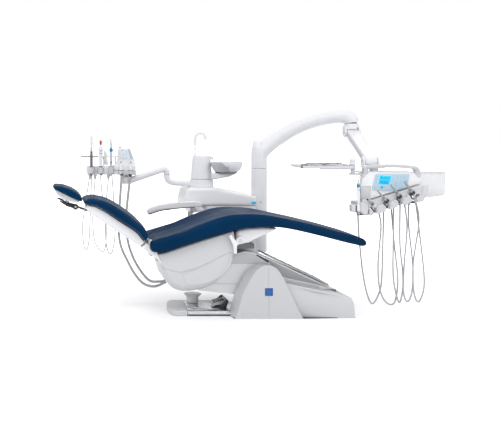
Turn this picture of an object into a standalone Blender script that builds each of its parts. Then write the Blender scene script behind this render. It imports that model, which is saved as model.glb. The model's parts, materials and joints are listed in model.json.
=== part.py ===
"""Dental treatment unit: patient chair on a parallelogram lift, water unit with
spittoon, over-arm instrument table with tray, and assistant's table.

Metres, +Z up.  The origin is on the floor under the base, on the chair's
centre plane.  +X runs towards the patient's feet, +Y towards the water unit.
"Near" means the -Y side and "far" the +Y side.
"""
import math

import bmesh
import bpy
from mathutils import Matrix, Vector

# ------------------------------------------------------------------ driving dimensions
GAP = 0.0005                      # face to face gap between touching pieces
SIDES = (-1, 1)                   # near, far

# pivots that run along Y, as x, z
LOW_PIVOT = (0.400, 0.115)        # lift arm in the base
HIGH_PIVOT = (-0.360, 0.250)      # seat on the lift arm
BACK_PIVOT = (-0.677, 0.437)      # backrest hinge
LINK_PIVOT = (-1.115, 0.634)      # headrest link on its bar
HEAD_PIVOT = (-1.165, 0.648)      # headrest on the link
ARMREST_PIVOT = (-0.163, 0.457)   # both armrests
PEDAL_PIVOT = (-0.205, 0.058)     # foot pedal

# vertical axes, as x, y
TOWER = (-0.263, 0.500)           # spittoon tower
FILLER = (-0.305, 0.500)          # cup filler
BOWL = (-0.113, 0.420)            # spittoon bowl
COLUMN = (0.132, 0.550)           # column of the table arm
YOKE = (0.733, 0.500)             # swivel at the curved arm's end
TABLE_AXIS = (0.729, 0.070)       # doctor's table swivel
TRAY_AXIS = (0.576, 0.000)        # tray swivel
ELBOW = (-0.4935, 0.500)          # elbow of the assistant arm
ASSIST = (-0.772, 0.450)          # assistant table swivel

# pins of the height arm that run along X, as y, z
TOP_PIN = (0.485, 1.082)
LOW_PIN = (0.140, 0.908)

# pin and bore radii
SHAFT_RADIUS = 0.014              # lift shafts
SHAFT_BORE = 0.0148
HINGE_RADIUS = 0.006              # backrest hinge
HINGE_BORE = 0.0068
HEAD_PIN_RADIUS = 0.0048          # headrest pins
HEAD_PIN_BORE = 0.0055
ARM_PIN_RADIUS = 0.008            # height arm pins
ARM_PIN_BORE = 0.0090
PIN_SIDES = 12                    # facets of small pins and bores

# the headrest bar's middle, and the direction it slides in
BAR_MID = Vector((-1.000, 0.0, 0.5945))
HEAD_SLIDE = Vector((-0.938, 0.0, 0.346)).normalized()

# base colour, roughness, metallic
FINISHES = {
    "white": ((0.80, 0.80, 0.83), 0.32, 0.0),
    "grey": ((0.45, 0.46, 0.49), 0.45, 0.0),
    "upholstery": ((0.010, 0.075, 0.150), 0.38, 0.0),
    "steel": ((0.62, 0.63, 0.65), 0.25, 1.0),
    "frame": ((0.20, 0.21, 0.23), 0.50, 0.6),
    "hose": ((0.42, 0.43, 0.46), 0.50, 0.0),
    "black": ((0.020, 0.020, 0.022), 0.40, 0.0),
    "silver": ((0.52, 0.53, 0.56), 0.35, 0.3),
    "ceramic": ((0.60, 0.61, 0.63), 0.12, 0.0),
    "panel": ((0.45, 0.60, 0.74), 0.25, 0.0),
    "clear": ((0.78, 0.80, 0.86), 0.15, 0.0),
}

# ------------------------------------------------------------------ scene
for old in list(bpy.data.objects):
    bpy.data.objects.remove(old, do_unlink=True)

PART = bpy.data.collections.new("dental_chair")
TOOLS = bpy.data.collections.new("cutters")
bpy.context.scene.collection.children.link(PART)
bpy.context.scene.collection.children.link(TOOLS)


# ------------------------------------------------------------------ solids
# A solid made without a finish is a hidden tool for the booleans of another piece.
def material(name, colour, roughness, metallic):
    mat = bpy.data.materials.new(name)
    mat.use_nodes = True
    shader = mat.node_tree.nodes["Principled BSDF"]
    shader.inputs["Base Color"].default_value = (*colour, 1.0)
    shader.inputs["Roughness"].default_value = roughness
    shader.inputs["Metallic"].default_value = metallic
    return mat


def add(name, mesh, finish=None):
    obj = bpy.data.objects.new(name, mesh)
    if finish:
        PART.objects.link(obj)
        mesh.materials.clear()
        mesh.materials.append(material(name, *FINISHES[finish]))
    else:
        TOOLS.objects.link(obj)
        obj.hide_render = True
        obj.display_type = "WIRE"
    return obj


def shade(mesh, sharp_angle=35):
    mesh.shade_smooth()
    mesh.set_sharp_from_angle(angle=math.radians(sharp_angle))


def mesh_from(build, name):
    """Turn a bmesh into a mesh and free it."""
    mesh = bpy.data.meshes.new(name)
    build.to_mesh(mesh)
    build.free()
    return mesh


def cube_mesh(size):
    build = bmesh.new()
    bmesh.ops.create_cube(build, size=1.0)
    bmesh.ops.scale(build, vec=size, verts=build.verts)
    return mesh_from(build, "box")


def box(name, low, high, finish=None):
    """A box between two corners, with its origin at its centre."""
    obj = add(name, cube_mesh([b - a for a, b in zip(low, high)]), finish)
    obj.location = [(a + b) / 2 for a, b in zip(low, high)]
    return obj


def bar_box(name, start, end, half_width, half_thickness, finish=None):
    """A flat bar along the headrest's slide, from start to end past BAR_MID."""
    obj = add(name, cube_mesh((end - start, 2 * half_width, 2 * half_thickness)), finish)
    turn = Vector((1, 0, 0)).rotation_difference(HEAD_SLIDE)
    obj.matrix_world = (Matrix.Translation(BAR_MID + HEAD_SLIDE * (start + end) / 2)
                        @ turn.to_matrix().to_4x4())
    return obj


def rod(name, start, end, radius, finish=None, sides=16):
    start, end = Vector(start), Vector(end)
    build = bmesh.new()
    bmesh.ops.create_cone(build, cap_ends=True, segments=sides, radius1=radius,
                          radius2=radius, depth=(end - start).length)
    mesh = mesh_from(build, "rod")
    obj = add(name, mesh, finish)
    turn = Vector((0, 0, 1)).rotation_difference((end - start).normalized())
    obj.matrix_world = Matrix.Translation((start + end) / 2) @ turn.to_matrix().to_4x4()
    shade(mesh)
    return obj


def on_pivot(pivot, y=0.0):
    """The point at y on a pivot given as x, z."""
    return (pivot[0], y, pivot[1])


def y_rod(name, pivot, start, end, radius, finish=None, sides=16):
    """A rod on a pivot, between two y values."""
    return rod(name, on_pivot(pivot, start), on_pivot(pivot, end), radius, finish, sides)


def cross_rod(name, pivot, radius, half, finish=None, sides=16):
    """A rod on a pivot, centred on the chair's centre plane."""
    return y_rod(name, pivot, -half, half, radius, finish, sides)


def solid_from(source, name, finish=None):
    """Replace a curve or a modified object by its evaluated shape, cleaned up."""
    bpy.context.view_layer.update()
    graph = bpy.context.evaluated_depsgraph_get()
    mesh = bpy.data.meshes.new_from_object(source.evaluated_get(graph))
    place = source.matrix_world.copy()
    build = bmesh.new()
    build.from_mesh(mesh)
    bmesh.ops.remove_doubles(build, verts=build.verts, dist=0.00002)
    bmesh.ops.dissolve_degenerate(build, edges=build.edges, dist=0.000005)
    bmesh.ops.recalc_face_normals(build, faces=build.faces)
    build.to_mesh(mesh)
    build.free()
    bpy.data.objects.remove(source, do_unlink=True)
    obj = add(name, mesh, finish)
    obj.matrix_world = place
    shade(mesh)
    return obj


QUARTER_X = Matrix.Rotation(math.pi / 2, 4, "X")
# outline plane: index of its normal axis, turn from the XY plane
PLANES = {
    "XY": (2, Matrix.Identity(4)),
    "XZ": (1, QUARTER_X),
    "YZ": (0, Matrix.Rotation(math.pi / 2, 4, "Z") @ QUARTER_X),
}


def prism(name, outline, low, high, finish=None, plane="XZ"):
    """A flat outline extruded between two depths along the plane's normal."""
    curve = bpy.data.curves.new(name, "CURVE")
    curve.dimensions = "2D"
    curve.fill_mode = "BOTH"
    curve.extrude = (high - low) / 2
    spline = curve.splines.new("POLY")
    spline.points.add(len(outline) - 1)
    for point, (across, up) in zip(spline.points, outline):
        point.co = (across, up, 0, 1)
    spline.use_cyclic_u = True
    source = bpy.data.objects.new(name + "_outline", curve)
    TOOLS.objects.link(source)
    axis, turn = PLANES[plane]
    middle = Vector((0, 0, 0))
    middle[axis] = (low + high) / 2
    source.matrix_world = Matrix.Translation(middle) @ turn
    return solid_from(source, name, finish)


def prism_pair(name, outline, inner, outer, middle=0.0, plane="XZ"):
    """Two prism tools, mirrored about a middle depth."""
    return [prism(f"{name}_{side}", outline,
                  *sorted((middle + side * inner, middle + side * outer)), plane=plane)
            for side in SIDES]


def box_pair(name, x_span, inner, outer, z_span):
    """Two box tools, mirrored about the chair's centre plane."""
    pair = []
    for side in SIDES:
        y_span = sorted((side * inner, side * outer))
        low, high = zip(x_span, y_span, z_span)
        pair.append(box(f"{name}_{side}", low, high))
    return pair


def tube(name, points, radius, finish=None, scales=None, res=2):
    """A round bar along points, with closed ends; scales vary its radius."""
    curve = bpy.data.curves.new(name, "CURVE")
    curve.dimensions = "3D"
    curve.fill_mode = "FULL"
    curve.bevel_depth = radius
    curve.bevel_resolution = res
    curve.use_fill_caps = True
    spline = curve.splines.new("POLY")
    spline.points.add(len(points) - 1)
    for i, place in enumerate(points):
        spline.points[i].co = (*place, 1)
        if scales:
            spline.points[i].radius = scales[i]
    source = bpy.data.objects.new(name + "_path", curve)
    TOOLS.objects.link(source)
    return solid_from(source, name, finish)


def held_tool(name, y, stations, radius, finish, res=3):
    """A slim tool standing at one y; stations are x, z, radius scale."""
    return tube(name, [(x, y, z) for x, z, _ in stations], radius, finish,
                [scale for _, _, scale in stations], res)


def turned(name, profile, axis, finish=None, steps=24):
    """A solid of revolution: profile is (radius, height) down the outer side."""
    mesh = bpy.data.meshes.new(name)
    mesh.from_pydata([(radius, 0, z) for radius, z in profile],
                     [(i, i + 1) for i in range(len(profile) - 1)], [])
    source = bpy.data.objects.new(name + "_profile", mesh)
    TOOLS.objects.link(source)
    source.location = (*axis, 0)
    screw = source.modifiers.new("turn", "SCREW")
    screw.steps = screw.render_steps = steps
    screw.use_merge_vertices = True
    screw.merge_threshold = 0.00001
    return solid_from(source, name, finish)


def lofted(name, rings, finish):
    """A closed body through rings of points."""
    build = bmesh.new()
    rings = [[build.verts.new(place) for place in ring] for ring in rings]
    count = len(rings[0])
    for ring, following in zip(rings, rings[1:]):
        for i in range(count):
            j = (i + 1) % count
            build.faces.new((ring[i], ring[j], following[j], following[i]))
    build.faces.new(rings[0][::-1])
    build.faces.new(rings[-1])
    bmesh.ops.recalc_face_normals(build, faces=build.faces)
    bmesh.ops.triangulate(build, faces=[f for f in build.faces if len(f.verts) > 4])
    mesh = mesh_from(build, name)
    shade(mesh, sharp_angle=40)
    return add(name, mesh, finish)


# ------------------------------------------------------------------ modifiers
def combine(obj, label, operation, others):
    for other in others:
        modifier = obj.modifiers.new(label, "BOOLEAN")
        modifier.operation = operation
        modifier.object = other


def join(obj, *others):
    combine(obj, "join", "UNION", others)


def cut(obj, *others):
    combine(obj, "cut", "DIFFERENCE", others)


def bevel(obj, width, segments=2, angle=50):
    modifier = obj.modifiers.new("edge", "BEVEL")
    modifier.width = width
    modifier.segments = segments
    modifier.limit_method = "ANGLE"
    modifier.angle_limit = math.radians(angle)


# ------------------------------------------------------------------ outlines and paths
def arc(centre, radius, start, end, count):
    """Points on a circle between two angles in degrees."""
    points = []
    for i in range(count + 1):
        angle = math.radians(start + (end - start) * i / count)
        points.append((centre[0] + radius * math.cos(angle),
                       centre[1] + radius * math.sin(angle)))
    return points


def capsule(first, last, first_radius, last_radius, count=6):
    """An outline round two circles, in the plane's own axes."""
    first, last = Vector(first), Vector(last)
    angle = math.degrees(math.atan2(last.y - first.y, last.x - first.x))
    return (arc(first, first_radius, angle + 90, angle + 270, count)
            + arc(last, last_radius, angle - 90, angle + 90, count))


def smooth_path(points, per=2, foot_z=None):
    """A Catmull-Rom path; with foot_z, both ends drop straight to that height."""
    knots = [Vector(place) for place in points]
    first, last = knots[0], knots[-1]
    knots = [2 * first - knots[1], *knots, 2 * last - knots[-2]]
    path = []
    for before, start, end, after in zip(knots, knots[1:], knots[2:], knots[3:]):
        for k in range(per):
            t = k / per
            path.append(0.5 * (2 * start + (end - before) * t
                               + (2 * before - 5 * start + 4 * end - after) * t * t
                               + (3 * start - before - 3 * end + after) * t ** 3))
    path.append(last)
    if foot_z is not None:
        path = [(first.x, first.y, foot_z), *path, (last.x, last.y, foot_z)]
    return path


def hose_loop(start, end, bottom, sway=0.0, count=14, power=2.8):
    """A hanging hose: steep sides and a round bottom at one height."""
    start, end = Vector(start), Vector(end)
    path = []
    for i in range(count + 1):
        phase = math.pi * i / count
        side = -math.copysign(abs(math.cos(phase)) ** (2 / power), math.cos(phase))
        drop = math.sin(phase) ** (2 / power)
        place = start.lerp(end, (side + 1) / 2)
        place.x += sway * drop
        place.z = place.z * (1 - drop) + bottom * drop
        path.append(place)
    return path


# ------------------------------------------------------------------ base
# Outlines are x, z unless a comment says otherwise.

# frame: floor plate with two cheeks for the lift shaft and a lug for the actuator
FRAME_CHEEK = [(0.335, 0.006), (0.457, 0.006), (0.436, 0.150), (0.364, 0.150)]
frame = box("base_frame", (-0.090, -0.127, 0.0), (0.458, 0.127, 0.012), "frame")
join(frame, *prism_pair("frame_cheek", FRAME_CHEEK, 0.108, 0.122),
     box("frame_lug", (-0.080, -0.022, 0.006), (-0.050, 0.022, 0.070)))
cut(frame, cross_rod("frame_bore", LOW_PIVOT, SHAFT_BORE, 0.2))

cross_rod("lift_pivot_shaft", LOW_PIVOT, SHAFT_RADIUS, 0.1265, "steel")

# cover: a humped shell, open along the middle for the lift arm
COVER_HALF = 0.250
COVER_WALL = 0.006
CHANNEL_HALF = 0.130
COVER = [(-0.190, 0.0), (-0.148, 0.136), (-0.097, 0.239), (-0.063, 0.285), (-0.020, 0.311),
         (0.022, 0.311), (0.073, 0.274), (0.118, 0.198), (0.330, 0.158), (0.398, 0.148),
         (0.459, 0.130), (0.493, 0.118), (0.510, 0.079), (0.519, 0.0)]
FAR_CUTAWAY = [(-0.520, -0.030), (-0.085, -0.030), (-0.085, 0.1885), (0.170, 0.1885),
               (0.230, 0.500), (-0.520, 0.500)]
NEAR_HOLLOW = [(-0.182, -0.02), (-0.141, 0.136), (-0.091, 0.236), (-0.060, 0.279),
               (-0.018, 0.304), (0.020, 0.304), (0.069, 0.269), (0.114, 0.191),
               (0.330, 0.151), (0.456, 0.124), (0.456, -0.02)]
FAR_HOLLOW = [(-0.079, -0.02), (-0.079, 0.184), (0.118, 0.184), (0.330, 0.151),
              (0.456, 0.124), (0.456, -0.02)]
hollow_inner = CHANNEL_HALF + COVER_WALL
hollow_outer = COVER_HALF - COVER_WALL
cover = prism("base_cover", COVER, -COVER_HALF, COVER_HALF, "white")
cut(cover,
    box("cover_channel", (-0.500, -CHANNEL_HALF, -0.020), (0.462, CHANNEL_HALF, 0.500)),
    prism("cover_far_away", FAR_CUTAWAY, 0.090, 0.310),
    prism("cover_near_hollow", NEAR_HOLLOW, -hollow_outer, -hollow_inner),
    prism("cover_far_hollow", FAR_HOLLOW, hollow_inner, hollow_outer),
    box("cover_end_hollow", (0.468, -0.200, -0.020), (0.498, 0.200, 0.100)))

# foot plate, outline x, y: a narrow tongue under the cover and a wide rounded end
FOOT_PLATE_TOP = 0.030
FOOT_PLATE = [(-0.535, -0.170), (-0.194, -0.170), (-0.194, -0.126), (-0.095, -0.126),
              (-0.095, 0.126), (-0.194, 0.126), (-0.194, 0.180), (-0.512, 0.180),
              (-0.538, 0.130), (-0.552, 0.060), (-0.557, 0.0), (-0.555, -0.080),
              (-0.548, -0.140)]
foot_plate = prism("foot_plate", FOOT_PLATE, 0.0, FOOT_PLATE_TOP, "steel", "XY")
bevel(foot_plate, 0.003, 1)

# capped riser on the foot plate, profile radius, z
RISER = [(0, 0.088), (0.050, 0.088), (0.055, 0.083), (0.038, 0.068), (0.036, 0.060),
         (0.036, FOOT_PLATE_TOP + GAP), (0, FOOT_PLATE_TOP + GAP)]
turned("utility_riser", RISER, (-0.385, 0.100), "white")

# lift actuator: a thick barrel and a thin rod
actuator = rod("lift_actuator", (-0.048, 0, 0.046), (0.150, 0, 0.050), 0.024, "frame")
join(actuator, rod("actuator_rod", (0.140, 0, 0.050), (0.250, 0, 0.062), 0.010, sides=12))

PEDAL = [(-0.192, 0.050), (-0.192, 0.066), (-0.212, 0.070), (-0.262, 0.060),
         (-0.290, 0.048), (-0.290, 0.041), (-0.250, 0.044), (-0.215, 0.048)]
pedal = prism("foot_pedal", PEDAL, -0.055, 0.055, "grey")
bevel(pedal, 0.002, 1)

# ------------------------------------------------------------------ lift arm
# beam, hollow underneath
BEAM_HALF = 0.105
BEAM_WALL = 0.008
BEAM = [(-0.383, 0.141), (-0.121, 0.112), (0.000, 0.190), (0.160, 0.170), (0.355, 0.080),
        *arc(LOW_PIVOT, 0.045, -90, 60, 5), (0.011, 0.344), (-0.051, 0.366),
        (-0.103, 0.374), (-0.165, 0.357), (-0.230, 0.335), (-0.360, 0.305),
        (-0.400, 0.288), (-0.415, 0.250), (-0.408, 0.180)]
BEAM_HOLLOW = [(-0.300, 0.050), (-0.300, 0.309), (-0.165, 0.345), (-0.103, 0.362),
               (-0.051, 0.354), (0.008, 0.333), (0.338, 0.172), (0.338, 0.020)]
beam = prism("lift_arm_beam", BEAM, -BEAM_HALF, BEAM_HALF, "white")
cut(beam,
    prism("beam_hollow", BEAM_HOLLOW, BEAM_WALL - BEAM_HALF, BEAM_HALF - BEAM_WALL),
    cross_rod("beam_low_bore", LOW_PIVOT, SHAFT_BORE, 0.2),
    cross_rod("beam_high_bore", HIGH_PIVOT, SHAFT_BORE, 0.2))

# flat strip over the beam's slope; corners are distance up the slope, height off it
STRIP_START = Vector((0.4225, 0.154))
UP_SLOPE = Vector((-0.389, 0.187)).normalized()
OFF_SLOPE = Vector((UP_SLOPE.y, -UP_SLOPE.x))
STRIP_CORNERS = [(0.03, 0.002), (0.445, 0.002), (0.445, 0.011), (0.040, 0.011)]
prism("lift_arm_cover",
      [STRIP_START + UP_SLOPE * distance + OFF_SLOPE * height
       for distance, height in STRIP_CORNERS], -0.116, 0.116, "grey")

# ------------------------------------------------------------------ seat
# station x, lower surface z, upper surface z at the middle, edge ridge z, half width
SEAT = [(-0.659, 0.394, 0.428, 0.440, 0.255), (-0.646, 0.383, 0.436, 0.456, 0.266),
        (-0.601, 0.386, 0.446, 0.476, 0.273), (-0.490, 0.423, 0.480, 0.508, 0.276),
        (-0.405, 0.450, 0.514, 0.544, 0.276), (-0.276, 0.491, 0.562, 0.592, 0.276),
        (-0.190, 0.514, 0.586, 0.610, 0.276), (-0.106, 0.528, 0.596, 0.614, 0.274),
        (-0.020, 0.533, 0.597, 0.609, 0.271), (0.100, 0.526, 0.580, 0.586, 0.262),
        (0.278, 0.487, 0.541, 0.544, 0.243), (0.449, 0.443, 0.494, 0.496, 0.224),
        (0.531, 0.424, 0.471, 0.472, 0.214), (0.584, 0.413, 0.452, 0.452, 0.202),
        (0.598, 0.424, 0.436, 0.436, 0.185)]


def seat_ring(x, low, middle, ridge, half):
    """One cross-section: flat below, rounded sides, ridged edges and a dished middle."""
    side = (low + ridge) / 2
    far_half = [(half - 0.030, low), (half - 0.004, low + 0.35 * (side - low)), (half, side),
                (half - 0.008, ridge - 0.22 * (ridge - side)), (half - 0.035, ridge),
                (half - 0.085, 0.5 * (ridge + middle))]
    near_half = [(-y, z) for y, z in reversed(far_half)]
    return [(x, y, z) for y, z in [*far_half, (0.0, middle), *near_half]]


lofted("seat_cushion", [seat_ring(*station) for station in SEAT], "upholstery")

# bulb cover: open-topped shell under the seat, slotted for the lift arm
SHELL_HALF = 0.215
BULB_WALL = 0.007
BULB = [(-0.647, 0.371), (-0.630, 0.334), (-0.612, 0.282), (-0.586, 0.205), (-0.543, 0.161),
        (-0.491, 0.146), (-0.440, 0.148), (-0.371, 0.161), (-0.310, 0.187), (-0.258, 0.230),
        (-0.206, 0.299), (-0.181, 0.377), (-0.178, 0.430), (-0.192, 0.5105), (-0.234, 0.4985),
        (-0.362, 0.4605), (-0.490, 0.4185), (-0.601, 0.3805)]
BULB_HOLLOW = [(-0.638, 0.362), (-0.622, 0.326), (-0.605, 0.282), (-0.580, 0.209),
               (-0.540, 0.168), (-0.490, 0.153), (-0.440, 0.155), (-0.373, 0.168),
               (-0.314, 0.193), (-0.263, 0.235), (-0.212, 0.302), (-0.188, 0.379),
               (-0.186, 0.430), (-0.190, 0.600), (-0.638, 0.600)]
bulb = prism("seat_bulb_cover", BULB, -SHELL_HALF, SHELL_HALF, "white")
bevel(bulb, 0.030, 3, 60)
cut(bulb,
    prism("bulb_hollow", BULB_HOLLOW, BULB_WALL - SHELL_HALF, SHELL_HALF - BULB_WALL),
    box("bulb_slot", (-0.462, -0.140, 0.0), (0.100, 0.140, 0.432)),
    *box_pair("bulb_notch", (-0.720, -0.570), 0.146, 0.166, (0.338, 0.450)))

# seat frame: sloping plate, cheeks on the lift shaft, ears for the backrest hinge,
# and two beams, one reaching out to the water unit
SEAT_PLATE = [(-0.618, 0.3625), (-0.601, 0.3665), (-0.490, 0.4045), (-0.362, 0.4465),
              (-0.234, 0.4845), (-0.200, 0.4945), (-0.200, 0.5065), (-0.234, 0.4965),
              (-0.362, 0.4585), (-0.490, 0.4165), (-0.601, 0.3785), (-0.618, 0.3745)]
SEAT_CHEEK = [*arc(HIGH_PIVOT, 0.034, -160, -20, 5), (-0.255, 0.485), (-0.460, 0.420)]
SEAT_EAR = [(-0.580, 0.346), (-0.672, 0.352), (-0.690, 0.370),
            *arc(BACK_PIVOT, 0.013, 180, 0, 6), (-0.664, 0.375), (-0.600, 0.372),
            (-0.580, 0.380)]
seat_frame = prism("seat_frame", SEAT_PLATE, -0.190, 0.190, "frame")
cheeks = prism_pair("seat_cheek", SEAT_CHEEK, 0.108, 0.120)
ears = prism_pair("seat_ear", SEAT_EAR, 0.150, 0.162)
for cheek, ear in zip(cheeks, ears):
    join(seat_frame, cheek, ear)
join(seat_frame,
     box("seat_cross_beam", (-0.330, -0.114, 0.392), (-0.050, 0.114, 0.420)),
     box("seat_unit_beam", (-0.148, 0.100, 0.392), (-0.050, 0.4015, 0.420)),
     cross_rod("seat_lift_shaft", HIGH_PIVOT, SHAFT_RADIUS, 0.1235))
cut(seat_frame, cross_rod("ear_bore", BACK_PIVOT, HINGE_BORE, 0.3, sides=PIN_SIDES))

SEAT_PAN = [(-0.176, 0.426), (-0.104, 0.440), (0.052, 0.515), (0.060, 0.525),
            (-0.020, 0.5300), (-0.106, 0.5250), (-0.176, 0.5130)]
pan = prism("seat_pan", SEAT_PAN, -SHELL_HALF, SHELL_HALF, "white")
bevel(pan, 0.006, 1, 60)

cross_rod("back_hinge_shaft", BACK_PIVOT, HINGE_RADIUS, 0.172, "steel", PIN_SIDES)

# armrests: only a forked stub on the near side, a full one on the far side
ARMREST_ROOT = 0.2156             # distance from the centre plane where both hubs start
STUB_FORK = [(-0.163, 0.440), (-0.184, 0.424), (-0.182, 0.378), (-0.198, 0.376),
             (-0.203, 0.428), (-0.228, 0.484), (-0.212, 0.490), (-0.187, 0.450),
             (-0.165, 0.472)]
near_stub = y_rod("armrest_near_stub", ARMREST_PIVOT, -ARMREST_ROOT, -0.262, 0.021, "white")
join(near_stub, prism("stub_fork", STUB_FORK, -0.252, -0.236))

ARMREST = [(-0.644, 0.572), (-0.640, 0.588), (-0.627, 0.596), (-0.558, 0.617),
           (-0.471, 0.631), (-0.385, 0.639), (-0.327, 0.641), (-0.300, 0.632),
           (-0.290, 0.613), (-0.340, 0.607), (-0.414, 0.602), (-0.559, 0.582),
           (-0.615, 0.564), (-0.637, 0.561)]
ARMREST_SUPPORT = [(-0.345, 0.612), (-0.310, 0.616), (-0.250, 0.560), (-0.147, 0.468),
                   (-0.160, 0.438), (-0.178, 0.444), (-0.270, 0.535)]
armrest = prism("armrest_far", ARMREST, 0.300, 0.366, "silver")
bevel(armrest, 0.006, 1)
join(armrest,
     prism("armrest_support", ARMREST_SUPPORT, 0.303, 0.319),
     y_rod("armrest_hub", ARMREST_PIVOT, ARMREST_ROOT, 0.325, 0.018))

# ------------------------------------------------------------------ backrest
TAPER_START = -0.70               # x where the back starts to narrow
TAPER_LENGTH = 0.37
TAPER_LOSS = 0.34                 # share of the width lost at the shoulders
TAPER_POWER = 1.3


def taper(obj):
    """Narrow a piece towards the shoulders."""
    inverse = obj.matrix_world.inverted()
    for vertex in obj.data.vertices:
        place = obj.matrix_world @ vertex.co
        progress = min(max((TAPER_START - place.x) / TAPER_LENGTH, 0.0), 1.0)
        place.y *= 1.0 - TAPER_LOSS * progress ** TAPER_POWER
        vertex.co = inverse @ place


# shell: a shallow tray, notched for the hinge knuckles and slotted for the headrest bar
BACK_SHELL = [(-0.7493, 0.4206), (-0.887, 0.511), (-1.034, 0.608), (-1.056, 0.633),
              (-1.050, 0.6485), (-0.998, 0.641), (-0.941, 0.612), (-0.827, 0.537),
              (-0.772, 0.500), (-0.754, 0.462)]
BACK_HOLLOW = [(-0.757, 0.433), (-0.887, 0.5175), (-1.030, 0.6125), (-1.045, 0.632),
               (-1.045, 0.720), (-0.757, 0.560)]
shell = prism("backrest_shell", BACK_SHELL, -0.235, 0.235, "white")
taper(shell)
bevel(shell, 0.008)
hollow = prism("shell_hollow", BACK_HOLLOW, -0.226, 0.226)
taper(hollow)
cut(shell, hollow,
    *box_pair("shell_notch", (-0.790, -0.740), 0.117, 0.151, (0.425, 0.520)),
    bar_box("bar_slot", -0.030, 0.130, 0.030, 0.0095))

BACK_CUSHION = [(-0.722, 0.451), (-0.766, 0.5065), (-0.827, 0.5455), (-0.941, 0.6205),
                (-0.998, 0.6495), (-1.050, 0.656), (-1.066, 0.660), (-1.072, 0.677),
                (-1.052, 0.693), (-1.005, 0.700), (-0.959, 0.693), (-0.900, 0.667),
                (-0.807, 0.607), (-0.728, 0.545), (-0.688, 0.503), (-0.680, 0.475)]
cushion = prism("backrest_cushion", BACK_CUSHION, -0.280, 0.280, "upholstery")
taper(cushion)
bevel(cushion, 0.012)

# frame: plate with two hinge knuckles and a passage for the headrest bar
BACK_PLATE = [(-0.766, 0.4725), (-0.830, 0.515), (-0.900, 0.561), (-0.900, 0.579),
              (-0.830, 0.533), (-0.766, 0.490)]
BACK_KNUCKLE = [*arc(BACK_PIVOT, 0.013, 60, -120, 6), (-0.722, 0.4355), (-0.776, 0.4795),
                (-0.766, 0.490), (-0.716, 0.445)]
back_frame = prism("backrest_frame", BACK_PLATE, -0.150, 0.150, "frame")
join(back_frame, *prism_pair("back_knuckle", BACK_KNUCKLE, 0.122, 0.146))
cut(back_frame, cross_rod("knuckle_bore", BACK_PIVOT, HINGE_BORE, 0.3, sides=PIN_SIDES),
    bar_box("bar_pass", -0.20, 0.02, 0.030, 0.009))

# ------------------------------------------------------------------ headrest
# bar with an eye, relieved on both sides of the eye for the link's cheeks
EYE_HALF = 0.012
bar = bar_box("headrest_bar", -0.085, 0.112, 0.025, 0.005, "black")
join(bar, cross_rod("bar_eye", LINK_PIVOT, 0.015, EYE_HALF))
cut(bar, *box_pair("bar_relief", (-1.140, -1.092), EYE_HALF + GAP, 0.05, (0.600, 0.670)),
    cross_rod("bar_eye_bore", LINK_PIVOT, HEAD_PIN_BORE, 0.05, sides=PIN_SIDES))

# link: two cheeks between two pins, with a knob on the near side
LINK_CHEEK = [*arc(LINK_PIVOT, 0.013, 70, -110, 6), (-1.140, 0.628),
              *arc(HEAD_PIVOT, 0.012, 250, 70, 6)]
link = cross_rod("headrest_link", LINK_PIVOT, HEAD_PIN_RADIUS, 0.030, "black", PIN_SIDES)
join(link, *prism_pair("link_cheek", LINK_CHEEK, 0.014, 0.022),
     y_rod("link_knob", LINK_PIVOT, -0.021, -0.040, 0.016),
     y_rod("link_head_pin", HEAD_PIVOT, -0.030, 0.026, HEAD_PIN_RADIUS, sides=PIN_SIDES))

# shell under the pad, with a lug on the link's head pin
HEAD_SHELL = [(-1.246, 0.744), (-1.222, 0.706), (-1.188, 0.682), (-1.153, 0.671),
              (-1.118, 0.667), (-1.096, 0.667), (-1.092, 0.6715), (-1.173, 0.7105),
              (-1.246, 0.7485)]
HEAD_LUG = [*arc(HEAD_PIVOT, 0.011, 180, 360, 6), (-1.150, 0.690), (-1.180, 0.690)]
head_shell = prism("headrest_shell", HEAD_SHELL, -0.095, 0.095, "white")
bevel(head_shell, 0.005, 1)
join(head_shell, prism("head_lug", HEAD_LUG, -0.0125, 0.0125))
cut(head_shell, cross_rod("head_lug_bore", HEAD_PIVOT, HEAD_PIN_BORE, 0.05, sides=PIN_SIDES))

HEAD_PAD = [(-1.091, 0.672), (-1.173, 0.7125), (-1.249, 0.7515), (-1.252, 0.757),
            (-1.240, 0.765), (-1.191, 0.759), (-1.138, 0.740), (-1.098, 0.710),
            (-1.082, 0.682), (-1.083, 0.672)]
head_pad = prism("headrest_cushion", HEAD_PAD, -0.140, 0.140, "upholstery")
bevel(head_pad, 0.006)

LEVER = [*arc(HEAD_PIVOT, 0.010, -60, 80, 5), (-1.195, 0.666), (-1.208, 0.674),
         (-1.212, 0.668), (-1.196, 0.655), (-1.172, 0.641)]
lever = prism("headrest_lever", LEVER, -0.0295, -0.0235, "black")
cut(lever, cross_rod("lever_bore", HEAD_PIVOT, HEAD_PIN_BORE, 0.05, sides=PIN_SIDES))

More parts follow.
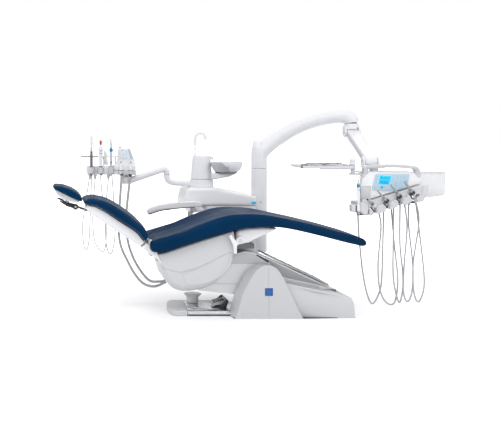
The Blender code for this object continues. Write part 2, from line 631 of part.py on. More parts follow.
# ------------------------------------------------------------------ water unit
# Profiles of turned pieces are radius, z.
UNIT_END = 0.0785                 # x of the unit's +X face
UNIT_COVER_Y = (0.380, 0.720)
UNIT_COVER_WALL = 0.008           # wall on the near and far sides
UNIT_COVER = [(-0.393, 0.608), (-0.392, 0.653), (-0.374, 0.710), (-0.352, 0.722),
              (-0.180, 0.722), (-0.160, 0.713), (-0.028, 0.688), (0.042, 0.674),
              (UNIT_END, 0.664), (UNIT_END, 0.608)]
UNIT_COVER_HOLLOW = [(-0.385, 0.55), (-0.384, 0.652), (-0.368, 0.702), (-0.350, 0.713),
                     (-0.182, 0.713), (-0.028, 0.680), (0.070, 0.657), (0.070, 0.55)]
unit_cover = prism("water_unit_cover", UNIT_COVER, *UNIT_COVER_Y, "white")
bevel(unit_cover, 0.012)
cut(unit_cover, prism("unit_cover_hollow", UNIT_COVER_HOLLOW,
                      UNIT_COVER_Y[0] + UNIT_COVER_WALL, UNIT_COVER_Y[1] - UNIT_COVER_WALL))

# open-topped body under the cover
unit_body = box("water_unit_body", (-0.250, 0.402, 0.300), (UNIT_END, 0.700, 0.6075), "white")
bevel(unit_body, 0.010)
cut(unit_body, box("unit_body_hollow", (-0.243, 0.409, 0.320), (0.071, 0.693, 0.700)))

COLUMN_RADIUS = 0.0525
COLUMN_SEAM = 0.843               # height of the arm's swivel joint
SEAM_INSET = 0.002                # chamfer at the seam, across
SEAM_DROP = 0.003                 # chamfer at the seam, along
COLUMN_LOWER = [(0, COLUMN_SEAM - GAP), (COLUMN_RADIUS - SEAM_INSET, COLUMN_SEAM - GAP),
                (COLUMN_RADIUS, COLUMN_SEAM - SEAM_DROP), (COLUMN_RADIUS, 0.290),
                (COLUMN_RADIUS - 0.006, 0.284), (0, 0.284)]
turned("column_lower", COLUMN_LOWER, COLUMN, "white")

# spittoon: post, tower, bracket and open bowl
TOWER_FOOT = 0.775
POST = [(0, TOWER_FOOT - GAP), (0.042, TOWER_FOOT - GAP), (0.042, 0.7225), (0, 0.7225)]
turned("spittoon_post", POST, TOWER, "steel")

TOWER_PROFILE = [(0, 0.932), (0.054, 0.932), (0.058, 0.928), (0.0600, 0.905),
                 (0.0715, 0.778), (0.0700, TOWER_FOOT), (0, TOWER_FOOT)]
turned("spittoon_tower", TOWER_PROFILE, TOWER, "white")

BOWL_BRACKET = [(-0.2115, 0.778), (-0.190, 0.776), (-0.090, 0.793), (-0.054, 0.812),
                (-0.056, 0.8188), (-0.2115, 0.8188)]
bracket = prism("bowl_bracket", BOWL_BRACKET, 0.392, 0.446, "white")
bevel(bracket, 0.004, 1)

# inner side from the middle up to the rim, then the outer side down to the foot
BOWL_RADIUS = 0.1025
BOWL_PROFILE = [(0, 0.827), (0.064, 0.827), (0.080, 0.840), (0.093, 0.862), (0.0995, 0.889),
                (BOWL_RADIUS, 0.889), (BOWL_RADIUS, 0.882), (0.097, 0.862), (0.084, 0.836),
                (0.068, 0.8192), (0, 0.8192)]
turned("spittoon_bowl", BOWL_PROFILE, BOWL, "ceramic", steps=28)

# bent spout, points x, y, z
FILLER_PATH = [(*FILLER, 0.9325), (*FILLER, 0.990), (*FILLER, 1.040), (-0.298, 0.500, 1.064),
               (-0.283, 0.500, 1.078), (-0.266, 0.500, 1.080), (-0.249, 0.500, 1.074),
               (-0.238, 0.500, 1.060), (-0.236, 0.500, 1.041)]
tube("cup_filler", smooth_path(FILLER_PATH), 0.006, "silver")

# ------------------------------------------------------------------ doctor's arm
# curved arm: a turned root on the column and a bowed tube to the yoke, points x, y, z
ARM_ROOT = [(0, 1.030), (0.026, 1.030), (0.034, 1.022), (0.047, 0.985),
            (COLUMN_RADIUS, 0.940), (COLUMN_RADIUS, COLUMN_SEAM + SEAM_DROP),
            (COLUMN_RADIUS - SEAM_INSET, COLUMN_SEAM + GAP), (0, COLUMN_SEAM + GAP)]
ARM_BOW = [(0.132, 0.550, 0.930), (0.168, 0.550, 0.972), (0.250, 0.549, 1.042),
           (0.350, 0.543, 1.107), (0.450, 0.535, 1.152), (0.550, 0.525, 1.181),
           (0.640, 0.512, 1.194), (0.700, 0.503, 1.192), (0.728, 0.500, 1.178),
           (0.733, 0.500, 1.165)]
BOW_THINNING = 0.10               # share of the radius lost along the bow
arm = turned("curved_arm", ARM_ROOT, COLUMN, "white")
bow = [*smooth_path(ARM_BOW), (*YOKE, 1.1510)]
join(arm, tube("arm_bow", bow, 0.050, res=4,
               scales=[1.0 - BOW_THINNING * i / (len(bow) - 1) for i in range(len(bow))]))

# the yoke and the table bracket grip the height arm between cheeks, outlines y, z
CHEEK_INNER = 0.0400              # distances from the arm's middle
CHEEK_OUTER = 0.0510
PIN_HALF = 0.045


def arm_cheeks(name, outline):
    return prism_pair(name, outline, CHEEK_INNER, CHEEK_OUTER, YOKE[0], "YZ")


def arm_pin(name, pin):
    """A pin along X that joins two cheeks."""
    return rod(name, (YOKE[0] - PIN_HALF, *pin), (YOKE[0] + PIN_HALF, *pin), ARM_PIN_RADIUS,
               sides=PIN_SIDES)


def arm_bore(name, pin):
    return rod(name, (0.6, *pin), (0.9, *pin), ARM_PIN_BORE, sides=PIN_SIDES)


YOKE_CAP = [(0, 1.1450), (0.036, 1.1450), (0.042, 1.141), (0.044, 1.128), (0.052, 1.116),
            (0, 1.116)]
YOKE_CHEEK = [(0.520, 1.122), (0.468, 1.122), *arc(TOP_PIN, 0.026, 160, 400, 8)]
yoke = turned("arm_yoke", YOKE_CAP, YOKE, "white")
join(yoke, *arm_cheeks("yoke_cheek", YOKE_CHEEK), arm_pin("yoke_pin", TOP_PIN))

HEIGHT_ARM_HALF = CHEEK_INNER - 0.001
height_arm = prism("pantograph_arm", capsule(TOP_PIN, LOW_PIN, 0.027, 0.030),
                   YOKE[0] - HEIGHT_ARM_HALF, YOKE[0] + HEIGHT_ARM_HALF, "white", "YZ")
bevel(height_arm, 0.006)
cut(height_arm, arm_bore("arm_bore_top", TOP_PIN), arm_bore("arm_bore_low", LOW_PIN))

# bracket: plate with two cheeks and a swivel post below
BRACKET_CHEEK = [(0.112, 0.870), (0.170, 0.870), *arc(LOW_PIN, 0.026, -30, 210, 8)]
table_bracket = box("table_bracket", (YOKE[0] - CHEEK_OUTER, 0.030, 0.8655),
                    (YOKE[0] + CHEEK_OUTER, 0.172, 0.8745), "white")
join(table_bracket, *arm_cheeks("bracket_cheek", BRACKET_CHEEK),
     arm_pin("bracket_pin", LOW_PIN),
     rod("bracket_post", (*TABLE_AXIS, 0.8465), (*TABLE_AXIS, 0.870), 0.026, sides=20))

# ------------------------------------------------------------------ doctor's table
# body: open below, with a stay that carries the tray
TABLE_BODY = [(0.6053, 0.838), (0.5945, 0.762), (0.5885, 0.690), (0.6514, 0.6835),
              (0.9535, 0.7765), (0.9515, 0.838), (0.940, 0.846), (0.640, 0.846)]
body = prism("table_body", TABLE_BODY, -0.090, 0.120, "white")
bevel(body, 0.008)
cut(body, box("body_hollow", (0.612, -0.083, 0.600), (0.944, 0.113, 0.838)))
join(body, box("tray_stay", (0.560, -0.012, 0.826), (0.625, 0.012, 0.838)))

# lip under the body, with a bored holder for the syringe
SYRINGE_Y = -0.124
LIP_LOW = [(0.6122, 0.594), (0.6849, 0.600), (0.7438, 0.624), (0.8144, 0.6485),
           (0.8989, 0.669), (0.9322, 0.669)]
LIP = [(0.5885, 0.6885), (0.5837, 0.655), *LIP_LOW, (0.9577, 0.6906), (0.9813, 0.7407),
       (0.9545, 0.7750), (0.6514, 0.6820)]
lip = prism("table_lip", LIP, -0.140, 0.050, "grey")
bevel(lip, 0.006, 1)
join(lip, box("syringe_holder", (0.528, -0.142, 0.613), (0.600, -0.090, 0.653)))
cut(lip, rod("syringe_seat", (0.5707, SYRINGE_Y, 0.60), (0.5707, SYRINGE_Y, 0.70), 0.0098,
             sides=PIN_SIDES))

# bowed handle standing on the body, points x, y, z
HANDLE = [(0.6190, -0.070, 0.8550), (0.6230, -0.083, 0.8660), (0.6400, -0.098, 0.8790),
          (0.7050, -0.106, 0.8890), (0.7775, -0.108, 0.8920), (0.8500, -0.106, 0.8880),
          (0.9200, -0.098, 0.8780), (0.9370, -0.083, 0.8660), (0.9400, -0.070, 0.8550)]
tube("table_handle", smooth_path(HANDLE, foot_z=0.8475), 0.011, "silver")

CONTROL_PANEL = [(0.6834, 0.8360), (0.8870, 0.8360), (0.8690, 0.7585), (0.7970, 0.7345),
                 (0.6594, 0.7405)]
prism("control_panel", CONTROL_PANEL, -0.0955, -0.0905, "panel")

viewer = box("viewer_panel", (0.985, 0.060, 0.690), (1.170, 0.068, 0.841), "clear")
bevel(viewer, 0.0035)
join(viewer, box("viewer_arm", (0.9630, 0.061, 0.775), (1.000, 0.0665, 0.800)))


def syringe_button(syringe, pocket_name, button_name, centre, y):
    """Cut a pocket that starts at y into a syringe, and put a button in it."""
    cut(syringe, y_rod(pocket_name, centre, y, y + 0.0145, 0.0042, sides=PIN_SIDES))
    y_rod(button_name, centre, y + 0.004, y + 0.011, 0.0034, "grey", PIN_SIDES)


# stations of held tools are x, z, radius scale
SYRINGE = [(0.5707, 0.622, 0.85), (0.5700, 0.680, 1.0), (0.5672, 0.768, 1.0),
           (0.5685, 0.785, 0.72), (0.5735, 0.806, 0.36), (0.5850, 0.8400, 0.22)]
TABLE_BUTTON = (0.568, 0.745)
table_syringe = held_tool("table_syringe", SYRINGE_Y, SYRINGE, 0.0085, "white")
syringe_button(table_syringe, "syringe_pocket", "table_syringe_button", TABLE_BUTTON, -0.1400)

# tip and tail of each handpiece, x and z
HANDPIECES = [((0.6066, 0.6882), (0.6559, 0.6496)), ((0.6618, 0.7445), (0.7311, 0.6716)),
              ((0.7418, 0.7776), (0.8064, 0.6970)), ((0.8277, 0.7919), (0.8828, 0.7207))]
TIP_Y = -0.170
TAIL_Y = -0.156
HANDPIECE_STATIONS = [0.0, 0.10, 0.30, 0.62, 0.88, 1.0]      # share of the way to the tail
HANDPIECE_SCALES = [0.35, 0.42, 0.60, 0.95, 1.25, 1.15]      # radius scale at each station
for number, (tip, tail) in enumerate(HANDPIECES, 1):
    tip = Vector(on_pivot(tip, TIP_Y))
    tail = Vector(on_pivot(tail, TAIL_Y))
    tube(f"handpiece_{number}", [tip.lerp(tail, share) for share in HANDPIECE_STATIONS],
         0.0095, "silver", HANDPIECE_SCALES, res=3)

# hoses hang in loops from a bulkhead strip under the lip
HOSE_STRIP = [*[(x, z - 0.0050) for x, z in LIP_LOW], (0.950, 0.664), (0.950, 0.652),
              *[(x, z - 0.0170) for x, z in reversed(LIP_LOW)]]
# start x, start z, end x, end z, bottom z, sway along x
LOOPS = [(0.619, 0.583, 0.775, 0.622, 0.052, 0.006), (0.742, 0.612, 0.832, 0.641, 0.046, 0.022),
         (0.829, 0.642, 0.878, 0.654, 0.056, 0.008), (0.893, 0.655, 0.920, 0.656, 0.060, 0.008),
         (0.932, 0.656, 0.945, 0.656, 0.062, 0.045)]
hoses = prism("table_hoses", HOSE_STRIP, -0.015, 0.045, "hose")
for i, (start_x, start_z, end_x, end_z, bottom, sway) in enumerate(LOOPS):
    path = hose_loop((start_x, 0.006, start_z), (end_x, 0.034, end_z), bottom, sway)
    join(hoses, tube(f"loop_{i}", path, 0.0048, res=1))

# ------------------------------------------------------------------ tray
tray_arm = rod("tray_arm", (*TRAY_AXIS, 0.8385), (*TRAY_AXIS, 0.926), 0.012, "white")
join(tray_arm, box("tray_bar", (0.380, -0.014, 0.860), (TRAY_AXIS[0], 0.014, 0.870)))

# dished tray with clipped corners, outline x, y
TRAY = [(0.226, -0.118), (0.238, -0.130), (0.542, -0.130), (0.554, -0.118), (0.554, 0.118),
        (0.542, 0.130), (0.238, 0.130), (0.226, 0.118)]
tray = prism("tray", TRAY, 0.8705, 0.889, "steel", "XY")
cut(tray, box("tray_dish", (0.236, -0.120, 0.8725), (0.544, 0.120, 0.920)))

# ------------------------------------------------------------------ assistant's table
# lower arm: a collar round the spittoon post and a tube that turns up at the elbow
COLLAR_BORE = 0.0446
COLLAR = [(COLLAR_BORE, 0.7735), (0.074, 0.7735), (0.0765, 0.770), (0.0805, 0.730),
          (0.0790, 0.7235), (COLLAR_BORE, 0.7235), (COLLAR_BORE, 0.7735)]
LOWER_BEND = [(-0.325, 0.500, 0.743), (-0.440, 0.500, 0.751), (-0.472, 0.500, 0.757),
              (-0.489, 0.500, 0.772), (*ELBOW, 0.788)]
lower = turned("assistant_arm_lower", COLLAR, TOWER, "white", steps=28)
join(lower, tube("lower_bend", [*smooth_path(LOWER_BEND), (*ELBOW, 0.8062)], 0.0210, res=3))
cut(lower, rod("post_room", (*TOWER, 0.70), (*TOWER, 0.80), COLLAR_BORE, sides=28))

# upper arm: from the elbow down to a hub under the table
UPPER_BEND = [(*ELBOW, 0.824), (-0.505, 0.498, 0.838), (-0.530, 0.493, 0.834),
              (-0.640, 0.474, 0.800), (-0.752, 0.453, 0.763)]
upper = tube("assistant_arm_upper", [(*ELBOW, 0.8078), *smooth_path(UPPER_BEND)], 0.0215,
             "white", res=3)
join(upper, rod("upper_hub", (*ASSIST, 0.748), (*ASSIST, 0.7915), 0.034, sides=20))

assist_bar = box("assistant_bar", (-1.031, 0.422, 0.806), (-0.704, 0.480, 0.865), "white")
bevel(assist_bar, 0.006, 1, 35)
join(assist_bar, rod("bar_post", (*ASSIST, 0.792), (*ASSIST, 0.825), 0.0225, sides=20))
assist_bar.modifiers["edge"].angle_limit = math.radians(35)

ASSIST_PANEL = [(-0.835, 0.8655), (-0.705, 0.8655), (-0.735, 0.977), (-0.820, 0.977)]
panel = prism("assistant_panel", ASSIST_PANEL, 0.426, 0.470, "white")
bevel(panel, 0.006, 1)

# tools standing on the near side of the bar
CANNULA = [(-0.999, 0.800, 1.0), (-0.999, 0.950, 1.0), (-0.999, 0.965, 0.66),
           (-0.999, 1.056, 0.60), (-0.999, 1.060, 0.45)]
held_tool("suction_cannula", 0.404, CANNULA, 0.0105, "grey", res=2)

CURING_LIGHT = [(-0.938, 0.800, 0.75), (-0.938, 0.900, 0.95), (-0.938, 0.970, 1.15),
                (-0.938, 1.000, 0.75), (-0.938, 1.012, 0.42), (-0.938, 1.033, 0.45)]
held_tool("curing_light", 0.403, CURING_LIGHT, 0.0130, "white")

ASSIST_SYRINGE = [(-0.870, 0.800, 0.85), (-0.870, 0.975, 1.0), (-0.870, 0.990, 0.80),
                  (-0.870, 1.006, 0.40), (-0.873, 1.038, 0.22)]
ASSIST_BUTTON = (-0.870, 0.955)
helper = held_tool("assistant_syringe", 0.406, ASSIST_SYRINGE, 0.0085, "white")
syringe_button(helper, "helper_pocket", "assistant_syringe_button", ASSIST_BUTTON, 0.3900)

# thin hose loops: start x, end x, bottom z, sway along x
SMALL_LOOPS = [(-1.006, -0.984, 0.280, -0.034), (-0.968, -0.930, 0.272, 0.012),
               (-0.890, -0.858, 0.258, 0.000)]
small = box("assistant_hoses", (-1.018, 0.428, 0.790), (-0.840, 0.462, 0.8020), "hose")
for i, (start_x, end_x, bottom, sway) in enumerate(SMALL_LOOPS):
    path = hose_loop((start_x, 0.436, 0.796), (end_x, 0.454, 0.796), bottom, sway,
                     power=2.0 + 0.3 * i)
    join(small, tube(f"small_loop_{i}", path, 0.0040, res=1))

# thick hoses that sweep down and back to the chair: start x, extra reach along x
SUCTION_HOSES = [(-0.805, 0.0), (-0.752, 0.052)]
suction = box("suction_hoses", (-0.826, 0.384, 0.775), (-0.738, 0.407, 0.800), "hose")
for i, (x, reach) in enumerate(SUCTION_HOSES):
    path = smooth_path([(x, 0.396, 0.790),
                        (x - 0.010, 0.396, 0.640),
                        (x - 0.014 + 0.3 * reach, 0.396, 0.420),
                        (x + 0.024 + 0.5 * reach, 0.390, 0.260),
                        (x + 0.105 + 0.6 * reach, 0.350, 0.150),
                        (x + 0.215 + 0.3 * reach, 0.300, 0.118 + 0.3 * reach),
                        (-0.520 + reach, 0.270, 0.150 + 0.4 * reach)], per=3)
    join(suction, tube(f"suction_{i}", path, 0.0085, res=1))


# ------------------------------------------------------------------ joints
def joint(name, place, parent, pieces):
    """An empty on the joint's axis that carries its pieces."""
    empty = bpy.data.objects.new(name, None)
    empty.empty_display_size = 0.05
    PART.objects.link(empty)
    empty.location = place
    bpy.context.view_layer.update()
    if parent:
        empty.parent = PART.objects[parent]
        empty.matrix_parent_inverse = empty.parent.matrix_world.inverted()
    bpy.context.view_layer.update()
    for piece in pieces:
        obj = PART.objects[piece]
        obj.parent = empty
        obj.matrix_parent_inverse = empty.matrix_world.inverted()


# name, place, parent joint, pieces carried; parents come first
JOINTS = [
    ("base_origin", (0, 0, 0), None,
     ["base_frame", "lift_pivot_shaft", "base_cover", "foot_plate", "utility_riser",
      "lift_actuator"]),
    ("foot_pedal_axis", on_pivot(PEDAL_PIVOT), "base_origin", ["foot_pedal"]),
    ("lift_axis", on_pivot(LOW_PIVOT), "base_origin", ["lift_arm_beam", "lift_arm_cover"]),
    ("seat_axis", on_pivot(HIGH_PIVOT), "lift_axis",
     ["seat_frame", "seat_bulb_cover", "seat_pan", "seat_cushion", "back_hinge_shaft",
      "water_unit_cover", "water_unit_body", "column_lower", "spittoon_post"]),
    ("spittoon_axis", (*TOWER, TOWER_FOOT), "seat_axis",
     ["spittoon_tower", "bowl_bracket", "spittoon_bowl"]),
    ("cup_filler_axis", (*FILLER, 0.932), "spittoon_axis", ["cup_filler"]),
    ("backrest_axis", on_pivot(BACK_PIVOT), "seat_axis",
     ["backrest_frame", "backrest_shell", "backrest_cushion"]),
    ("headrest_slide_axis", BAR_MID, "backrest_axis", ["headrest_bar"]),
    ("headrest_link_axis", on_pivot(LINK_PIVOT), "headrest_slide_axis", ["headrest_link"]),
    ("headrest_axis", on_pivot(HEAD_PIVOT), "headrest_link_axis",
     ["headrest_shell", "headrest_cushion"]),
    ("headrest_lever_axis", on_pivot(HEAD_PIVOT), "headrest_link_axis", ["headrest_lever"]),
    ("armrest_far_axis", on_pivot(ARMREST_PIVOT, 0.25), "seat_axis", ["armrest_far"]),
    ("armrest_near_axis", on_pivot(ARMREST_PIVOT, -0.25), "seat_axis",
     ["armrest_near_stub"]),
    ("column_axis", (*COLUMN, COLUMN_SEAM), "seat_axis", ["curved_arm"]),
    ("yoke_axis", (*YOKE, 1.151), "column_axis", ["arm_yoke"]),
    ("pantograph_axis", (YOKE[0], *TOP_PIN), "yoke_axis", ["pantograph_arm"]),
    ("table_level_axis", (YOKE[0], *LOW_PIN), "pantograph_axis", ["table_bracket"]),
    ("table_axis", (*TABLE_AXIS, 0.846), "table_level_axis",
     ["table_body", "table_lip", "table_handle", "control_panel", "viewer_panel",
      "table_syringe", "handpiece_1", "handpiece_2", "handpiece_3", "handpiece_4",
      "table_hoses"]),
    ("table_button_axis", on_pivot(TABLE_BUTTON, -0.129), "table_axis",
     ["table_syringe_button"]),
    ("tray_axis", (*TRAY_AXIS, 0.846), "table_axis", ["tray_arm", "tray"]),
    ("assistant_lower_axis", (*TOWER, 0.748), "seat_axis", ["assistant_arm_lower"]),
    ("assistant_upper_axis", (*ELBOW, 0.807), "assistant_lower_axis",
     ["assistant_arm_upper"]),
    ("assistant_table_axis", (*ASSIST, 0.792), "assistant_upper_axis",
     ["assistant_bar", "assistant_panel", "suction_cannula", "curing_light",
      "assistant_syringe", "assistant_hoses", "suction_hoses"]),
    ("assistant_button_axis", on_pivot(ASSIST_BUTTON, 0.401), "assistant_table_axis",
     ["assistant_syringe_button"]),
]
for name, place, parent, pieces in JOINTS:
    joint(name, place, parent, pieces)
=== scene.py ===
"""Looks for the dental treatment unit: shells, upholstery, instruments and hoses
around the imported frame.  Metres, +Z up, the CAD's own frame."""
import json
import math

import bmesh
import bpy
import numpy as np
from mathutils import Matrix, Vector
from mathutils.bvhtree import BVHTree
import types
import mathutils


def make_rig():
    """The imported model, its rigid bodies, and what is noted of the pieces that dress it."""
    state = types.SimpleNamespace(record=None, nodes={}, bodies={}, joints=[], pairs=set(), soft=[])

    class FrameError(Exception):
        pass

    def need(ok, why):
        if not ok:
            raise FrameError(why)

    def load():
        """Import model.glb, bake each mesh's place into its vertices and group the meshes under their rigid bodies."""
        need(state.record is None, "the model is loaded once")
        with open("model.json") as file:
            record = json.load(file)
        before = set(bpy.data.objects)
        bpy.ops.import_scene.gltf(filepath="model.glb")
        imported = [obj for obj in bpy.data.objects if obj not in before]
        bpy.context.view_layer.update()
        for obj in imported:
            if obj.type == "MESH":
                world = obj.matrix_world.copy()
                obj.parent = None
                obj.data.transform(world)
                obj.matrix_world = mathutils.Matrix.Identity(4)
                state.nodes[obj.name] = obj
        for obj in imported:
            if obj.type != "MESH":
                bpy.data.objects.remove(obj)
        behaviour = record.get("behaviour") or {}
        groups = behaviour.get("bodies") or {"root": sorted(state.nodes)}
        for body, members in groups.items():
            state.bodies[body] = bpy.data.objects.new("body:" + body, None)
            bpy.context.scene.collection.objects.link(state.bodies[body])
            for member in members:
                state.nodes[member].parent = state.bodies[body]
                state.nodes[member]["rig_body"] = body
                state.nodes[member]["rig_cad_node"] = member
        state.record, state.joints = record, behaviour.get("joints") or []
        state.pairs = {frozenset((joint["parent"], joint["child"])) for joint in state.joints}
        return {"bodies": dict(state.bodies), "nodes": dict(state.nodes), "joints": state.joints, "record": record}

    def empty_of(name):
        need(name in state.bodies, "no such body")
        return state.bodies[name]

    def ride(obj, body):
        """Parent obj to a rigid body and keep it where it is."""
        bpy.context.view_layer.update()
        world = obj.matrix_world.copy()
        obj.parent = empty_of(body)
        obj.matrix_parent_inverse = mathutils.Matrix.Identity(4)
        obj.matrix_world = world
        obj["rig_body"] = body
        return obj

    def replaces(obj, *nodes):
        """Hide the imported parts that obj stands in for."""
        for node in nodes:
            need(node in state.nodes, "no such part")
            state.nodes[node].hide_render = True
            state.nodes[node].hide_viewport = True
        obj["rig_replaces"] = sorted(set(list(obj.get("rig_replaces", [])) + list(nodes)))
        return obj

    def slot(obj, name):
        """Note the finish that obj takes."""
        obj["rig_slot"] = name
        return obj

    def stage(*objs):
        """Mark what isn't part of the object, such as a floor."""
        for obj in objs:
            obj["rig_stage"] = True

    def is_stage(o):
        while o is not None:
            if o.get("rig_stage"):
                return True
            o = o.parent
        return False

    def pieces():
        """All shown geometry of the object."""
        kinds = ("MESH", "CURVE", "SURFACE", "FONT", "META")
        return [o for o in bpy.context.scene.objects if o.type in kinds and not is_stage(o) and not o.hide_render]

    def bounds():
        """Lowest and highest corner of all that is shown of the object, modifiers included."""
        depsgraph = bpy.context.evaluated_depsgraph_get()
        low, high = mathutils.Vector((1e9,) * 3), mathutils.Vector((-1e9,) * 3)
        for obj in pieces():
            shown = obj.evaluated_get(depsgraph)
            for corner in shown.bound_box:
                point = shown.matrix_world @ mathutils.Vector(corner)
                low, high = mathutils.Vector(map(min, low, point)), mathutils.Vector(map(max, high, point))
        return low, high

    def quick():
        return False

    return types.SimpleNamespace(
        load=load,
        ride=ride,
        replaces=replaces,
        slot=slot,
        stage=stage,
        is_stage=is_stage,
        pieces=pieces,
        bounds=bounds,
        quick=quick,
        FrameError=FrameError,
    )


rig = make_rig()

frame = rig.load()
CAD_BOX = [list(map(float, v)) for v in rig.bounds()]
SCENE = bpy.context.scene


# =====================================================================  materials
class Nodes:
    """A small helper that builds one material's node tree."""

    def __init__(self, name):
        self.mat = bpy.data.materials.new(name)
        self.mat.use_nodes = True
        self.tree = self.mat.node_tree
        self.shader = self.tree.nodes["Principled BSDF"]
        self.coord = self.add("ShaderNodeTexCoord")

    def add(self, kind, **inputs):
        node = self.tree.nodes.new(kind)
        for key, value in inputs.items():
            if key in node.inputs:
                node.inputs[key].default_value = value
            else:
                setattr(node, key, value)
        return node

    def link(self, a, b):
        self.tree.links.new(a, b)

    def set(self, **inputs):
        for key, value in inputs.items():
            self.shader.inputs[key.replace("_", " ")].default_value = value

    def noise(self, scale, detail=3.0, rough=0.5, stretch=None, source="Object"):
        node = self.add("ShaderNodeTexNoise", Scale=scale, Detail=detail, Roughness=rough)
        out = self.coord.outputs[source]
        if stretch:
            mapping = self.add("ShaderNodeMapping", Scale=stretch)
            self.link(out, mapping.inputs["Vector"])
            out = mapping.outputs[0]
        self.link(out, node.inputs["Vector"])
        return node.outputs["Fac"]

    def ramp(self, source, stops):
        node = self.add("ShaderNodeValToRGB")
        ramp = node.color_ramp
        while len(ramp.elements) < len(stops):
            ramp.elements.new(0.5)
        for element, (place, colour) in zip(ramp.elements, stops):
            element.position = place
            element.color = (*colour, 1.0)
        self.link(source, node.inputs["Fac"])
        return node.outputs["Color"]

    def span(self, source, low, high):
        node = self.add("ShaderNodeMapRange")
        node.inputs["To Min"].default_value = low
        node.inputs["To Max"].default_value = high
        self.link(source, node.inputs["Value"])
        return node.outputs["Result"]

    def bump(self, source, strength, distance, before=None):
        node = self.add("ShaderNodeBump", Strength=strength, Distance=distance)
        self.link(source, node.inputs["Height"])
        if before is not None:
            self.link(before, node.inputs["Normal"])
        return node.outputs["Normal"]

    def normal(self, out):
        self.link(out, self.shader.inputs["Normal"])

    def colour(self, out):
        self.link(out, self.shader.inputs["Base Color"])

    def rough(self, out):
        self.link(out, self.shader.inputs["Roughness"])


def tone(rgb, k):
    return tuple(min(1.0, c * k) for c in rgb)


def plastic(name, rgb, rough, vary=0.03, grain=0.02, coat=0.25, soft=0.0015, dust=0.04):
    """Moulded plastic or paint: slow colour drift, a fine skin, handling marks and rounded edges."""
    n = Nodes(name)
    drift = n.noise(3.1, 4.0)
    n.colour(n.ramp(drift, [(0.30, tone(rgb, 1 - vary)), (0.52, rgb), (0.75, tone(rgb, 1 + vary * 0.5))]))
    marks = n.noise(38.0, 6.0, 0.62)
    n.rough(n.span(marks, rough - dust, rough + dust))
    edge = n.add("ShaderNodeBevel", Radius=soft)
    edge.samples = 3
    skin = n.bump(n.noise(900.0, 2.0), grain, 0.0004, edge.outputs[0])
    n.normal(skin)
    n.set(Specular_IOR_Level=0.42, Coat_Weight=coat, Coat_Roughness=0.22)
    return n.mat


def brushed(name, rgb, rough, stretch=(1.0, 60.0, 60.0), metallic=1.0, soft=0.001):
    """Brushed or polished metal, with lines along one axis."""
    n = Nodes(name)
    lines = n.noise(22.0, 5.0, 0.6, stretch)
    cloud = n.noise(7.0, 3.0)
    n.colour(n.ramp(lines, [(0.25, tone(rgb, 0.90)), (0.5, rgb), (0.8, tone(rgb, 1.06))]))
    mixed = n.add("ShaderNodeMath", operation="ADD")
    n.link(n.span(lines, rough * 0.8, rough * 1.15), mixed.inputs[0])
    n.link(n.span(cloud, -0.03, 0.04), mixed.inputs[1])
    n.rough(mixed.outputs[0])
    edge = n.add("ShaderNodeBevel", Radius=soft)
    edge.samples = 3
    n.normal(n.bump(lines, 0.03, 0.0002, edge.outputs[0]))
    n.set(Metallic=metallic)
    return n.mat


def leather(name, rgb):
    """Soft artificial leather: pebble grain, fine creases and a low, patchy sheen."""
    n = Nodes(name)
    slow = n.noise(4.5, 5.0, 0.55)
    base = n.ramp(slow, [(0.28, tone(rgb, 0.86)), (0.50, rgb), (0.74, tone(rgb, 1.14))])
    n.colour(base)
    cells = n.add("ShaderNodeTexVoronoi", Scale=520.0)
    cells.feature = "SMOOTH_F1"
    n.link(n.coord.outputs["Object"], cells.inputs["Vector"])
    fine = n.noise(1500.0, 3.0)
    crease = n.noise(60.0, 6.0, 0.7, (1.0, 0.6, 1.0))
    one = n.bump(cells.outputs["Distance"], 0.22, 0.0009)
    two = n.bump(fine, 0.08, 0.0003, one)
    three = n.bump(crease, 0.07, 0.0022, two)
    n.normal(three)
    n.rough(n.span(n.noise(11.0, 5.0, 0.6), 0.34, 0.47))
    n.set(Specular_IOR_Level=0.09, Coat_Weight=0.012, Coat_Roughness=0.30)
    n.set(Specular_Tint=(0.45, 0.75, 1.0, 1.0))
    return n.mat


def rubber(name, rgb, rough=0.5, rings=0.0):
    """Silicone hose; rings is how many ribs run in each metre of its length."""
    n = Nodes(name)
    cloud = n.noise(30.0, 4.0)
    n.colour(n.ramp(cloud, [(0.3, tone(rgb, 0.9)), (0.55, rgb), (0.8, tone(rgb, 1.08))]))
    n.rough(n.span(cloud, rough - 0.06, rough + 0.08))
    if rings:
        split = n.add("ShaderNodeSeparateXYZ")
        n.link(n.coord.outputs["UV"], split.inputs[0])
        scale = n.add("ShaderNodeMath", operation="MULTIPLY")
        scale.inputs[1].default_value = rings * 2 * math.pi
        n.link(split.outputs["X"], scale.inputs[0])
        wave = n.add("ShaderNodeMath", operation="SINE")
        n.link(scale.outputs[0], wave.inputs[0])
        n.normal(n.bump(wave.outputs[0], 0.35, 0.0006))
    else:
        n.normal(n.bump(n.noise(1300.0, 2.0), 0.05, 0.0003))
    n.set(Specular_IOR_Level=0.35)
    return n.mat


def clear(name, rgb, rough, transmission, alpha_tint=1.0):
    n = Nodes(name)
    cloud = n.noise(6.0, 3.0)
    n.colour(n.ramp(cloud, [(0.3, tone(rgb, 0.97)), (0.7, rgb)]))
    n.rough(n.span(cloud, rough * 0.9, rough * 1.2))
    n.normal(n.bump(n.noise(500.0, 2.0), 0.02, 0.0003))
    n.set(Transmission_Weight=transmission, IOR=1.30, Specular_IOR_Level=0.35)
    return n.mat


def glow(name, rgb, strength, rough=0.2):
    """A backlit film, or a coloured mark or lens given a painted glow."""
    n = Nodes(name)
    cloud = n.noise(60.0, 3.0)
    out = n.ramp(cloud, [(0.3, tone(rgb, 0.93)), (0.7, rgb)])
    n.colour(out)
    n.link(out, n.shader.inputs["Emission Color"])
    n.set(Emission_Strength=strength, Roughness=rough, Coat_Weight=0.3)
    return n.mat


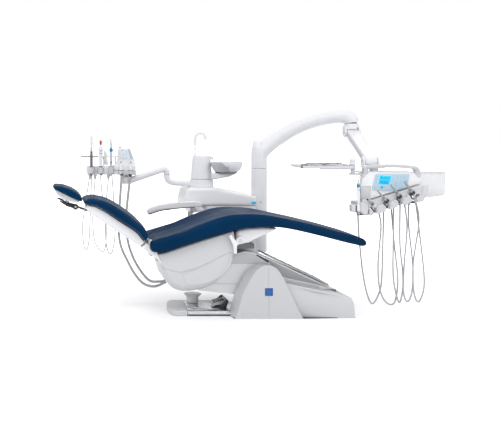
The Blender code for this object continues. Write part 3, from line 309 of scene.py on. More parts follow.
WHITE = plastic("white_shell", (0.82, 0.825, 0.845), 0.34)
PAINT = plastic("white_metal", (0.80, 0.805, 0.83), 0.30, grain=0.012, coat=0.35)
# Darker copies of the white shell for the low base and the seat's bulb: painted shade, as the light falls off towards
# the floor.
HUMP_SHADED_WHITE = plastic("base_shell_painted_shade", (0.56, 0.565, 0.582), 0.36)
BULB_SHADED_WHITE = plastic("seat_shell_painted_shade", (0.60, 0.605, 0.622), 0.34)
LIGHT = plastic("light_grey", (0.60, 0.605, 0.625), 0.40)
GREY = plastic("grey_cover", (0.38, 0.385, 0.40), 0.44, grain=0.05, coat=0.08)
POD = plastic("holder_grey", (0.60, 0.605, 0.62), 0.46, grain=0.04, coat=0.06)
SILVER = plastic("silver_grip", (0.56, 0.565, 0.585), 0.34, grain=0.03, coat=0.2)
ARM_PAINT = plastic("armrest_grey", (0.74, 0.745, 0.765), 0.36, grain=0.03, coat=0.15)
SILVER.node_tree.nodes["Principled BSDF"].inputs["Metallic"].default_value = 0.25
BLACK = plastic("black_part", (0.018, 0.018, 0.020), 0.36, grain=0.03, coat=0.2)
DARK = plastic("dark_gap", (0.07, 0.07, 0.078), 0.55, grain=0.02, coat=0.0)
SEAM = plastic("seam_shadow", (0.30, 0.305, 0.32), 0.60, grain=0.01, coat=0.0)
FRAME = plastic("frame_metal", (0.17, 0.175, 0.19), 0.45, grain=0.05, coat=0.1)
HIDE = leather("upholstery", (0.0, 0.0235, 0.072))
PIPING = leather("upholstery_piping", (0.0006, 0.024, 0.064))
STEEL = brushed("steel", (0.66, 0.67, 0.69), 0.22)
MIRROR = brushed("polished_steel", (0.74, 0.745, 0.76), 0.09, (60.0, 1.0, 60.0))
CHROME = brushed("chrome", (0.70, 0.71, 0.73), 0.07)
TOOL = brushed("instrument", (0.40, 0.405, 0.42), 0.28, (40.0, 40.0, 40.0))
HOSE = rubber("hose", (0.45, 0.455, 0.475), 0.48, 400.0)
THIN = rubber("thin_hose", (0.62, 0.625, 0.64), 0.45, 400.0)
RIBBED = rubber("suction_hose", (0.47, 0.475, 0.49), 0.50)
CERAMIC = plastic("bowl_glass", (0.55, 0.56, 0.58), 0.10, grain=0.0, coat=0.8)
CLEAR = clear("clear_panel", (0.95, 0.96, 0.975), 0.18, 0.62)
FILM = plastic("panel_film", (0.46, 0.60, 0.70), 0.28, grain=0.01, coat=0.5)
BLUE_FILM = plastic("pale_film", (0.66, 0.76, 0.84), 0.28, grain=0.01, coat=0.4)
LCD = glow("display", (0.0, 0.50, 0.86), 0.35)
# The cyan keys, arrows and inlays emit light though nothing lights them: a painted glow.
CYAN_PAINTED_GLOW = glow("cyan_mark_painted_glow", (0.0, 0.42, 0.66), 0.20, 0.35)
TEAL = plastic("cyan_ring", (0.0, 0.22, 0.40), 0.30, coat=0.4)
PLATE = plastic("badge_blue", (0.0, 0.085, 0.33), 0.25, coat=0.6)
AMBER = plastic("amber_tip", (0.55, 0.06, 0.01), 0.22, coat=0.5)
MAGENTA = plastic("magenta_mark", (0.55, 0.01, 0.20), 0.30, coat=0.3)


# =====================================================================  geometry
def vec2(p):
    return Vector((p[0], p[1]))


def fillet(points, radius, n=5):
    """Round the corners of a closed outline; a third value on a point is its own radius."""
    out, m = [], len(points)
    for i, raw in enumerate(points):
        r = raw[2] if len(raw) > 2 else radius
        p, a, b = vec2(raw), vec2(points[i - 1]), vec2(points[(i + 1) % m])
        a, b = a - p, b - p
        la, lb = a.length, b.length
        a, b = a / la, b / lb
        angle = a.angle(b)
        if r <= 0 or angle > math.radians(175):
            out.append(p)
            continue
        t = min(r / math.tan(angle / 2), 0.46 * la, 0.46 * lb)
        p0, p1 = p + a * t, p + b * t
        for k in range(n + 1):
            s = k / n
            out.append((1 - s) ** 2 * p0 + 2 * s * (1 - s) * p + s * s * p1)
    clean = []
    for p in out:
        if not clean or (p - clean[-1]).length > 1e-5:
            clean.append(p)
    if (clean[0] - clean[-1]).length < 1e-5:
        clean.pop()
    return [(p.x, p.y) for p in clean]


def area(points):
    return 0.5 * sum(points[i - 1][0] * points[i][1] - points[i][0] * points[i - 1][1]
                     for i in range(len(points)))


def inset(points, d):
    """Move a closed outline inwards by d; sides too short to survive the move close up to a point."""
    pts = [vec2(p) for p in points]
    if abs(d) < 1e-9:
        return [(p.x, p.y) for p in pts]
    sign, m = (1 if area(points) > 0 else -1), len(pts)
    ways, sides = [], []
    for i in range(m):
        e = (pts[(i + 1) % m] - pts[i]).normalized()
        ways.append(e)
        sides.append(Vector((-e.y, e.x)) * sign)

    def corner(a, b, near):
        cross = ways[a].x * ways[b].y - ways[a].y * ways[b].x
        if abs(cross) < 0.02:
            n = sides[a] + sides[b]
            return near + (n.normalized() if n.length > 1e-6 else sides[a]) * d
        pa, pb = pts[a] + sides[a] * d, pts[b] + sides[b] * d
        t = ((pb.x - pa.x) * ways[b].y - (pb.y - pa.y) * ways[b].x) / cross
        return pa + ways[a] * t

    alive = list(range(m))
    for _ in range(m):
        if len(alive) <= 3:
            break
        count = len(alive)
        spots = [corner(alive[k - 1], alive[k], pts[alive[k]]) for k in range(count)]
        runs = [(spots[(k + 1) % count] - spots[k]).dot(ways[alive[k]]) for k in range(count)]
        doomed = [k for k in range(count) if runs[k] < -1e-7 and runs[k] <= runs[k - 1]
                  and runs[k] <= runs[(k + 1) % count]]
        if not doomed:
            break
        alive = [e for k, e in enumerate(alive) if k not in doomed]
    order = sorted(alive)
    out = []
    for i in range(m):
        after = next((e for e in order if e >= i), order[0])
        before = next((e for e in reversed(order) if e <= i - 1), order[-1])
        if before == after:
            before = order[order.index(after) - 1]
        q = corner(before, after, pts[i])
        out.append((q.x, q.y))
    return out


def shrink(points, d):
    """Scale a closed outline about its middle so that its sides move in by about d."""
    xs, zs = [p[0] for p in points], [p[1] for p in points]
    cx, cz = (min(xs) + max(xs)) / 2, (min(zs) + max(zs)) / 2
    hx, hz = (max(xs) - min(xs)) / 2, (max(zs) - min(zs)) / 2
    return [(cx + (p[0] - cx) * (1 - d / hx), cz + (p[1] - cz) * (1 - d / hz)) for p in points]


def catmull(points, per=6, closed=False):
    pts = [Vector(p) for p in points]
    m = len(pts)
    if closed:
        src = [pts[-1], *pts, pts[0], pts[1]]
        last = m + 1
    else:
        src = [2 * pts[0] - pts[1], *pts, 2 * pts[-1] - pts[-2]]
        last = m
    out = []
    for i in range(1, last):
        p0, p1, p2, p3 = src[i - 1:i + 3]
        for k in range(per):
            t = k / per
            out.append(0.5 * (2 * p1 + (p2 - p0) * t + (2 * p0 - 5 * p1 + 4 * p2 - p3) * t * t
                              + (3 * p1 - p0 - 3 * p2 + p3) * t ** 3))
    if not closed:
        out.append(pts[-1])
    return out


def mesh_of(bm, name):
    bmesh.ops.remove_doubles(bm, verts=bm.verts, dist=2e-6)
    bmesh.ops.dissolve_degenerate(bm, edges=bm.edges, dist=2e-6)
    bmesh.ops.recalc_face_normals(bm, faces=bm.faces)
    me = bpy.data.meshes.new(name)
    bm.to_mesh(me)
    bm.free()
    return me


def finish_piece(name, me, mat, body, slot, stands_for=(), sharp=38.0):
    ob = bpy.data.objects.new(name, me)
    SCENE.collection.objects.link(ob)
    me.materials.clear()
    for one in (mat if isinstance(mat, (list, tuple)) else [mat]):
        me.materials.append(one)
    me.shade_smooth()
    if sharp < 179:
        me.set_sharp_from_angle(angle=math.radians(sharp))
    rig.ride(ob, body)
    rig.slot(ob, slot)
    if stands_for:
        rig.replaces(ob, *stands_for)
    return ob


def loft(rings, caps=(True, True), uv_lengths=None):
    bm = bmesh.new()
    rows = [[bm.verts.new(p) for p in ring] for ring in rings]
    n = len(rows[0])
    layer = bm.loops.layers.uv.new("UVMap") if uv_lengths else None
    for k, (a, b) in enumerate(zip(rows, rows[1:])):
        for i in range(n):
            f = bm.faces.new((a[i], a[(i + 1) % n], b[(i + 1) % n], b[i]))
            if layer:
                v0, v1, u0, u1 = i / n, (i + 1) / n, uv_lengths[k], uv_lengths[k + 1]
                for loop, uv in zip(f.loops, ((u0, v0), (u0, v1), (u1, v1), (u1, v0))):
                    loop[layer].uv = uv
    if caps[0]:
        bm.faces.new(rows[0][::-1])
    if caps[1]:
        bm.faces.new(rows[-1])
    return bm


def place(p, level, plane):
    if plane == "XZ":
        return Vector((p[0], level, p[1]))
    if plane == "YZ":
        return Vector((level, p[0], p[1]))
    return Vector((p[0], p[1], level))


def plate_mesh(name, outline, lo, hi, plane="XZ", rim=0.003, segs=3, rim_hi=None, warp=None,
               method=inset):
    """A slab whose two rims are rounded."""
    rim_hi = rim if rim_hi is None else rim_hi
    rings = []
    for k in range(segs + 1):
        t = k / segs * math.pi / 2
        rings.append([place(p, lo + rim * (1 - math.cos(t)), plane)
                      for p in method(outline, rim * (1 - math.sin(t)))])
    for k in range(segs, -1, -1):
        t = k / segs * math.pi / 2
        rings.append([place(p, hi - rim_hi * (1 - math.cos(t)), plane)
                      for p in method(outline, rim_hi * (1 - math.sin(t)))])
    if warp:
        rings = [[warp(p) for p in ring] for ring in rings]
    return mesh_of(loft(rings), name)


def plate(name, outline, lo, hi, mat, body, slot, plane="XZ", rim=0.003, segs=3, rim_hi=None,
          warp=None, stands_for=(), sharp=38.0, method=inset):
    me = plate_mesh(name, outline, lo, hi, plane, rim, segs, rim_hi, warp, method)
    return finish_piece(name, me, mat, body, slot, stands_for, sharp)


def frames(points):
    """Tangents and two steady normals along a path."""
    pts = [Vector(p) for p in points]
    tangents = []
    for i in range(len(pts)):
        a, b = pts[max(i - 1, 0)], pts[min(i + 1, len(pts) - 1)]
        tangents.append((b - a).normalized())
    start = Vector((0, 0, 1)) if abs(tangents[0].z) < 0.9 else Vector((1, 0, 0))
    u = (start - tangents[0] * start.dot(tangents[0])).normalized()
    out = []
    for i, t in enumerate(tangents):
        u = (u - t * u.dot(t))
        u = u.normalized() if u.length > 1e-6 else t.orthogonal().normalized()
        out.append((pts[i], t, u, t.cross(u)))
    return out


def tube(name, points, radius, mat, body, slot, sides=16, caps=True, round_end=0.0, flat=1.0,
         stands_for=(), sharp=50.0):
    """A round tube along points; radius is a number or one value for each point; flat squeezes it."""
    radii = [radius] * len(points) if isinstance(radius, (int, float)) else list(radius)
    rows, lengths, travel, before = [], [], 0.0, None
    data = frames(points)
    extra = []
    for (p, t, u, w), r in zip(data, radii):
        extra.append((p, t, u, w, r))
    if round_end > 0:
        p, t, u, w, r = extra[0]
        head = [(p - t * (r * round_end * math.cos(a)), t, u, w, r * math.sin(a))
                for a in (0.25, 0.6, 0.95, 1.25)]
        p, t, u, w, r = extra[-1]
        tail = [(p + t * (r * round_end * math.cos(a)), t, u, w, r * math.sin(a))
                for a in (1.25, 0.95, 0.6, 0.25)]
        extra = head + extra + tail
    for p, t, u, w, r in extra:
        if before is not None:
            travel += (p - before).length
        before = p
        lengths.append(travel)
        rows.append([p + u * (r * math.cos(2 * math.pi * i / sides))
                     + w * (r * flat * math.sin(2 * math.pi * i / sides)) for i in range(sides)])
    me = mesh_of(loft(rows, (caps, caps), lengths), name)
    return finish_piece(name, me, mat, body, slot, stands_for, sharp)


def lathe(name, profile, origin, mat, body, slot, axis=(0, 0, 1), steps=56, stands_for=(), sharp=38.0):
    """A turned shape: profile is (radius, height) from one end to the other."""
    turn = Vector((0, 0, 1)).rotation_difference(Vector(axis)).to_matrix()
    origin = Vector(origin)
    bm = bmesh.new()
    rows = []
    for r, z in profile:
        if r < 1e-6:
            rows.append([bm.verts.new(origin + turn @ Vector((0, 0, z)))])
        else:
            rows.append([bm.verts.new(origin + turn @ Vector((r * math.cos(2 * math.pi * i / steps),
                                                              r * math.sin(2 * math.pi * i / steps), z)))
                         for i in range(steps)])
    closed = len(rows[0]) > 1 and len(rows[-1]) > 1
    pairs = list(zip(rows, rows[1:])) + ([(rows[-1], rows[0])] if closed else [])
    for a, b in pairs:
        for i in range(steps):
            j = (i + 1) % steps
            if len(a) == 1 and len(b) == 1:
                continue
            if len(a) == 1:
                bm.faces.new((a[0], b[j], b[i]))
            elif len(b) == 1:
                bm.faces.new((a[i], a[j], b[0]))
            else:
                bm.faces.new((a[i], a[j], b[j], b[i]))
    return finish_piece(name, mesh_of(bm, name), mat, body, slot, stands_for, sharp)


def soft_profile(points, radius, n=4):
    """A turned profile with rounded corners; its two ends stay where they are."""
    out = [vec2(points[0])]
    for i in range(1, len(points) - 1):
        r = points[i][2] if len(points[i]) > 2 else radius
        p, a, b = vec2(points[i]), vec2(points[i - 1]), vec2(points[i + 1])
        a, b = a - p, b - p
        la, lb = a.length, b.length
        if la < 1e-7 or lb < 1e-7:
            continue
        a, b = a / la, b / lb
        angle = a.angle(b)
        if r <= 0 or angle > math.radians(176):
            out.append(p)
            continue
        t = min(r / math.tan(angle / 2), 0.46 * la, 0.46 * lb)
        p0, p1 = p + a * t, p + b * t
        for k in range(n + 1):
            s = k / n
            out.append((1 - s) ** 2 * p0 + 2 * s * (1 - s) * p + s * s * p1)
    out.append(vec2(points[-1]))
    return [(p.x, p.y) for p in out]


def refined(node, mat, slot, width=0.0025, segments=3, angle=32.0, name=None):
    """The CAD shape with its edges rounded, riding where the CAD node rides."""
    source = frame["nodes"][node]
    bm = bmesh.new()
    bm.from_mesh(source.data)
    bmesh.ops.remove_doubles(bm, verts=bm.verts, dist=0.00003)
    bmesh.ops.dissolve_limit(bm, angle_limit=math.radians(1.0), verts=bm.verts, edges=bm.edges)
    bmesh.ops.recalc_face_normals(bm, faces=bm.faces)
    me = bpy.data.meshes.new(name or node + "_form")
    bm.to_mesh(me)
    bm.free()
    ob = finish_piece(name or node + "_form", me, mat, source["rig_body"], slot, (node,), angle)
    mod = ob.modifiers.new("edge", "BEVEL")
    mod.width = width
    mod.segments = segments
    mod.limit_method = "ANGLE"
    mod.angle_limit = math.radians(angle)
    mod.harden_normals = True
    return ob


def finish_cad(node, mat):
    """A CAD node that stays as it is, with its own finish."""
    me = frame["nodes"][node].data
    me.materials.clear()
    me.materials.append(mat)


def surface_tree(ob):
    bpy.context.view_layer.update()
    graph = bpy.context.evaluated_depsgraph_get()
    return BVHTree.FromObject(ob, graph)


def drop(tree, point, direction, lift=0.0):
    """Where a line from point along direction meets a surface, or the point itself."""
    direction = Vector(direction).normalized()
    hit, _, _, _ = tree.ray_cast(Vector(point) - direction * 0.5, direction)
    return (hit if hit is not None else Vector(point)) - direction * lift


def nearest(tree, point, lift=0.0):
    hit, normal, _, _ = tree.find_nearest(Vector(point))
    return hit + normal * lift


def line(name, points, body, slot, mat=None, r=0.0012, sides=6):
    return tube(name, points, r, mat or SEAM, body, slot, sides=sides)


def disc(name, centre, axis, r, depth, mat, body, slot, steps=32, rim=None):
    """A low round cap or button with a rounded rim; centre is its base."""
    rim = min(r, depth) * 0.35 if rim is None else rim
    return lathe(name, soft_profile([(0, 0), (r, 0), (r, depth, rim), (0, depth)], 0.0), centre, mat,
                 body, slot, axis=axis, steps=steps)


def screw_head(name, centre, axis, r, body, mat=None):
    """A socket screw: a crowned head with a hexagonal recess."""
    profile = soft_profile([(0, 0.0), (r, 0.0), (r, r * 0.45, r * 0.25), (r * 0.52, r * 0.50, 0),
                            (r * 0.48, r * 0.15, 0), (0, r * 0.15)], 0.0)
    return lathe(name, profile, centre, mat or STEEL, body, "steel", axis=axis, steps=18)


def weighted(ob):
    mod = ob.modifiers.new("normals", "WEIGHTED_NORMAL")
    mod.keep_sharp = True
    return ob


# =====================================================================  base
BACK_PIVOT = (-0.677, 0.437)
HUMP_TOP = catmull([(-0.186, 0.012, 0), (-0.148, 0.136, 0), (-0.122, 0.192, 0), (-0.097, 0.239, 0),
                    (-0.063, 0.284, 0), (-0.020, 0.309, 0), (0.022, 0.309, 0), (0.060, 0.285, 0),
                    (0.092, 0.236, 0), (0.117, 0.187, 0), (0.159, 0.095, 0), (0.200, 0.012, 0)], 5)
HUMP_LINE = [(-0.193, -0.010), *[(p.x, p.y) for p in HUMP_TOP], (0.209, -0.010)]


def hump_warp(p):
    k = min(max((p.y + 0.250) / 0.116, 0.0), 1.0)
    left = min(max((0.010 - p.x) / 0.100, 0.0), 1.0)
    return Vector((p.x - 0.022 * k * left, p.y, max(p.z, 0.0)))


# The hump takes the darker white copy: painted shade low on the base.
hump = plate("base_hump", HUMP_LINE, -0.250, -0.1335, HUMP_SHADED_WHITE, "base", "white_shell", rim=0.009, segs=5,
             rim_hi=0.004, warp=hump_warp, stands_for=("base_cover",), sharp=40)
DECK = [(0.060, -0.010), (0.060, 0.207), (0.118, 0.198), (0.230, 0.177), (0.330, 0.158), (0.398, 0.148),
        (0.459, 0.131, 0.03), (0.494, 0.117, 0.02), (0.511, 0.079, 0.05), (0.519, -0.010)]


def deck_warp(p):
    y = p.y
    if y < -0.135:
        bend = min(max((0.300 - p.x) / 0.170, 0.0), 1.0)
        y += 0.030 * bend * bend * (3 - 2 * bend) * min((-0.135 - y) / 0.09, 1.0)
    return Vector((p.x, y, max(p.z, 0.0)))


def along_x(points, step=0.02):
    """Split long sides so that a bend has points to work with."""
    out = []
    for i, p in enumerate(points):
        a, b = vec2(points[i - 1]), vec2(p)
        n = max(1, int((b - a).length / step))
        out += [tuple(a.lerp(b, k / n)) for k in range(n)]
    return out


deck_line = along_x(fillet(DECK, 0.004, 4))
# The near deck face takes the darker white copy: painted shade low on the base.
plate("base_deck_near", deck_line, -0.228, -0.1335, BULB_SHADED_WHITE, "base", "white_shell", rim=0.011, segs=5,
      rim_hi=0.004, warp=deck_warp)
END = [(0.4635, -0.010), (0.4635, 0.129), (0.494, 0.117, 0.02), (0.511, 0.079, 0.05), (0.519, -0.010)]
plate("base_deck_end", fillet(END, 0.003, 4), -0.1330, 0.1330, WHITE, "base", "white_shell", rim=0.0015,
      segs=2, warp=lambda p: Vector((p.x, p.y, max(p.z, 0.0))))
FAR = [(-0.085, -0.010), (-0.085, 0.1875, 0.03), (0.118, 0.1885, 0.05), (0.230, 0.177), (0.330, 0.158),
       (0.398, 0.148), (0.459, 0.131, 0.03), (0.494, 0.117, 0.02), (0.511, 0.079, 0.05), (0.519, -0.010)]
plate("base_deck_far", fillet(FAR, 0.004, 4), 0.1335, 0.250, WHITE, "base", "white_shell", rim=0.004,
      segs=5, rim_hi=0.016, warp=lambda p: Vector((p.x, p.y, max(p.z, 0.0))))
line("base_hump_seam", [(0.004, -0.2502, z) for z in np.linspace(0.012, 0.296, 12)], "base", "white_shell",
     r=0.0007)
plate("base_badge_rim", fillet([(-0.0215, 0.1315), (0.0305, 0.1315), (0.0305, 0.1825), (-0.0215, 0.1825)],
                               0.004, 4), -0.2508, -0.2496, LIGHT, "base", "white_shell", rim=0.0004, segs=2)
plate("base_badge_plate", fillet([(-0.0190, 0.1340), (0.0280, 0.1340), (0.0280, 0.1800), (-0.0190, 0.1800)],
                                 0.003, 4), -0.2520, -0.2500, PLATE, "base", "white_shell", rim=0.0007,
      segs=3)
for i, (x, z) in enumerate([(-0.150, 0.030), (0.165, 0.030)]):
    screw_head(f"base_screw_{i}", (x, -0.2500, z), (0, -1, 0), 0.0042, "base")
plate("base_floor_gasket", fillet([(-0.208, -0.1300), (-0.196, -0.2440), (0.200, -0.2440), (0.516, -0.2200),
                                   (0.516, 0.2440), (-0.080, 0.2440), (-0.080, 0.1320), (0.455, 0.1320),
                                   (0.455, -0.1300)], 0.006, 3), 0.0, 0.004, BLACK, "base", "black_part",
      plane="XY", rim=0.0008, segs=2)

weighted(refined("base_frame", FRAME, "frame_metal", 0.0015, 2))
finish_cad("lift_pivot_shaft", STEEL)
lathe("lift_drive", soft_profile([(0, -0.006), (0.020, -0.006), (0.0245, 0.0), (0.0245, 0.190), (0.019, 0.196),
                                  (0.019, 0.206), (0.0105, 0.206), (0.0100, 0.300), (0, 0.300)], 0.0015),
      (-0.046, 0, 0.0462), FRAME, "base", "frame_metal", axis=(0.200, 0, 0.006), steps=40,
      stands_for=("lift_actuator",))

# foot plate: pressed steel top, edge trim and a moulded end cap
PLAN = [(-0.535, -0.170), (-0.194, -0.170), (-0.194, -0.1265), (-0.0955, -0.1265), (-0.0955, 0.1260),
        (-0.194, 0.126), (-0.194, 0.180), (-0.512, 0.180, 0.02), (-0.538, 0.130), (-0.552, 0.060), (-0.557, 0.0),
        (-0.555, -0.080), (-0.548, -0.140)]
TOP_PLAN = [(-0.4560, -0.168), (-0.196, -0.168), (-0.196, -0.1270), (-0.0970, -0.1270), (-0.0970, 0.1250),
            (-0.196, 0.125), (-0.196, 0.178), (-0.4310, 0.178)]
plate("foot_plate_top", fillet(TOP_PLAN, 0.0015, 2), 0.0135, 0.0300, MIRROR, "base", "steel", plane="XY",
      rim=0.0012, segs=3, stands_for=("foot_plate",))
plate("foot_plate_core", fillet([(x + (0.004 if x < -0.3 else -0.004 if x > -0.15 else 0), y * 0.985)
                                 for x, y, *_ in PLAN], 0.004, 3), 0.0, 0.0130, DARK, "base", "steel",
      plane="XY", rim=0.001, segs=2)
CAP_PLAN = [(-0.4575, -0.1700), (-0.535, -0.1700, 0.008), (-0.548, -0.140), (-0.555, -0.080), (-0.557, 0.0),
            (-0.552, 0.060), (-0.538, 0.130), (-0.512, 0.180, 0.02), (-0.4325, 0.1800)]
plate("foot_plate_end_cap", fillet(CAP_PLAN, 0.004, 4)[::-1], 0.0012, 0.0312, LIGHT, "base", "grey_cover",
      plane="XY", rim=0.0022, segs=4, rim_hi=0.0035)
tube("foot_plate_trim", [(-0.4550, -0.1715, 0.0150), (-0.330, -0.1715, 0.0150), (-0.1960, -0.1715, 0.0150)],
     0.0052, CHROME, "base", "steel", sides=14, flat=0.35)
plate("foot_plate_tread", fillet([(-0.430, -0.120), (-0.330, -0.120), (-0.330, 0.060), (-0.415, 0.060)],
                                 0.008, 4), 0.0296, 0.0312, MIRROR, "base", "steel", plane="XY", rim=0.0006,
      segs=2)
lathe("utility_riser_form", soft_profile([(0, 0.0885), (0.046, 0.0885), (0.0560, 0.0845, 0.003),
                                          (0.0400, 0.070, 0.010), (0.0365, 0.060, 0.01), (0.0365, 0.0318),
                                          (0, 0.0318)], 0.002, 5),
      (-0.385, 0.100, 0), WHITE, "base", "white_shell", stands_for=("utility_riser",))
weighted(refined("foot_pedal", SILVER, "grey_cover", 0.0012, 3, 25))
for i in range(5):
    plate(f"foot_pedal_pad_{i}", fillet([(-0.276 + 0.0125 * i, -0.046), (-0.2685 + 0.0125 * i, -0.046),
                                         (-0.2685 + 0.0125 * i, 0.046), (-0.276 + 0.0125 * i, 0.046)], 0.002, 3),
          0.0, 0.0035, BLACK, "pedal", "black_part", plane="XY", rim=0.001, segs=2,
          warp=lambda p: Vector((p.x, p.y, p.z + 0.0550 + (p.x + 0.276) * 0.30)))
for i, y in enumerate((-0.090, 0.085)):
    plate(f"pedal_guard_{i}", fillet([(-0.212, 0.0305), (-0.262, 0.0305), (-0.246, 0.050), (-0.214, 0.078),
                                      (-0.198, 0.080)], 0.004, 3), y, y + 0.006, BLACK, "base", "black_part",
          rim=0.0012, segs=2)
tube("pedal_cross_bar", [(-0.205, -0.088, 0.0775), (-0.205, 0.0, 0.0775), (-0.205, 0.090, 0.0775)], 0.0038,
     BLACK, "base", "black_part", sides=12)

# =====================================================================  lift arm
weighted(refined("lift_arm_beam", WHITE, "white_metal", 0.004, 4, 28))
weighted(refined("lift_arm_cover", GREY, "grey_cover", 0.002, 3, 28))
for tag, ya, yb in (("near", -0.1068, -0.1052), ("far", 0.1052, 0.1068)):
    plate(f"arm_panel_upper_{tag}", fillet([(-0.3550, 0.3030), (-0.2300, 0.3320), (-0.1650, 0.3530),
                                            (-0.1030, 0.3690, 0.05), (-0.0510, 0.3610, 0.03), (0.002, 0.338),
                                            (0.040, 0.300, 0.003), (-0.300, 0.2995)], 0.004, 6), ya, yb, LIGHT,
          "lift_arm", "white_metal", rim=0.0006, segs=2)
    plate(f"arm_panel_side_{tag}", fillet([(0.046, 0.3010), (0.006, 0.3385), (0.4080, 0.1520), (0.3420, 0.1735),
                                           (0.145, 0.2150), (0.052, 0.2560)], 0.003, 3), ya, yb, GREY,
          "lift_arm", "grey_cover", rim=0.0006, segs=2)
    plate(f"arm_panel_lower_{tag}", fillet([(0.052, 0.2520), (0.145, 0.2105), (0.3420, 0.1690), (0.3300, 0.1150),
                                            (0.160, 0.1800), (0.052, 0.1880)], 0.003, 3), ya, yb, POD,
          "lift_arm", "grey_cover", rim=0.0006, segs=2)
    side = -0.1058 if tag == "near" else 0.1058
    line(f"arm_panel_line_{tag}", [(x, side, 0.1810 - (x + 0.244) * 0.02) for x in np.linspace(-0.300, 0.040, 8)],
         "lift_arm", "white_metal", r=0.0008)
    plate(f"arm_gap_{tag}", fillet([(-0.040, 0.3520), (-0.030, 0.3545), (0.040, 0.3170), (0.034, 0.3060)],
                                   0.002, 3), ya - 0.0006, yb + 0.0006, BLACK, "lift_arm", "black_part",
          rim=0.0005, segs=2)
for i in range(7):
    s = 0.075 + 0.052 * i
    x, z = 0.4225 - 0.9013 * s, 0.154 + 0.4333 * s
    tube(f"arm_cover_rib_{i}", [(x, -0.100, z + 0.0125), (x, 0.0, z + 0.0125), (x, 0.100, z + 0.0125)], 0.0022,
         GREY, "lift_arm", "grey_cover", sides=10, round_end=1.0)

# =====================================================================  seat underside
weighted(refined("seat_frame", FRAME, "frame_metal", 0.0012, 2))
finish_cad("back_hinge_shaft", STEEL)
BULB = [(-0.640, 0.366, 0.008), (-0.630, 0.330), (-0.612, 0.279), (-0.588, 0.208), (-0.545, 0.163), (-0.491, 0.1475),
        (-0.440, 0.149), (-0.371, 0.162), (-0.310, 0.188), (-0.258, 0.231), (-0.208, 0.299), (-0.183, 0.377),
        (-0.180, 0.430, 0.01), (-0.192, 0.5085, 0.006), (-0.234, 0.4965), (-0.362, 0.4585), (-0.490, 0.4165),
        (-0.601, 0.3785)]
bulb_line = along_x(fillet(BULB, 0.09, 7), 0.012)


def bulb_warp(p):
    """The bowl draws in towards its floor, and its two sides are softly crowned."""
    low = min(max((0.300 - p.z) / 0.155, 0.0), 1.0)
    pull = 1.0 - 0.10 * low * low
    return Vector((p.x, p.y * pull, p.z))


# The bulb, its band and its side caps take the darker white copy: painted shade under the seat.
bulb = plate("seat_bulb_form", bulb_line, -0.214, 0.214, BULB_SHADED_WHITE, "seat", "white_shell", rim=0.040, segs=8,
             warp=bulb_warp, stands_for=("seat_bulb_cover",), method=shrink, sharp=60)
BAND = [(-0.6440, 0.3720, 0.004), (-0.6310, 0.3320), (-0.6160, 0.2960, 0.02), (-0.5633, 0.2728, 0.05),
        (-0.5088, 0.2630, 0.06), (-0.4167, 0.2836, 0.08), (-0.3299, 0.3218), (-0.2537, 0.3620),
        (-0.1880, 0.3880, 0.012), (-0.1795, 0.4300, 0.02), (-0.1930, 0.5090, 0.004), (-0.234, 0.4970),
        (-0.362, 0.4590), (-0.490, 0.4170), (-0.601, 0.3790)]
plate("seat_bulb_band", fillet(BAND, 0.03, 6), -0.2185, 0.2185, BULB_SHADED_WHITE, "seat", "white_shell", rim=0.012, segs=6)
CAP = [(-0.1985, 0.3790, 0.02), (-0.1990, 0.3270, 0.05), (-0.2214, 0.2836, 0.08), (-0.2648, 0.2402, 0.08),
       (-0.3299, 0.2050, 0.08), (-0.4100, 0.1860, 0.06), (-0.4710, 0.1890, 0.015), (-0.4960, 0.2560, 0.015),
       (-0.4167, 0.2760, 0.08), (-0.3299, 0.3140), (-0.2537, 0.3540)]
for tag, ya, yb in (("near", -0.2090, -0.1800), ("far", 0.1800, 0.2090)):
    plate(f"seat_bulb_side_cap_{tag}", fillet(CAP, 0.03, 6), ya, yb, BULB_SHADED_WHITE, "seat", "white_shell", rim=0.007,
          segs=5, rim_hi=0.007)
for i, (x, z) in enumerate([(-0.372, 0.4125), (-0.3080, 0.3600)]):
    disc(f"seat_bulb_screw_{i}", (x, -0.2182 + 0.0 * i, z), (0, -1, 0), 0.0034, 0.0012, LIGHT, "seat",
         "grey_cover", steps=18)
HINGE = [(-0.7380, 0.4135, 0.002), (-0.7120, 0.4335, 0.003), (-0.6900, 0.4300, 0.008), (-0.6650, 0.4080, 0.006),
         (-0.6450, 0.3860, 0.01), (-0.6300, 0.3500, 0.02), (-0.6120, 0.3100, 0.004), (-0.6413, 0.3385), (-0.6900, 0.3770)]
plate("seat_hinge_cover", fillet(HINGE, 0.01, 4), -0.2265, 0.2265, WHITE, "seat", "white_shell", rim=0.004,
      segs=4, method=inset)
for tag, y in (("near", -0.2255), ("far", 0.1660)):
    lathe(f"seat_hinge_barrel_{tag}", [(0, 0.0), (0.0148, 0.0), (0.0160, 0.0012), (0.0160, 0.0583), (0.0148, 0.0595), (0, 0.0595)],
          (BACK_PIVOT[0], y, BACK_PIVOT[1]), WHITE, "seat", "white_shell", axis=(0, 1, 0), steps=48)
plate("seat_hinge_gap", fillet([(-0.6360, 0.3345), (-0.6445, 0.3425), (-0.6535, 0.3500), (-0.6525, 0.3460),
                                (-0.6440, 0.3385), (-0.6350, 0.3310)], 0.0005, 2), -0.2280, -0.190, BLACK,
      "seat", "black_part", rim=0.0005, segs=2)
PAN = [(-0.178, 0.424, 0.004), (-0.104, 0.4385, 0.05), (-0.030, 0.4740, 0.06), (0.052, 0.5120, 0.02), (0.064, 0.5245, 0.004),
       (-0.020, 0.5300), (-0.106, 0.5250), (-0.176, 0.5130)]
plate("seat_pan_form", fillet(PAN, 0.03, 6), -0.2165, 0.2165, WHITE, "seat", "white_shell", rim=0.018, segs=6,
      stands_for=("seat_pan",))
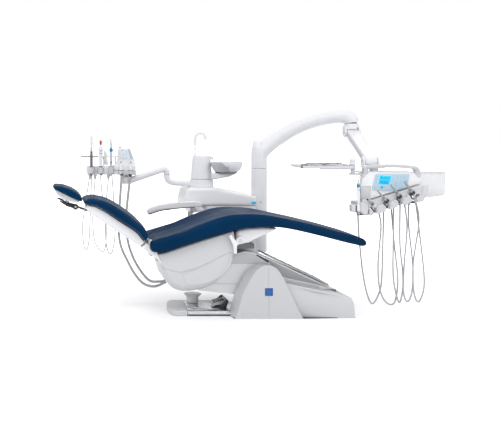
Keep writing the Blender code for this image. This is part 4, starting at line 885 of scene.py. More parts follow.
# arm rest stub on the near side: pivot boss, forked strap and a cap
lathe("stub_boss", soft_profile([(0, 0.0), (0.0205, 0.0), (0.0205, 0.038, 0.004), (0.0150, 0.0395, 0.001),
                                 (0.0140, 0.0415), (0, 0.0415)], 0.0),
      (-0.163, -0.2172, 0.457), WHITE, "armrest_stub", "white_shell", axis=(0, -1, 0), steps=40,
      stands_for=("armrest_near_stub",))
lathe("stub_knob", soft_profile([(0.0, 0.0), (0.0130, 0.0), (0.0130, 0.0050, 0.002), (0.0, 0.0060)], 0.0),
      (-0.163, -0.2562, 0.457), LIGHT, "armrest_stub", "grey_cover", axis=(0, -1, 0), steps=36)
plate("stub_fork", fillet([(-0.163, 0.4400), (-0.181, 0.4260), (-0.1815, 0.3800, 0.003), (-0.1985, 0.3780, 0.003),
                           (-0.2030, 0.4280), (-0.2290, 0.4830, 0.004), (-0.2120, 0.4900, 0.004), (-0.1870, 0.4520),
                           (-0.1630, 0.4740)], 0.010, 5), -0.2510, -0.2370, WHITE, "armrest_stub", "white_shell",
      rim=0.0035, segs=4)

# far arm rest: silver blade with a dark underside line on a white support
ARM_TOP = catmull([(-0.6450, 0.5740, 0), (-0.6330, 0.5900, 0), (-0.5980, 0.6050, 0), (-0.5580, 0.6165, 0),
                   (-0.4710, 0.6310, 0), (-0.3850, 0.6395, 0), (-0.3300, 0.6410, 0), (-0.3010, 0.6330, 0),
                   (-0.2890, 0.6140, 0)], 5)
ARM_LOW = catmull([(-0.2890, 0.6140, 0), (-0.3400, 0.6075, 0), (-0.4140, 0.6025, 0), (-0.5000, 0.5920, 0),
                   (-0.5590, 0.5830, 0), (-0.6150, 0.5650, 0), (-0.6370, 0.5610, 0), (-0.6450, 0.5740, 0)], 5)
blade = [(p.x, p.y) for p in ARM_TOP[:-1]] + [(p.x, p.y) for p in ARM_LOW[:-1]]
plate("armrest_blade", blade, 0.300, 0.366, ARM_PAINT, "armrest", "silver_grip", rim=0.009, segs=5,
      stands_for=("armrest_far",), method=shrink, sharp=60)
plate("armrest_underline", [(p.x, p.y - 0.0005) for p in ARM_LOW[2:-6]] +
      [(p.x, p.y - 0.0060) for p in reversed(ARM_LOW[2:-6])], 0.306, 0.360, DARK, "armrest", "black_part",
      rim=0.0012, segs=2)
plate("armrest_support_form", fillet([(-0.345, 0.6080, 0.01), (-0.3050, 0.6120, 0.01), (-0.248, 0.5620, 0.04),
                                      (-0.1470, 0.4700, 0.02), (-0.1600, 0.4380, 0.02), (-0.1780, 0.4440, 0.02),
                                      (-0.2720, 0.5340, 0.05)], 0.01, 6), 0.303, 0.319, WHITE, "armrest",
      "white_shell", rim=0.005, segs=4)
lathe("armrest_hub_form", soft_profile([(0, 0.0), (0.0180, 0.0), (0.0180, 0.112, 0.004), (0, 0.113)], 0.0),
      (-0.163, 0.2172, 0.457), WHITE, "armrest", "white_shell", axis=(0, 1, 0), steps=36)

# =====================================================================  water unit and spittoon
UNIT = [(-0.3930, 0.6085, 0.004), (-0.3925, 0.6500, 0.04), (-0.3760, 0.7060, 0.02), (-0.3540, 0.7215, 0.012),
        (-0.1790, 0.7220, 0.01), (-0.1600, 0.7135, 0.02), (-0.0280, 0.6885, 0.1), (0.0420, 0.6745, 0.05),
        (0.0785, 0.6640, 0.010), (0.0785, 0.6085, 0.003)]
plate("water_unit_cover_form", fillet(UNIT, 0.02, 6), 0.380, 0.720, WHITE, "seat", "white_shell", rim=0.020,
      segs=7, stands_for=("water_unit_cover",))
plate("water_unit_shadow_gap", fillet([(-0.247, 0.4060), (0.0740, 0.4060), (0.0740, 0.6960), (-0.247, 0.6960)],
                                      0.012, 5), 0.6040, 0.6100, DARK, "seat", "black_part", plane="XY",
      rim=0.001, segs=2)
plate("water_unit_body_form", fillet([(-0.250, 0.4020), (0.0785, 0.4020), (0.0785, 0.7000), (-0.250, 0.7000)],
                                     0.022, 6), 0.300, 0.6060, WHITE, "seat", "white_shell", plane="XY",
      rim=0.010, segs=5, rim_hi=0.003, stands_for=("water_unit_body",))
plate("water_unit_service_door", fillet([(-0.228, 0.3250), (0.040, 0.3250), (0.040, 0.5850), (-0.228, 0.5850)],
                                        0.012, 5), 0.3995, 0.4040, WHITE, "seat", "white_shell", rim=0.0012,
      segs=3)
# The cyan inlay emits light: a painted glow.
plate("water_unit_inlay", fillet([(0.0440, 0.6185), (0.0730, 0.6185), (0.0730, 0.6325), (0.0440, 0.6325)],
                                 0.003, 4), 0.3785, 0.3810, CYAN_PAINTED_GLOW, "seat", "panel_film", rim=0.0006, segs=2)
plate("water_unit_side_vent", fillet([(-0.3845, 0.655), (-0.3780, 0.670), (-0.3740, 0.682), (-0.3790, 0.684),
                                      (-0.3850, 0.668)], 0.001, 2), 0.3940, 0.402, DARK, "seat", "black_part",
      rim=0.0006, segs=2)
# small framed connector block under the cover
plate("water_unit_connector", fillet([(-0.3640, 0.5150), (-0.3330, 0.5150), (-0.3330, 0.5640), (-0.3640, 0.5640)],
                                     0.004, 4), 0.4150, 0.4400, SILVER, "seat", "silver_grip", rim=0.002,
      segs=3)
plate("water_unit_connector_face", fillet([(-0.3590, 0.5210), (-0.3380, 0.5210), (-0.3380, 0.5580),
                                           (-0.3590, 0.5580)], 0.003, 3), 0.4135, 0.4160, WHITE, "seat",
      "white_shell", rim=0.0008, segs=2)
plate("water_unit_connector_arm", fillet([(-0.3500, 0.5500), (-0.2450, 0.5700), (-0.2450, 0.6070),
                                          (-0.3500, 0.6070)], 0.006, 4), 0.4300, 0.6500, WHITE, "seat",
      "white_shell", rim=0.004, segs=3)
for i, (x, z) in enumerate([(-0.212, 0.345), (0.026, 0.345), (-0.212, 0.565), (0.026, 0.565)]):
    screw_head(f"water_unit_screw_{i}", (x, 0.3997, z), (0, -1, 0), 0.0036, "seat")

TOWER = (-0.263, 0.500, 0.0)
lathe("spittoon_post_form", soft_profile([(0, 0.7740), (0.0435, 0.7740), (0.0435, 0.7222), (0, 0.7222)], 0.001, 3),
      TOWER, DARK, "seat", "black_part", steps=56, stands_for=("spittoon_post",))
lathe("spittoon_base_ring", soft_profile([(0.060, 0.7213), (0.0830, 0.7213), (0.0810, 0.7232, 0.001),
                                          (0.060, 0.7232)], 0.0), TOWER, WHITE, "seat", "white_shell", steps=64)
lathe("spittoon_tower_form", soft_profile([(0, 0.9325), (0.0545, 0.9320, 0.005), (0.0590, 0.9270, 0.006),
                                           (0.0605, 0.9130, 0.0), (0.0597, 0.9120, 0.0), (0.0597, 0.9108, 0.0),
                                           (0.0607, 0.9098, 0.0), (0.0660, 0.850, 0.0), (0.0715, 0.7785, 0.002),
                                           (0.0700, 0.7755, 0.001), (0, 0.7755)], 0.0, 5),
      TOWER, WHITE, "spittoon", "white_shell", steps=72, stands_for=("spittoon_tower",))
# lid beak that reaches over the bowl
plate("spittoon_lid_beak", fillet([(-0.2450, 0.4700), (-0.2050, 0.4700, 0.01), (-0.1845, 0.4850, 0.010),
                                   (-0.1845, 0.5150, 0.010), (-0.2050, 0.5300, 0.01), (-0.2450, 0.5300)],
                                  0.01, 6), 0.9105, 0.9318, WHITE, "spittoon", "white_shell", plane="XY",
      rim=0.002, segs=3, rim_hi=0.006,
      warp=lambda p: Vector((p.x, p.y, p.z - max(0.0, (p.x + 0.212)) * 0.32 * (1 if p.z > 0.92 else 0.55))))
lathe("bowl_flush_nozzle", soft_profile([(0, 0.0), (0.0055, 0.0), (0.0050, 0.016, 0.0015), (0, 0.016)], 0.0),
      (-0.196, 0.470, 0.9090), CHROME, "spittoon", "steel", axis=(0.5, -0.3, -0.8), steps=24)

BRACKET = [(-0.2115, 0.7785, 0.004), (-0.1900, 0.7765, 0.02), (-0.0950, 0.7935, 0.05), (-0.0560, 0.8120, 0.006),
           (-0.0520, 0.8188, 0.003), (-0.2115, 0.8188)]
plate("bowl_bracket_form", fillet(BRACKET, 0.01, 6), 0.388, 0.452, WHITE, "spittoon", "white_shell", rim=0.012,
      segs=6, stands_for=("bowl_bracket",))
BOWL = (-0.113, 0.420, 0.0)
lathe("spittoon_bowl_form", soft_profile([(0, 0.8262), (0.030, 0.8245, 0.03), (0.062, 0.8290, 0.02),
                                          (0.0790, 0.8420, 0.02), (0.0915, 0.8640, 0.03), (0.0985, 0.8885, 0.0008),
                                          (0.1025, 0.8890, 0.0012), (0.1020, 0.8820, 0.004), (0.0965, 0.8620, 0.03),
                                          (0.0830, 0.8370, 0.02), (0.0680, 0.8194, 0.004), (0, 0.8194)], 0.0, 5),
      BOWL, CERAMIC, "spittoon", "bowl_glass", steps=80, stands_for=("spittoon_bowl",))
lathe("bowl_drain_strainer", soft_profile([(0, 0.0), (0.0150, 0.0), (0.0150, 0.0022, 0.001), (0.0035, 0.0034),
                                           (0, 0.0034)], 0.0), (BOWL[0], BOWL[1], 0.8262), CHROME, "spittoon",
      "steel", steps=36)
lathe("bowl_seat_ring", soft_profile([(0.0640, 0.8192), (0.0720, 0.8205, 0.001), (0.0745, 0.8240, 0.001),
                                      (0.0700, 0.8215)], 0.0), BOWL, DARK, "spittoon", "black_part", steps=64)


def cradle():
    """A white rim that cups the bowl on its outer side."""
    rows = []
    for k in range(33):
        a = math.radians(-118 + 190 * k / 32)
        c, s = math.cos(a), math.sin(a)
        fade = min(1.0, min(k, 32 - k) / 6.0)
        shape = [(0.1032, 0.8905), (0.1052, 0.8900), (0.1055, 0.8835), (0.1010, 0.8600), (0.0870, 0.8345),
                 (0.0740, 0.8195), (0.0700, 0.8195), (0.0842, 0.8352), (0.0978, 0.8612), (0.1030, 0.8820)]
        low = 0.8905 - 0.060 * fade
        ring = []
        for r, z in shape:
            zz = max(z, low - 0.001 * (r - 0.07))
            ring.append(Vector((BOWL[0] + r * c, BOWL[1] + r * s, zz if z < low else z)))
        rows.append(ring)
    return mesh_of(loft(rows), "bowl_cradle")


finish_piece("bowl_cradle", cradle(), WHITE, "spittoon", "white_shell", sharp=45)
tube("cup_filler_form", catmull([(-0.305, 0.500, 0.9325), (-0.305, 0.500, 0.985), (-0.3045, 0.500, 1.035),
                                 (-0.300, 0.500, 1.060), (-0.284, 0.500, 1.0770), (-0.266, 0.500, 1.0800),
                                 (-0.248, 0.500, 1.0735), (-0.239, 0.500, 1.0600), (-0.2365, 0.500, 1.0410)], 6),
     0.0058, PAINT, "filler", "silver_grip", sides=24, round_end=0.25, stands_for=("cup_filler",))
lathe("cup_filler_collar", soft_profile([(0, 0.9327), (0.0095, 0.9327), (0.0090, 0.9400, 0.002), (0, 0.9410)], 0.0),
      (-0.305, 0.500, 0), PAINT, "filler", "white_metal", steps=32)

# =====================================================================  column and curved arm
COLUMN = (0.132, 0.550, 0.0)
lathe("column_form", soft_profile([(0, 0.8423), (0.0500, 0.8423), (0.0525, 0.8395, 0.0015), (0.0525, 0.2900, 0.003),
                                   (0.0465, 0.2842, 0.002), (0, 0.2842)], 0.0, 4),
      COLUMN, PAINT, "seat", "white_metal", steps=80, stands_for=("column_lower",))
lathe("column_seam_ring", soft_profile([(0, 0.8425), (0.0502, 0.8425), (0.0502, 0.8437), (0, 0.8437)], 0.0), COLUMN,
      DARK, "seat", "black_part", steps=64)
disc("column_index_button", (0.132, 0.4965, 0.620), (0, -1, 0), 0.0048, 0.0016, GREY, "seat", "grey_cover", steps=24)
HEAD = [(0, 1.0300), (0.0240, 1.0295, 0.006), (0.0345, 1.0200, 0.010), (0.0470, 0.9850, 0.03), (0.0522, 0.9400, 0.03),
        (0.0525, 0.8462, 0.0015), (0.0500, 0.8437), (0, 0.8437)]
lathe("column_head", soft_profile(HEAD, 0.0, 6), COLUMN, PAINT, "column_arm", "white_metal", steps=80,
      stands_for=("curved_arm",))
BOW = catmull([(0.132, 0.550, 0.920), (0.150, 0.550, 0.955), (0.184, 0.550, 0.987), (0.250, 0.549, 1.042),
               (0.350, 0.543, 1.107), (0.450, 0.535, 1.152), (0.550, 0.525, 1.181), (0.630, 0.513, 1.1935),
               (0.685, 0.505, 1.1925), (0.716, 0.501, 1.1800), (0.7300, 0.500, 1.1650), (0.733, 0.500, 1.1515)], 7)
tube("curved_arm_bow", BOW, [0.0505 - 0.0055 * i / (len(BOW) - 1) for i in range(len(BOW))], PAINT, "column_arm",
     "white_metal", sides=56, sharp=60)
tube("curved_arm_collar", [(0.6560, 0.5095, 1.1945), (0.6620, 0.5085, 1.1945), (0.6680, 0.5075, 1.1942)],
     [0.0464, 0.0472, 0.0464], PAINT, "column_arm", "white_metal", sides=56)
lathe("arm_yoke_crown", soft_profile([(0, 1.1448), (0.0360, 1.1448), (0.0415, 1.1410, 0.004), (0.0440, 1.1280, 0.01),
                                      (0.0520, 1.1160, 0.002), (0, 1.1160)], 0.0, 5),
      (0.733, 0.500, 0), PAINT, "yoke", "white_metal", steps=64, stands_for=("arm_yoke",))
tube("yoke_cross_pin", [(0.690, 0.485, 1.082), (0.776, 0.485, 1.082)], 0.0080, STEEL, "yoke", "steel", sides=24)
tube("bracket_cross_pin", [(0.690, 0.140, 0.908), (0.776, 0.140, 0.908)], 0.0080, STEEL, "level_bracket", "steel",
     sides=24)
lathe("arm_yoke_gap", soft_profile([(0, 1.1447), (0.0370, 1.1447), (0.0370, 1.1512), (0, 1.1512)], 0.0),
      (0.733, 0.500, 0), DARK, "yoke", "black_part", steps=48)


def capsule(a, b, ra, rb, n=14):
    a, b = vec2(a), vec2(b)
    angle = math.atan2(b.y - a.y, b.x - a.x)
    out = []
    for centre, r, start in ((a, ra, angle + math.pi / 2), (b, rb, angle - math.pi / 2)):
        for i in range(n + 1):
            t = start + math.pi * i / n
            out.append((centre.x + r * math.cos(t), centre.y + r * math.sin(t)))
    return out


for tag, side in (("left", -1), ("right", 1)):
    lo, hi = sorted((0.733 + side * 0.0395, 0.733 + side * 0.0525))
    plate(f"yoke_cheek_{tag}", capsule((0.488, 1.105), (0.485, 1.0790), 0.0270, 0.0262), lo, hi, PAINT, "yoke",
          "white_metal", plane="YZ", rim=0.004, segs=4)
    lo, hi = sorted((0.733 + side * 0.0515, 0.733 + side * 0.0550))
    plate(f"yoke_pin_cap_{tag}", capsule((0.485, 1.0822), (0.485, 1.0818), 0.0105, 0.0105), lo, hi, LIGHT,
          "yoke", "grey_cover", plane="YZ", rim=0.0012, segs=3)
ARM_SIDE = capsule((0.485, 1.082), (0.140, 0.908), 0.0265, 0.0295)
plate("height_arm_form", along_x(ARM_SIDE, 0.03), 0.6945, 0.7715, PAINT, "height_arm", "white_shell", plane="YZ",
      rim=0.0100, segs=6, stands_for=("pantograph_arm",))
for tag, x0, x1 in (("left", 0.6935, 0.6960), ("right", 0.7700, 0.7725)):
    plate(f"height_arm_inlay_{tag}", along_x(capsule((0.440, 1.0600), (0.190, 0.9335), 0.0115, 0.0125), 0.05),
          x0, x1, LIGHT, "height_arm", "grey_cover", plane="YZ", rim=0.0008, segs=2)
for k, off in enumerate((-0.012, 0.012)):
    line(f"height_arm_groove_{k}", [(0.733 + off, 0.478 - 0.332 * t, 1.0822 + 0.0240 - 0.1675 * t)
                                    for t in np.linspace(0.06, 0.92, 10)], "height_arm", "white_shell", r=0.0011)
plate("table_bracket_form", fillet([(0.680, 0.028, 0.014), (0.786, 0.028, 0.014), (0.786, 0.174, 0.010),
                                    (0.680, 0.174, 0.010)], 0.01, 6), 0.8650, 0.8748, PAINT, "level_bracket",
      "white_metal", plane="XY", rim=0.0025, segs=4)
for tag, side in (("left", -1), ("right", 1)):
    lo, hi = sorted((0.733 + side * 0.0398, 0.733 + side * 0.0520))
    plate(f"bracket_cheek_{tag}", capsule((0.1405, 0.8815), (0.140, 0.9080), 0.0265, 0.0265), lo, hi, PAINT,
          "level_bracket", "white_metal", plane="YZ", rim=0.004, segs=4,
          warp=lambda p: Vector((p.x, p.y, max(p.z, 0.8660))))
    lo, hi = sorted((0.733 + side * 0.0510, 0.733 + side * 0.0545))
    plate(f"bracket_pin_cap_{tag}", capsule((0.140, 0.9082), (0.140, 0.9078), 0.0105, 0.0105), lo, hi, LIGHT,
          "level_bracket", "grey_cover", plane="YZ", rim=0.0012, segs=3)
lathe("bracket_post_form", soft_profile([(0, 0.8668), (0.0270, 0.8668), (0.0262, 0.8485, 0.001), (0.0240, 0.8467, 0.001),
                                         (0, 0.8467)], 0.0), (0.729, 0.070, 0), PAINT, "level_bracket",
      "white_metal", steps=56, stands_for=("table_bracket",))

# =====================================================================  backrest and headrest, hard parts
def back_narrow(x):
    return 1.0 - 0.34 * min(max((-0.70 - x) / 0.37, 0.0), 1.0) ** 1.3


refined("backrest_frame", FRAME, "frame_metal", 0.0018, 2)
refined("back_hinge_shaft", STEEL, "steel", 0.0008, 2)
SHELL = catmull([(-0.7493, 0.4206, 0), (-0.8150, 0.4640, 0), (-0.8870, 0.5110, 0), (-0.9650, 0.5610, 0),
                 (-1.0340, 0.6080, 0), (-1.0510, 0.6230, 0), (-1.0560, 0.6350, 0), (-1.0500, 0.6485, 0),
                 (-1.0300, 0.6480, 0), (-0.9980, 0.6410, 0), (-0.9410, 0.6120, 0), (-0.8850, 0.5750, 0),
                 (-0.8270, 0.5370, 0), (-0.7850, 0.5100, 0), (-0.7700, 0.4970, 0), (-0.7600, 0.4780, 0)], 5)
SHELL = [(p.x, p.y) for p in SHELL]


def back_shell():
    """The pan under the backrest: a shallow tray that follows the cushion's lower edge."""
    low = [(-0.7460, 0.4185), (-0.8150, 0.4640), (-0.8870, 0.5110), (-0.9650, 0.5610), (-1.0340, 0.6080),
           (-1.0490, 0.6215), (-1.0550, 0.6340), (-1.0520, 0.6440)]
    top = [(-0.7120, 0.4480), (-0.7560, 0.5030), (-0.8150, 0.5440), (-0.8800, 0.5860), (-0.9380, 0.6240),
           (-0.9900, 0.6500), (-1.0350, 0.6580), (-1.0490, 0.6570)]
    low = catmull([(*p, 0) for p in low], 5)
    top = catmull([(*p, 0) for p in top], 5)
    rings = []
    for a, b in zip(low, top):
        half = 0.235 * back_narrow((a.x + b.x) / 2)
        ring = []
        outer = [(0.0, 0.0), (half * 0.5, 0.0), (half - 0.045, 0.0), (half - 0.022, 0.03), (half - 0.009, 0.12),
                 (half - 0.002, 0.28), (half, 0.50), (half, 0.75), (half - 0.0006, 0.96), (half - 0.0030, 1.0),
                 (half - 0.0060, 0.985)]
        inner = [(half - 0.0072, 0.90), (half - 0.012, 0.42), (half - 0.030, 0.22), (half * 0.5, 0.20), (0.0, 0.20)]
        side = outer + inner
        for y, t in side:
            p = a.lerp(b, t)
            ring.append(Vector((p.x, -y, p.y)))
        for y, t in reversed(side[1:-1]):
            p = a.lerp(b, t)
            ring.append(Vector((p.x, y, p.y)))
        rings.append(ring)
    return rings


def shell_mesh():
    rings = back_shell()
    bm = bmesh.new()
    rows = [[bm.verts.new(p) for p in ring] for ring in rings]
    n = len(rows[0])
    for a, b in zip(rows, rows[1:]):
        for i in range(n):
            bm.faces.new((a[i], a[(i + 1) % n], b[(i + 1) % n], b[i]))
    bm.faces.new(rows[0][::-1])
    bm.faces.new(rows[-1])
    return mesh_of(bm, "backrest_shell_form")


BACK_SHELL = finish_piece("backrest_shell_form", shell_mesh(), WHITE, "backrest", "white_shell", ("backrest_shell",),
                          sharp=50)
for tag, side in (("near", -1), ("far", 1)):
    edge = [(-0.7170, 0.4440), (-0.7380, 0.4690), (-0.7660, 0.5010), (-0.8270, 0.5420), (-0.8850, 0.5790), (-0.9410, 0.6160),
            (-0.9980, 0.6440), (-1.0250, 0.6500), (-1.0440, 0.6510)]
    line(f"shell_edge_welt_{tag}", catmull([(x, side * (0.2352 * back_narrow(x) + 0.0003), z) for x, z in edge], 8),
         "backrest", "upholstery", PIPING, r=0.0021, sides=8)
refined("headrest_bar", BLACK, "black_part", 0.0012, 2)
refined("headrest_link", BLACK, "black_part", 0.0014, 2)
refined("headrest_lever", BLACK, "black_part", 0.0012, 2)
weighted(refined("headrest_shell", WHITE, "white_shell", 0.0035, 3, 40))
lathe("headrest_knob", soft_profile([(0, 0), (0.0165, 0), (0.0178, 0.004, 0.002), (0.0170, 0.0185, 0.004),
                                     (0.0085, 0.0200, 0.001), (0.0078, 0.0175, 0.0006), (0, 0.0175)], 0.0, 5),
      (-1.115, -0.0225, 0.634), BLACK, "headrest_tilt", "black_part", axis=(0, -1, 0), steps=48)
disc("headrest_knob_cap", (-1.115, -0.0399, 0.634), (0, -1, 0), 0.0068, 0.0016, SILVER, "headrest_tilt", "silver_grip",
     steps=32)
for k in range(12):
    t = 2 * math.pi * k / 12
    c, s = math.cos(t), math.sin(t)
    tube(f"headrest_knob_rib_{k}", [(-1.115 + 0.0174 * c, -0.0275, 0.634 + 0.0174 * s),
                                    (-1.115 + 0.0168 * c, -0.0385, 0.634 + 0.0168 * s)], 0.0015, BLACK,
         "headrest_tilt", "black_part", sides=8, round_end=0.6)
for tag, y in (("near", -0.0265), ("far", 0.0265)):
    plate(f"headrest_link_plate_{tag}", fillet([(-1.108, 0.622, 0.004), (-1.134, 0.630, 0.004), (-1.171, 0.641, 0.005),
                                                (-1.187, 0.655, 0.004), (-1.178, 0.664, 0.004),
                                                (-1.152, 0.656, 0.004), (-1.118, 0.647, 0.004)], 0.004, 4),
          y - 0.0022, y + 0.0022, BLACK, "headrest_tilt", "black_part", rim=0.0008, segs=2)
tube("headrest_release_grip", catmull([(-1.168, -0.0320, 0.651), (-1.182, -0.0335, 0.6655), (-1.197, -0.0340, 0.6760),
                                       (-1.212, -0.0330, 0.6835), (-1.224, -0.0310, 0.6870)], 5),
     [0.0042, 0.0044, 0.0046, 0.0048, 0.0050, 0.0052, 0.0054, 0.0056, 0.0058, 0.0060, 0.0060, 0.0060, 0.0060, 0.0060,
      0.0058, 0.0056, 0.0054, 0.0052, 0.0050, 0.0048, 0.0046], BLACK, "release_lever", "black_part", sides=20,
     round_end=0.6)
for k, (x, z) in enumerate(((-1.020, 0.6015), (-1.062, 0.6175))):
    disc(f"headrest_bar_stop_{k}", (x, -0.026, z), (0, -1, 0), 0.0042, 0.0020, STEEL, "headrest_slide", "steel",
         steps=20)


# =====================================================================  cushions
def sample(stations, per):
    return [tuple(p) for p in catmull_n(stations, per)]


def catmull_n(rows, per):
    """Catmull-Rom through rows of any length."""
    rows = [np.array(r, dtype=float) for r in rows]
    src = [2 * rows[0] - rows[1], *rows, 2 * rows[-1] - rows[-2]]
    out = []
    for i in range(1, len(rows)):
        p0, p1, p2, p3 = src[i - 1:i + 3]
        for k in range(per):
            t = k / per
            out.append(0.5 * (2 * p1 + (p2 - p0) * t + (2 * p0 - 5 * p1 + 4 * p2 - p3) * t * t
                              + (3 * p1 - p0 - 3 * p2 + p3) * t ** 3))
    out.append(rows[-1])
    return out


# x, underside, top at the middle, top at the edge, half width
SEAT = [(-0.6870, 0.4120, 0.4290, 0.4430, 0.2540), (-0.6710, 0.3890, 0.4370, 0.4560, 0.2660),
        (-0.6100, 0.3870, 0.4470, 0.4750, 0.2710), (-0.5450, 0.4040, 0.4640, 0.4930, 0.2735),
        (-0.4900, 0.4240, 0.4810, 0.5090, 0.2745), (-0.4050, 0.4515, 0.5140, 0.5440, 0.2745),
        (-0.2760, 0.4920, 0.5620, 0.5920, 0.2745), (-0.1900, 0.5150, 0.5860, 0.6100, 0.2745),
        (-0.1060, 0.5290, 0.5960, 0.6140, 0.2730), (-0.0200, 0.5340, 0.5970, 0.6090, 0.2700),
        (0.1000, 0.5270, 0.5800, 0.5860, 0.2610), (0.2780, 0.4880, 0.5410, 0.5440, 0.2420),
        (0.4490, 0.4430, 0.4950, 0.4970, 0.2230), (0.5310, 0.4235, 0.4730, 0.4740, 0.2130),
        (0.5720, 0.4140, 0.4610, 0.4610, 0.2060), (0.5900, 0.4150, 0.4540, 0.4540, 0.1980),
        (0.5990, 0.4230, 0.4440, 0.4440, 0.1880)]


def seat_section(s):
    x, low, mid, ridge, half = s
    side = (low + ridge) / 2
    drop_ = min(0.012, 0.25 * (ridge - low))
    near = [(half - 0.020, low), (half - 0.007, low + 0.10 * (ridge - low)), (half - 0.001, side - 0.10 * (ridge - low)),
            (half, side + 0.12 * (ridge - low)), (half - 0.004, ridge - 1.15 * drop_), (half - 0.013, ridge - 0.30 * drop_),
            (half - 0.026, ridge + 0.0005), (half - 0.050, ridge - 0.10 * (ridge - mid)),
            (half - 0.085, 0.55 * ridge + 0.45 * mid), (half * 0.45, 0.12 * ridge + 0.88 * mid)]
    points = near + [(0.0, mid)] + [(-y, z) for y, z in reversed(near)]
    return [Vector((x, y, z)) for y, z in points]


def soft_pad(name, bm, body, node, voxel, lines, cap, pressure=4.0, groove=0.0034, reach=0.010, keep=None):
    """An upholstered pad: foam form, stitched lines drawn in, and a cover blown up over it."""
    me = mesh_of(bm, name)
    ob = bpy.data.objects.new(name, me)
    SCENE.collection.objects.link(ob)
    grid = ob.modifiers.new("grid", "REMESH")
    grid.mode, grid.voxel_size = "VOXEL", voxel
    ease = ob.modifiers.new("ease", "SMOOTH")
    ease.factor, ease.iterations = 0.5, 6
    graph = bpy.context.evaluated_depsgraph_get()
    even = bpy.data.meshes.new_from_object(ob.evaluated_get(graph))
    ob.modifiers.clear()
    ob.data = even
    even.name = name
    even.materials.clear()
    even.materials.append(HIDE)
    count = len(even.vertices)
    rest = np.empty(count * 3)
    even.vertices.foreach_get("co", rest)
    rest = rest.reshape(-1, 3)
    normals = np.empty(count * 3)
    even.vertices.foreach_get("normal", normals)
    normals = normals.reshape(-1, 3)
    near = np.full(count, 1.0)
    for path in lines:
        pts = np.array([tuple(p) for p in path])
        for a, b in zip(pts, pts[1:]):
            ab = b - a
            t = np.clip(((rest - a) @ ab) / max(ab @ ab, 1e-12), 0, 1)
            near = np.minimum(near, np.linalg.norm(rest - (a + t[:, None] * ab), axis=1))
    dip = groove * np.exp(-(near / (reach * 0.55)) ** 2)
    shaped = rest - normals * dip[:, None]
    even.vertices.foreach_set("co", shaped.reshape(-1))
    even.update()
    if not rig.quick():
        pin = ob.vertex_groups.new(name="pin")
        fixed = near < reach * 0.6
        if keep is not None:
            fixed |= keep(rest, normals)
        pin.add([int(i) for i in np.nonzero(fixed)[0]], 1.0, "REPLACE")
        cloth = ob.modifiers.new("cover", "CLOTH")
        st = cloth.settings
        st.quality = 4
        st.mass = 0.35
        st.tension_stiffness = st.compression_stiffness = 18.0
        st.shear_stiffness = 8.0
        st.bending_stiffness = 1.2
        st.use_pressure = True
        st.uniform_pressure_force = pressure
        st.vertex_group_mass = "pin"
        st.pin_stiffness = 1.0
        st.effector_weights.gravity = 0.0
        cloth.collision_settings.use_collision = False
        cloth.point_cache.frame_start, cloth.point_cache.frame_end = 1, 20
        for frame_no in range(1, 21):
            SCENE.frame_set(frame_no)
        graph = bpy.context.evaluated_depsgraph_get()
        result = ob.evaluated_get(graph).data
        moved = np.empty(count * 3)
        result.vertices.foreach_get("co", moved)
        moved = moved.reshape(-1, 3)
        ob.modifiers.clear()
        ob.vertex_groups.clear()
        step = moved - shaped
        length = np.linalg.norm(step, axis=1)
        step *= np.minimum(1.0, cap / np.maximum(length, 1e-9))[:, None]
        even.vertices.foreach_set("co", (shaped + step).reshape(-1))
        even.update()
        SCENE.frame_set(1)
        print("CLOTH", name, count, "largest move", round(float(length.max()), 4), "mean",
              round(float(length.mean()), 4))
    for polygon in even.polygons:
        polygon.use_smooth = True
    sub = ob.modifiers.new("fine", "SUBSURF")
    sub.levels = sub.render_levels = 1
    graph = bpy.context.evaluated_depsgraph_get()
    fine = bpy.data.meshes.new_from_object(ob.evaluated_get(graph))
    ob.modifiers.clear()
    ob.data = fine
    fine.name = name
    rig.ride(ob, body)
    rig.slot(ob, "upholstery")
    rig.replaces(ob, node)
    return ob


def loft_pad(sections):
    return loft(sections)


def seam(name, tree, path, body, r=0.0013, lift=0.0004, mat=None):
    pts = [nearest(tree, p, lift) for p in path]
    smooth = [pts[0]]
    for a, b, c in zip(pts, pts[1:], pts[2:]):
        smooth.append((a + 2 * b + c) / 4)
    smooth.append(pts[-1])
    return tube(name, smooth, r, mat or PIPING, body, "upholstery", sides=8)


ROWS = [tuple(r) for r in catmull_n(SEAT, 5)]


def seat_edge(side, pick, lo=-0.652, hi=0.588):
    return [Vector((r[0], side * (r[4] + pick(r)[0]), pick(r)[1])) for r in ROWS if lo <= r[0] <= hi]


top_seams = [seat_edge(s, lambda r: (-0.016, r[3] - 0.0045)) for s in (-1, 1)]
low_seams = [seat_edge(s, lambda r: (-0.012, r[1] + 0.004)) for s in (-1, 1)]
front_seam = [Vector((r, y, z)) for r, y, z in
              [(-0.6545, -0.245 + 0.49 * k / 24, 0.4440 - 0.010 * math.sin(math.pi * k / 24)) for k in range(25)]]
leg_seam = [Vector((0.5885, -0.196 + 0.392 * k / 24, 0.4500)) for k in range(25)]
SEAT_PAD = soft_pad("seat_cushion_form", loft_pad([seat_section(r) for r in ROWS]), "seat", "seat_cushion",
                    0.0075, top_seams + low_seams + [front_seam, leg_seam], 0.0085, 5.0,
                    keep=lambda co, no: no[:, 2] < -0.65)
tree = surface_tree(SEAT_PAD)
for tag, path in zip(("near", "far"), top_seams):
    seam(f"seat_top_seam_{tag}", tree, path, "seat", r=0.0021)
for tag, path in zip(("near", "far"), low_seams):
    seam(f"seat_low_seam_{tag}", tree, path, "seat", r=0.0011, lift=0.0001)
seam("seat_front_seam", tree, front_seam, "seat")
seam("seat_leg_seam", tree, leg_seam, "seat")

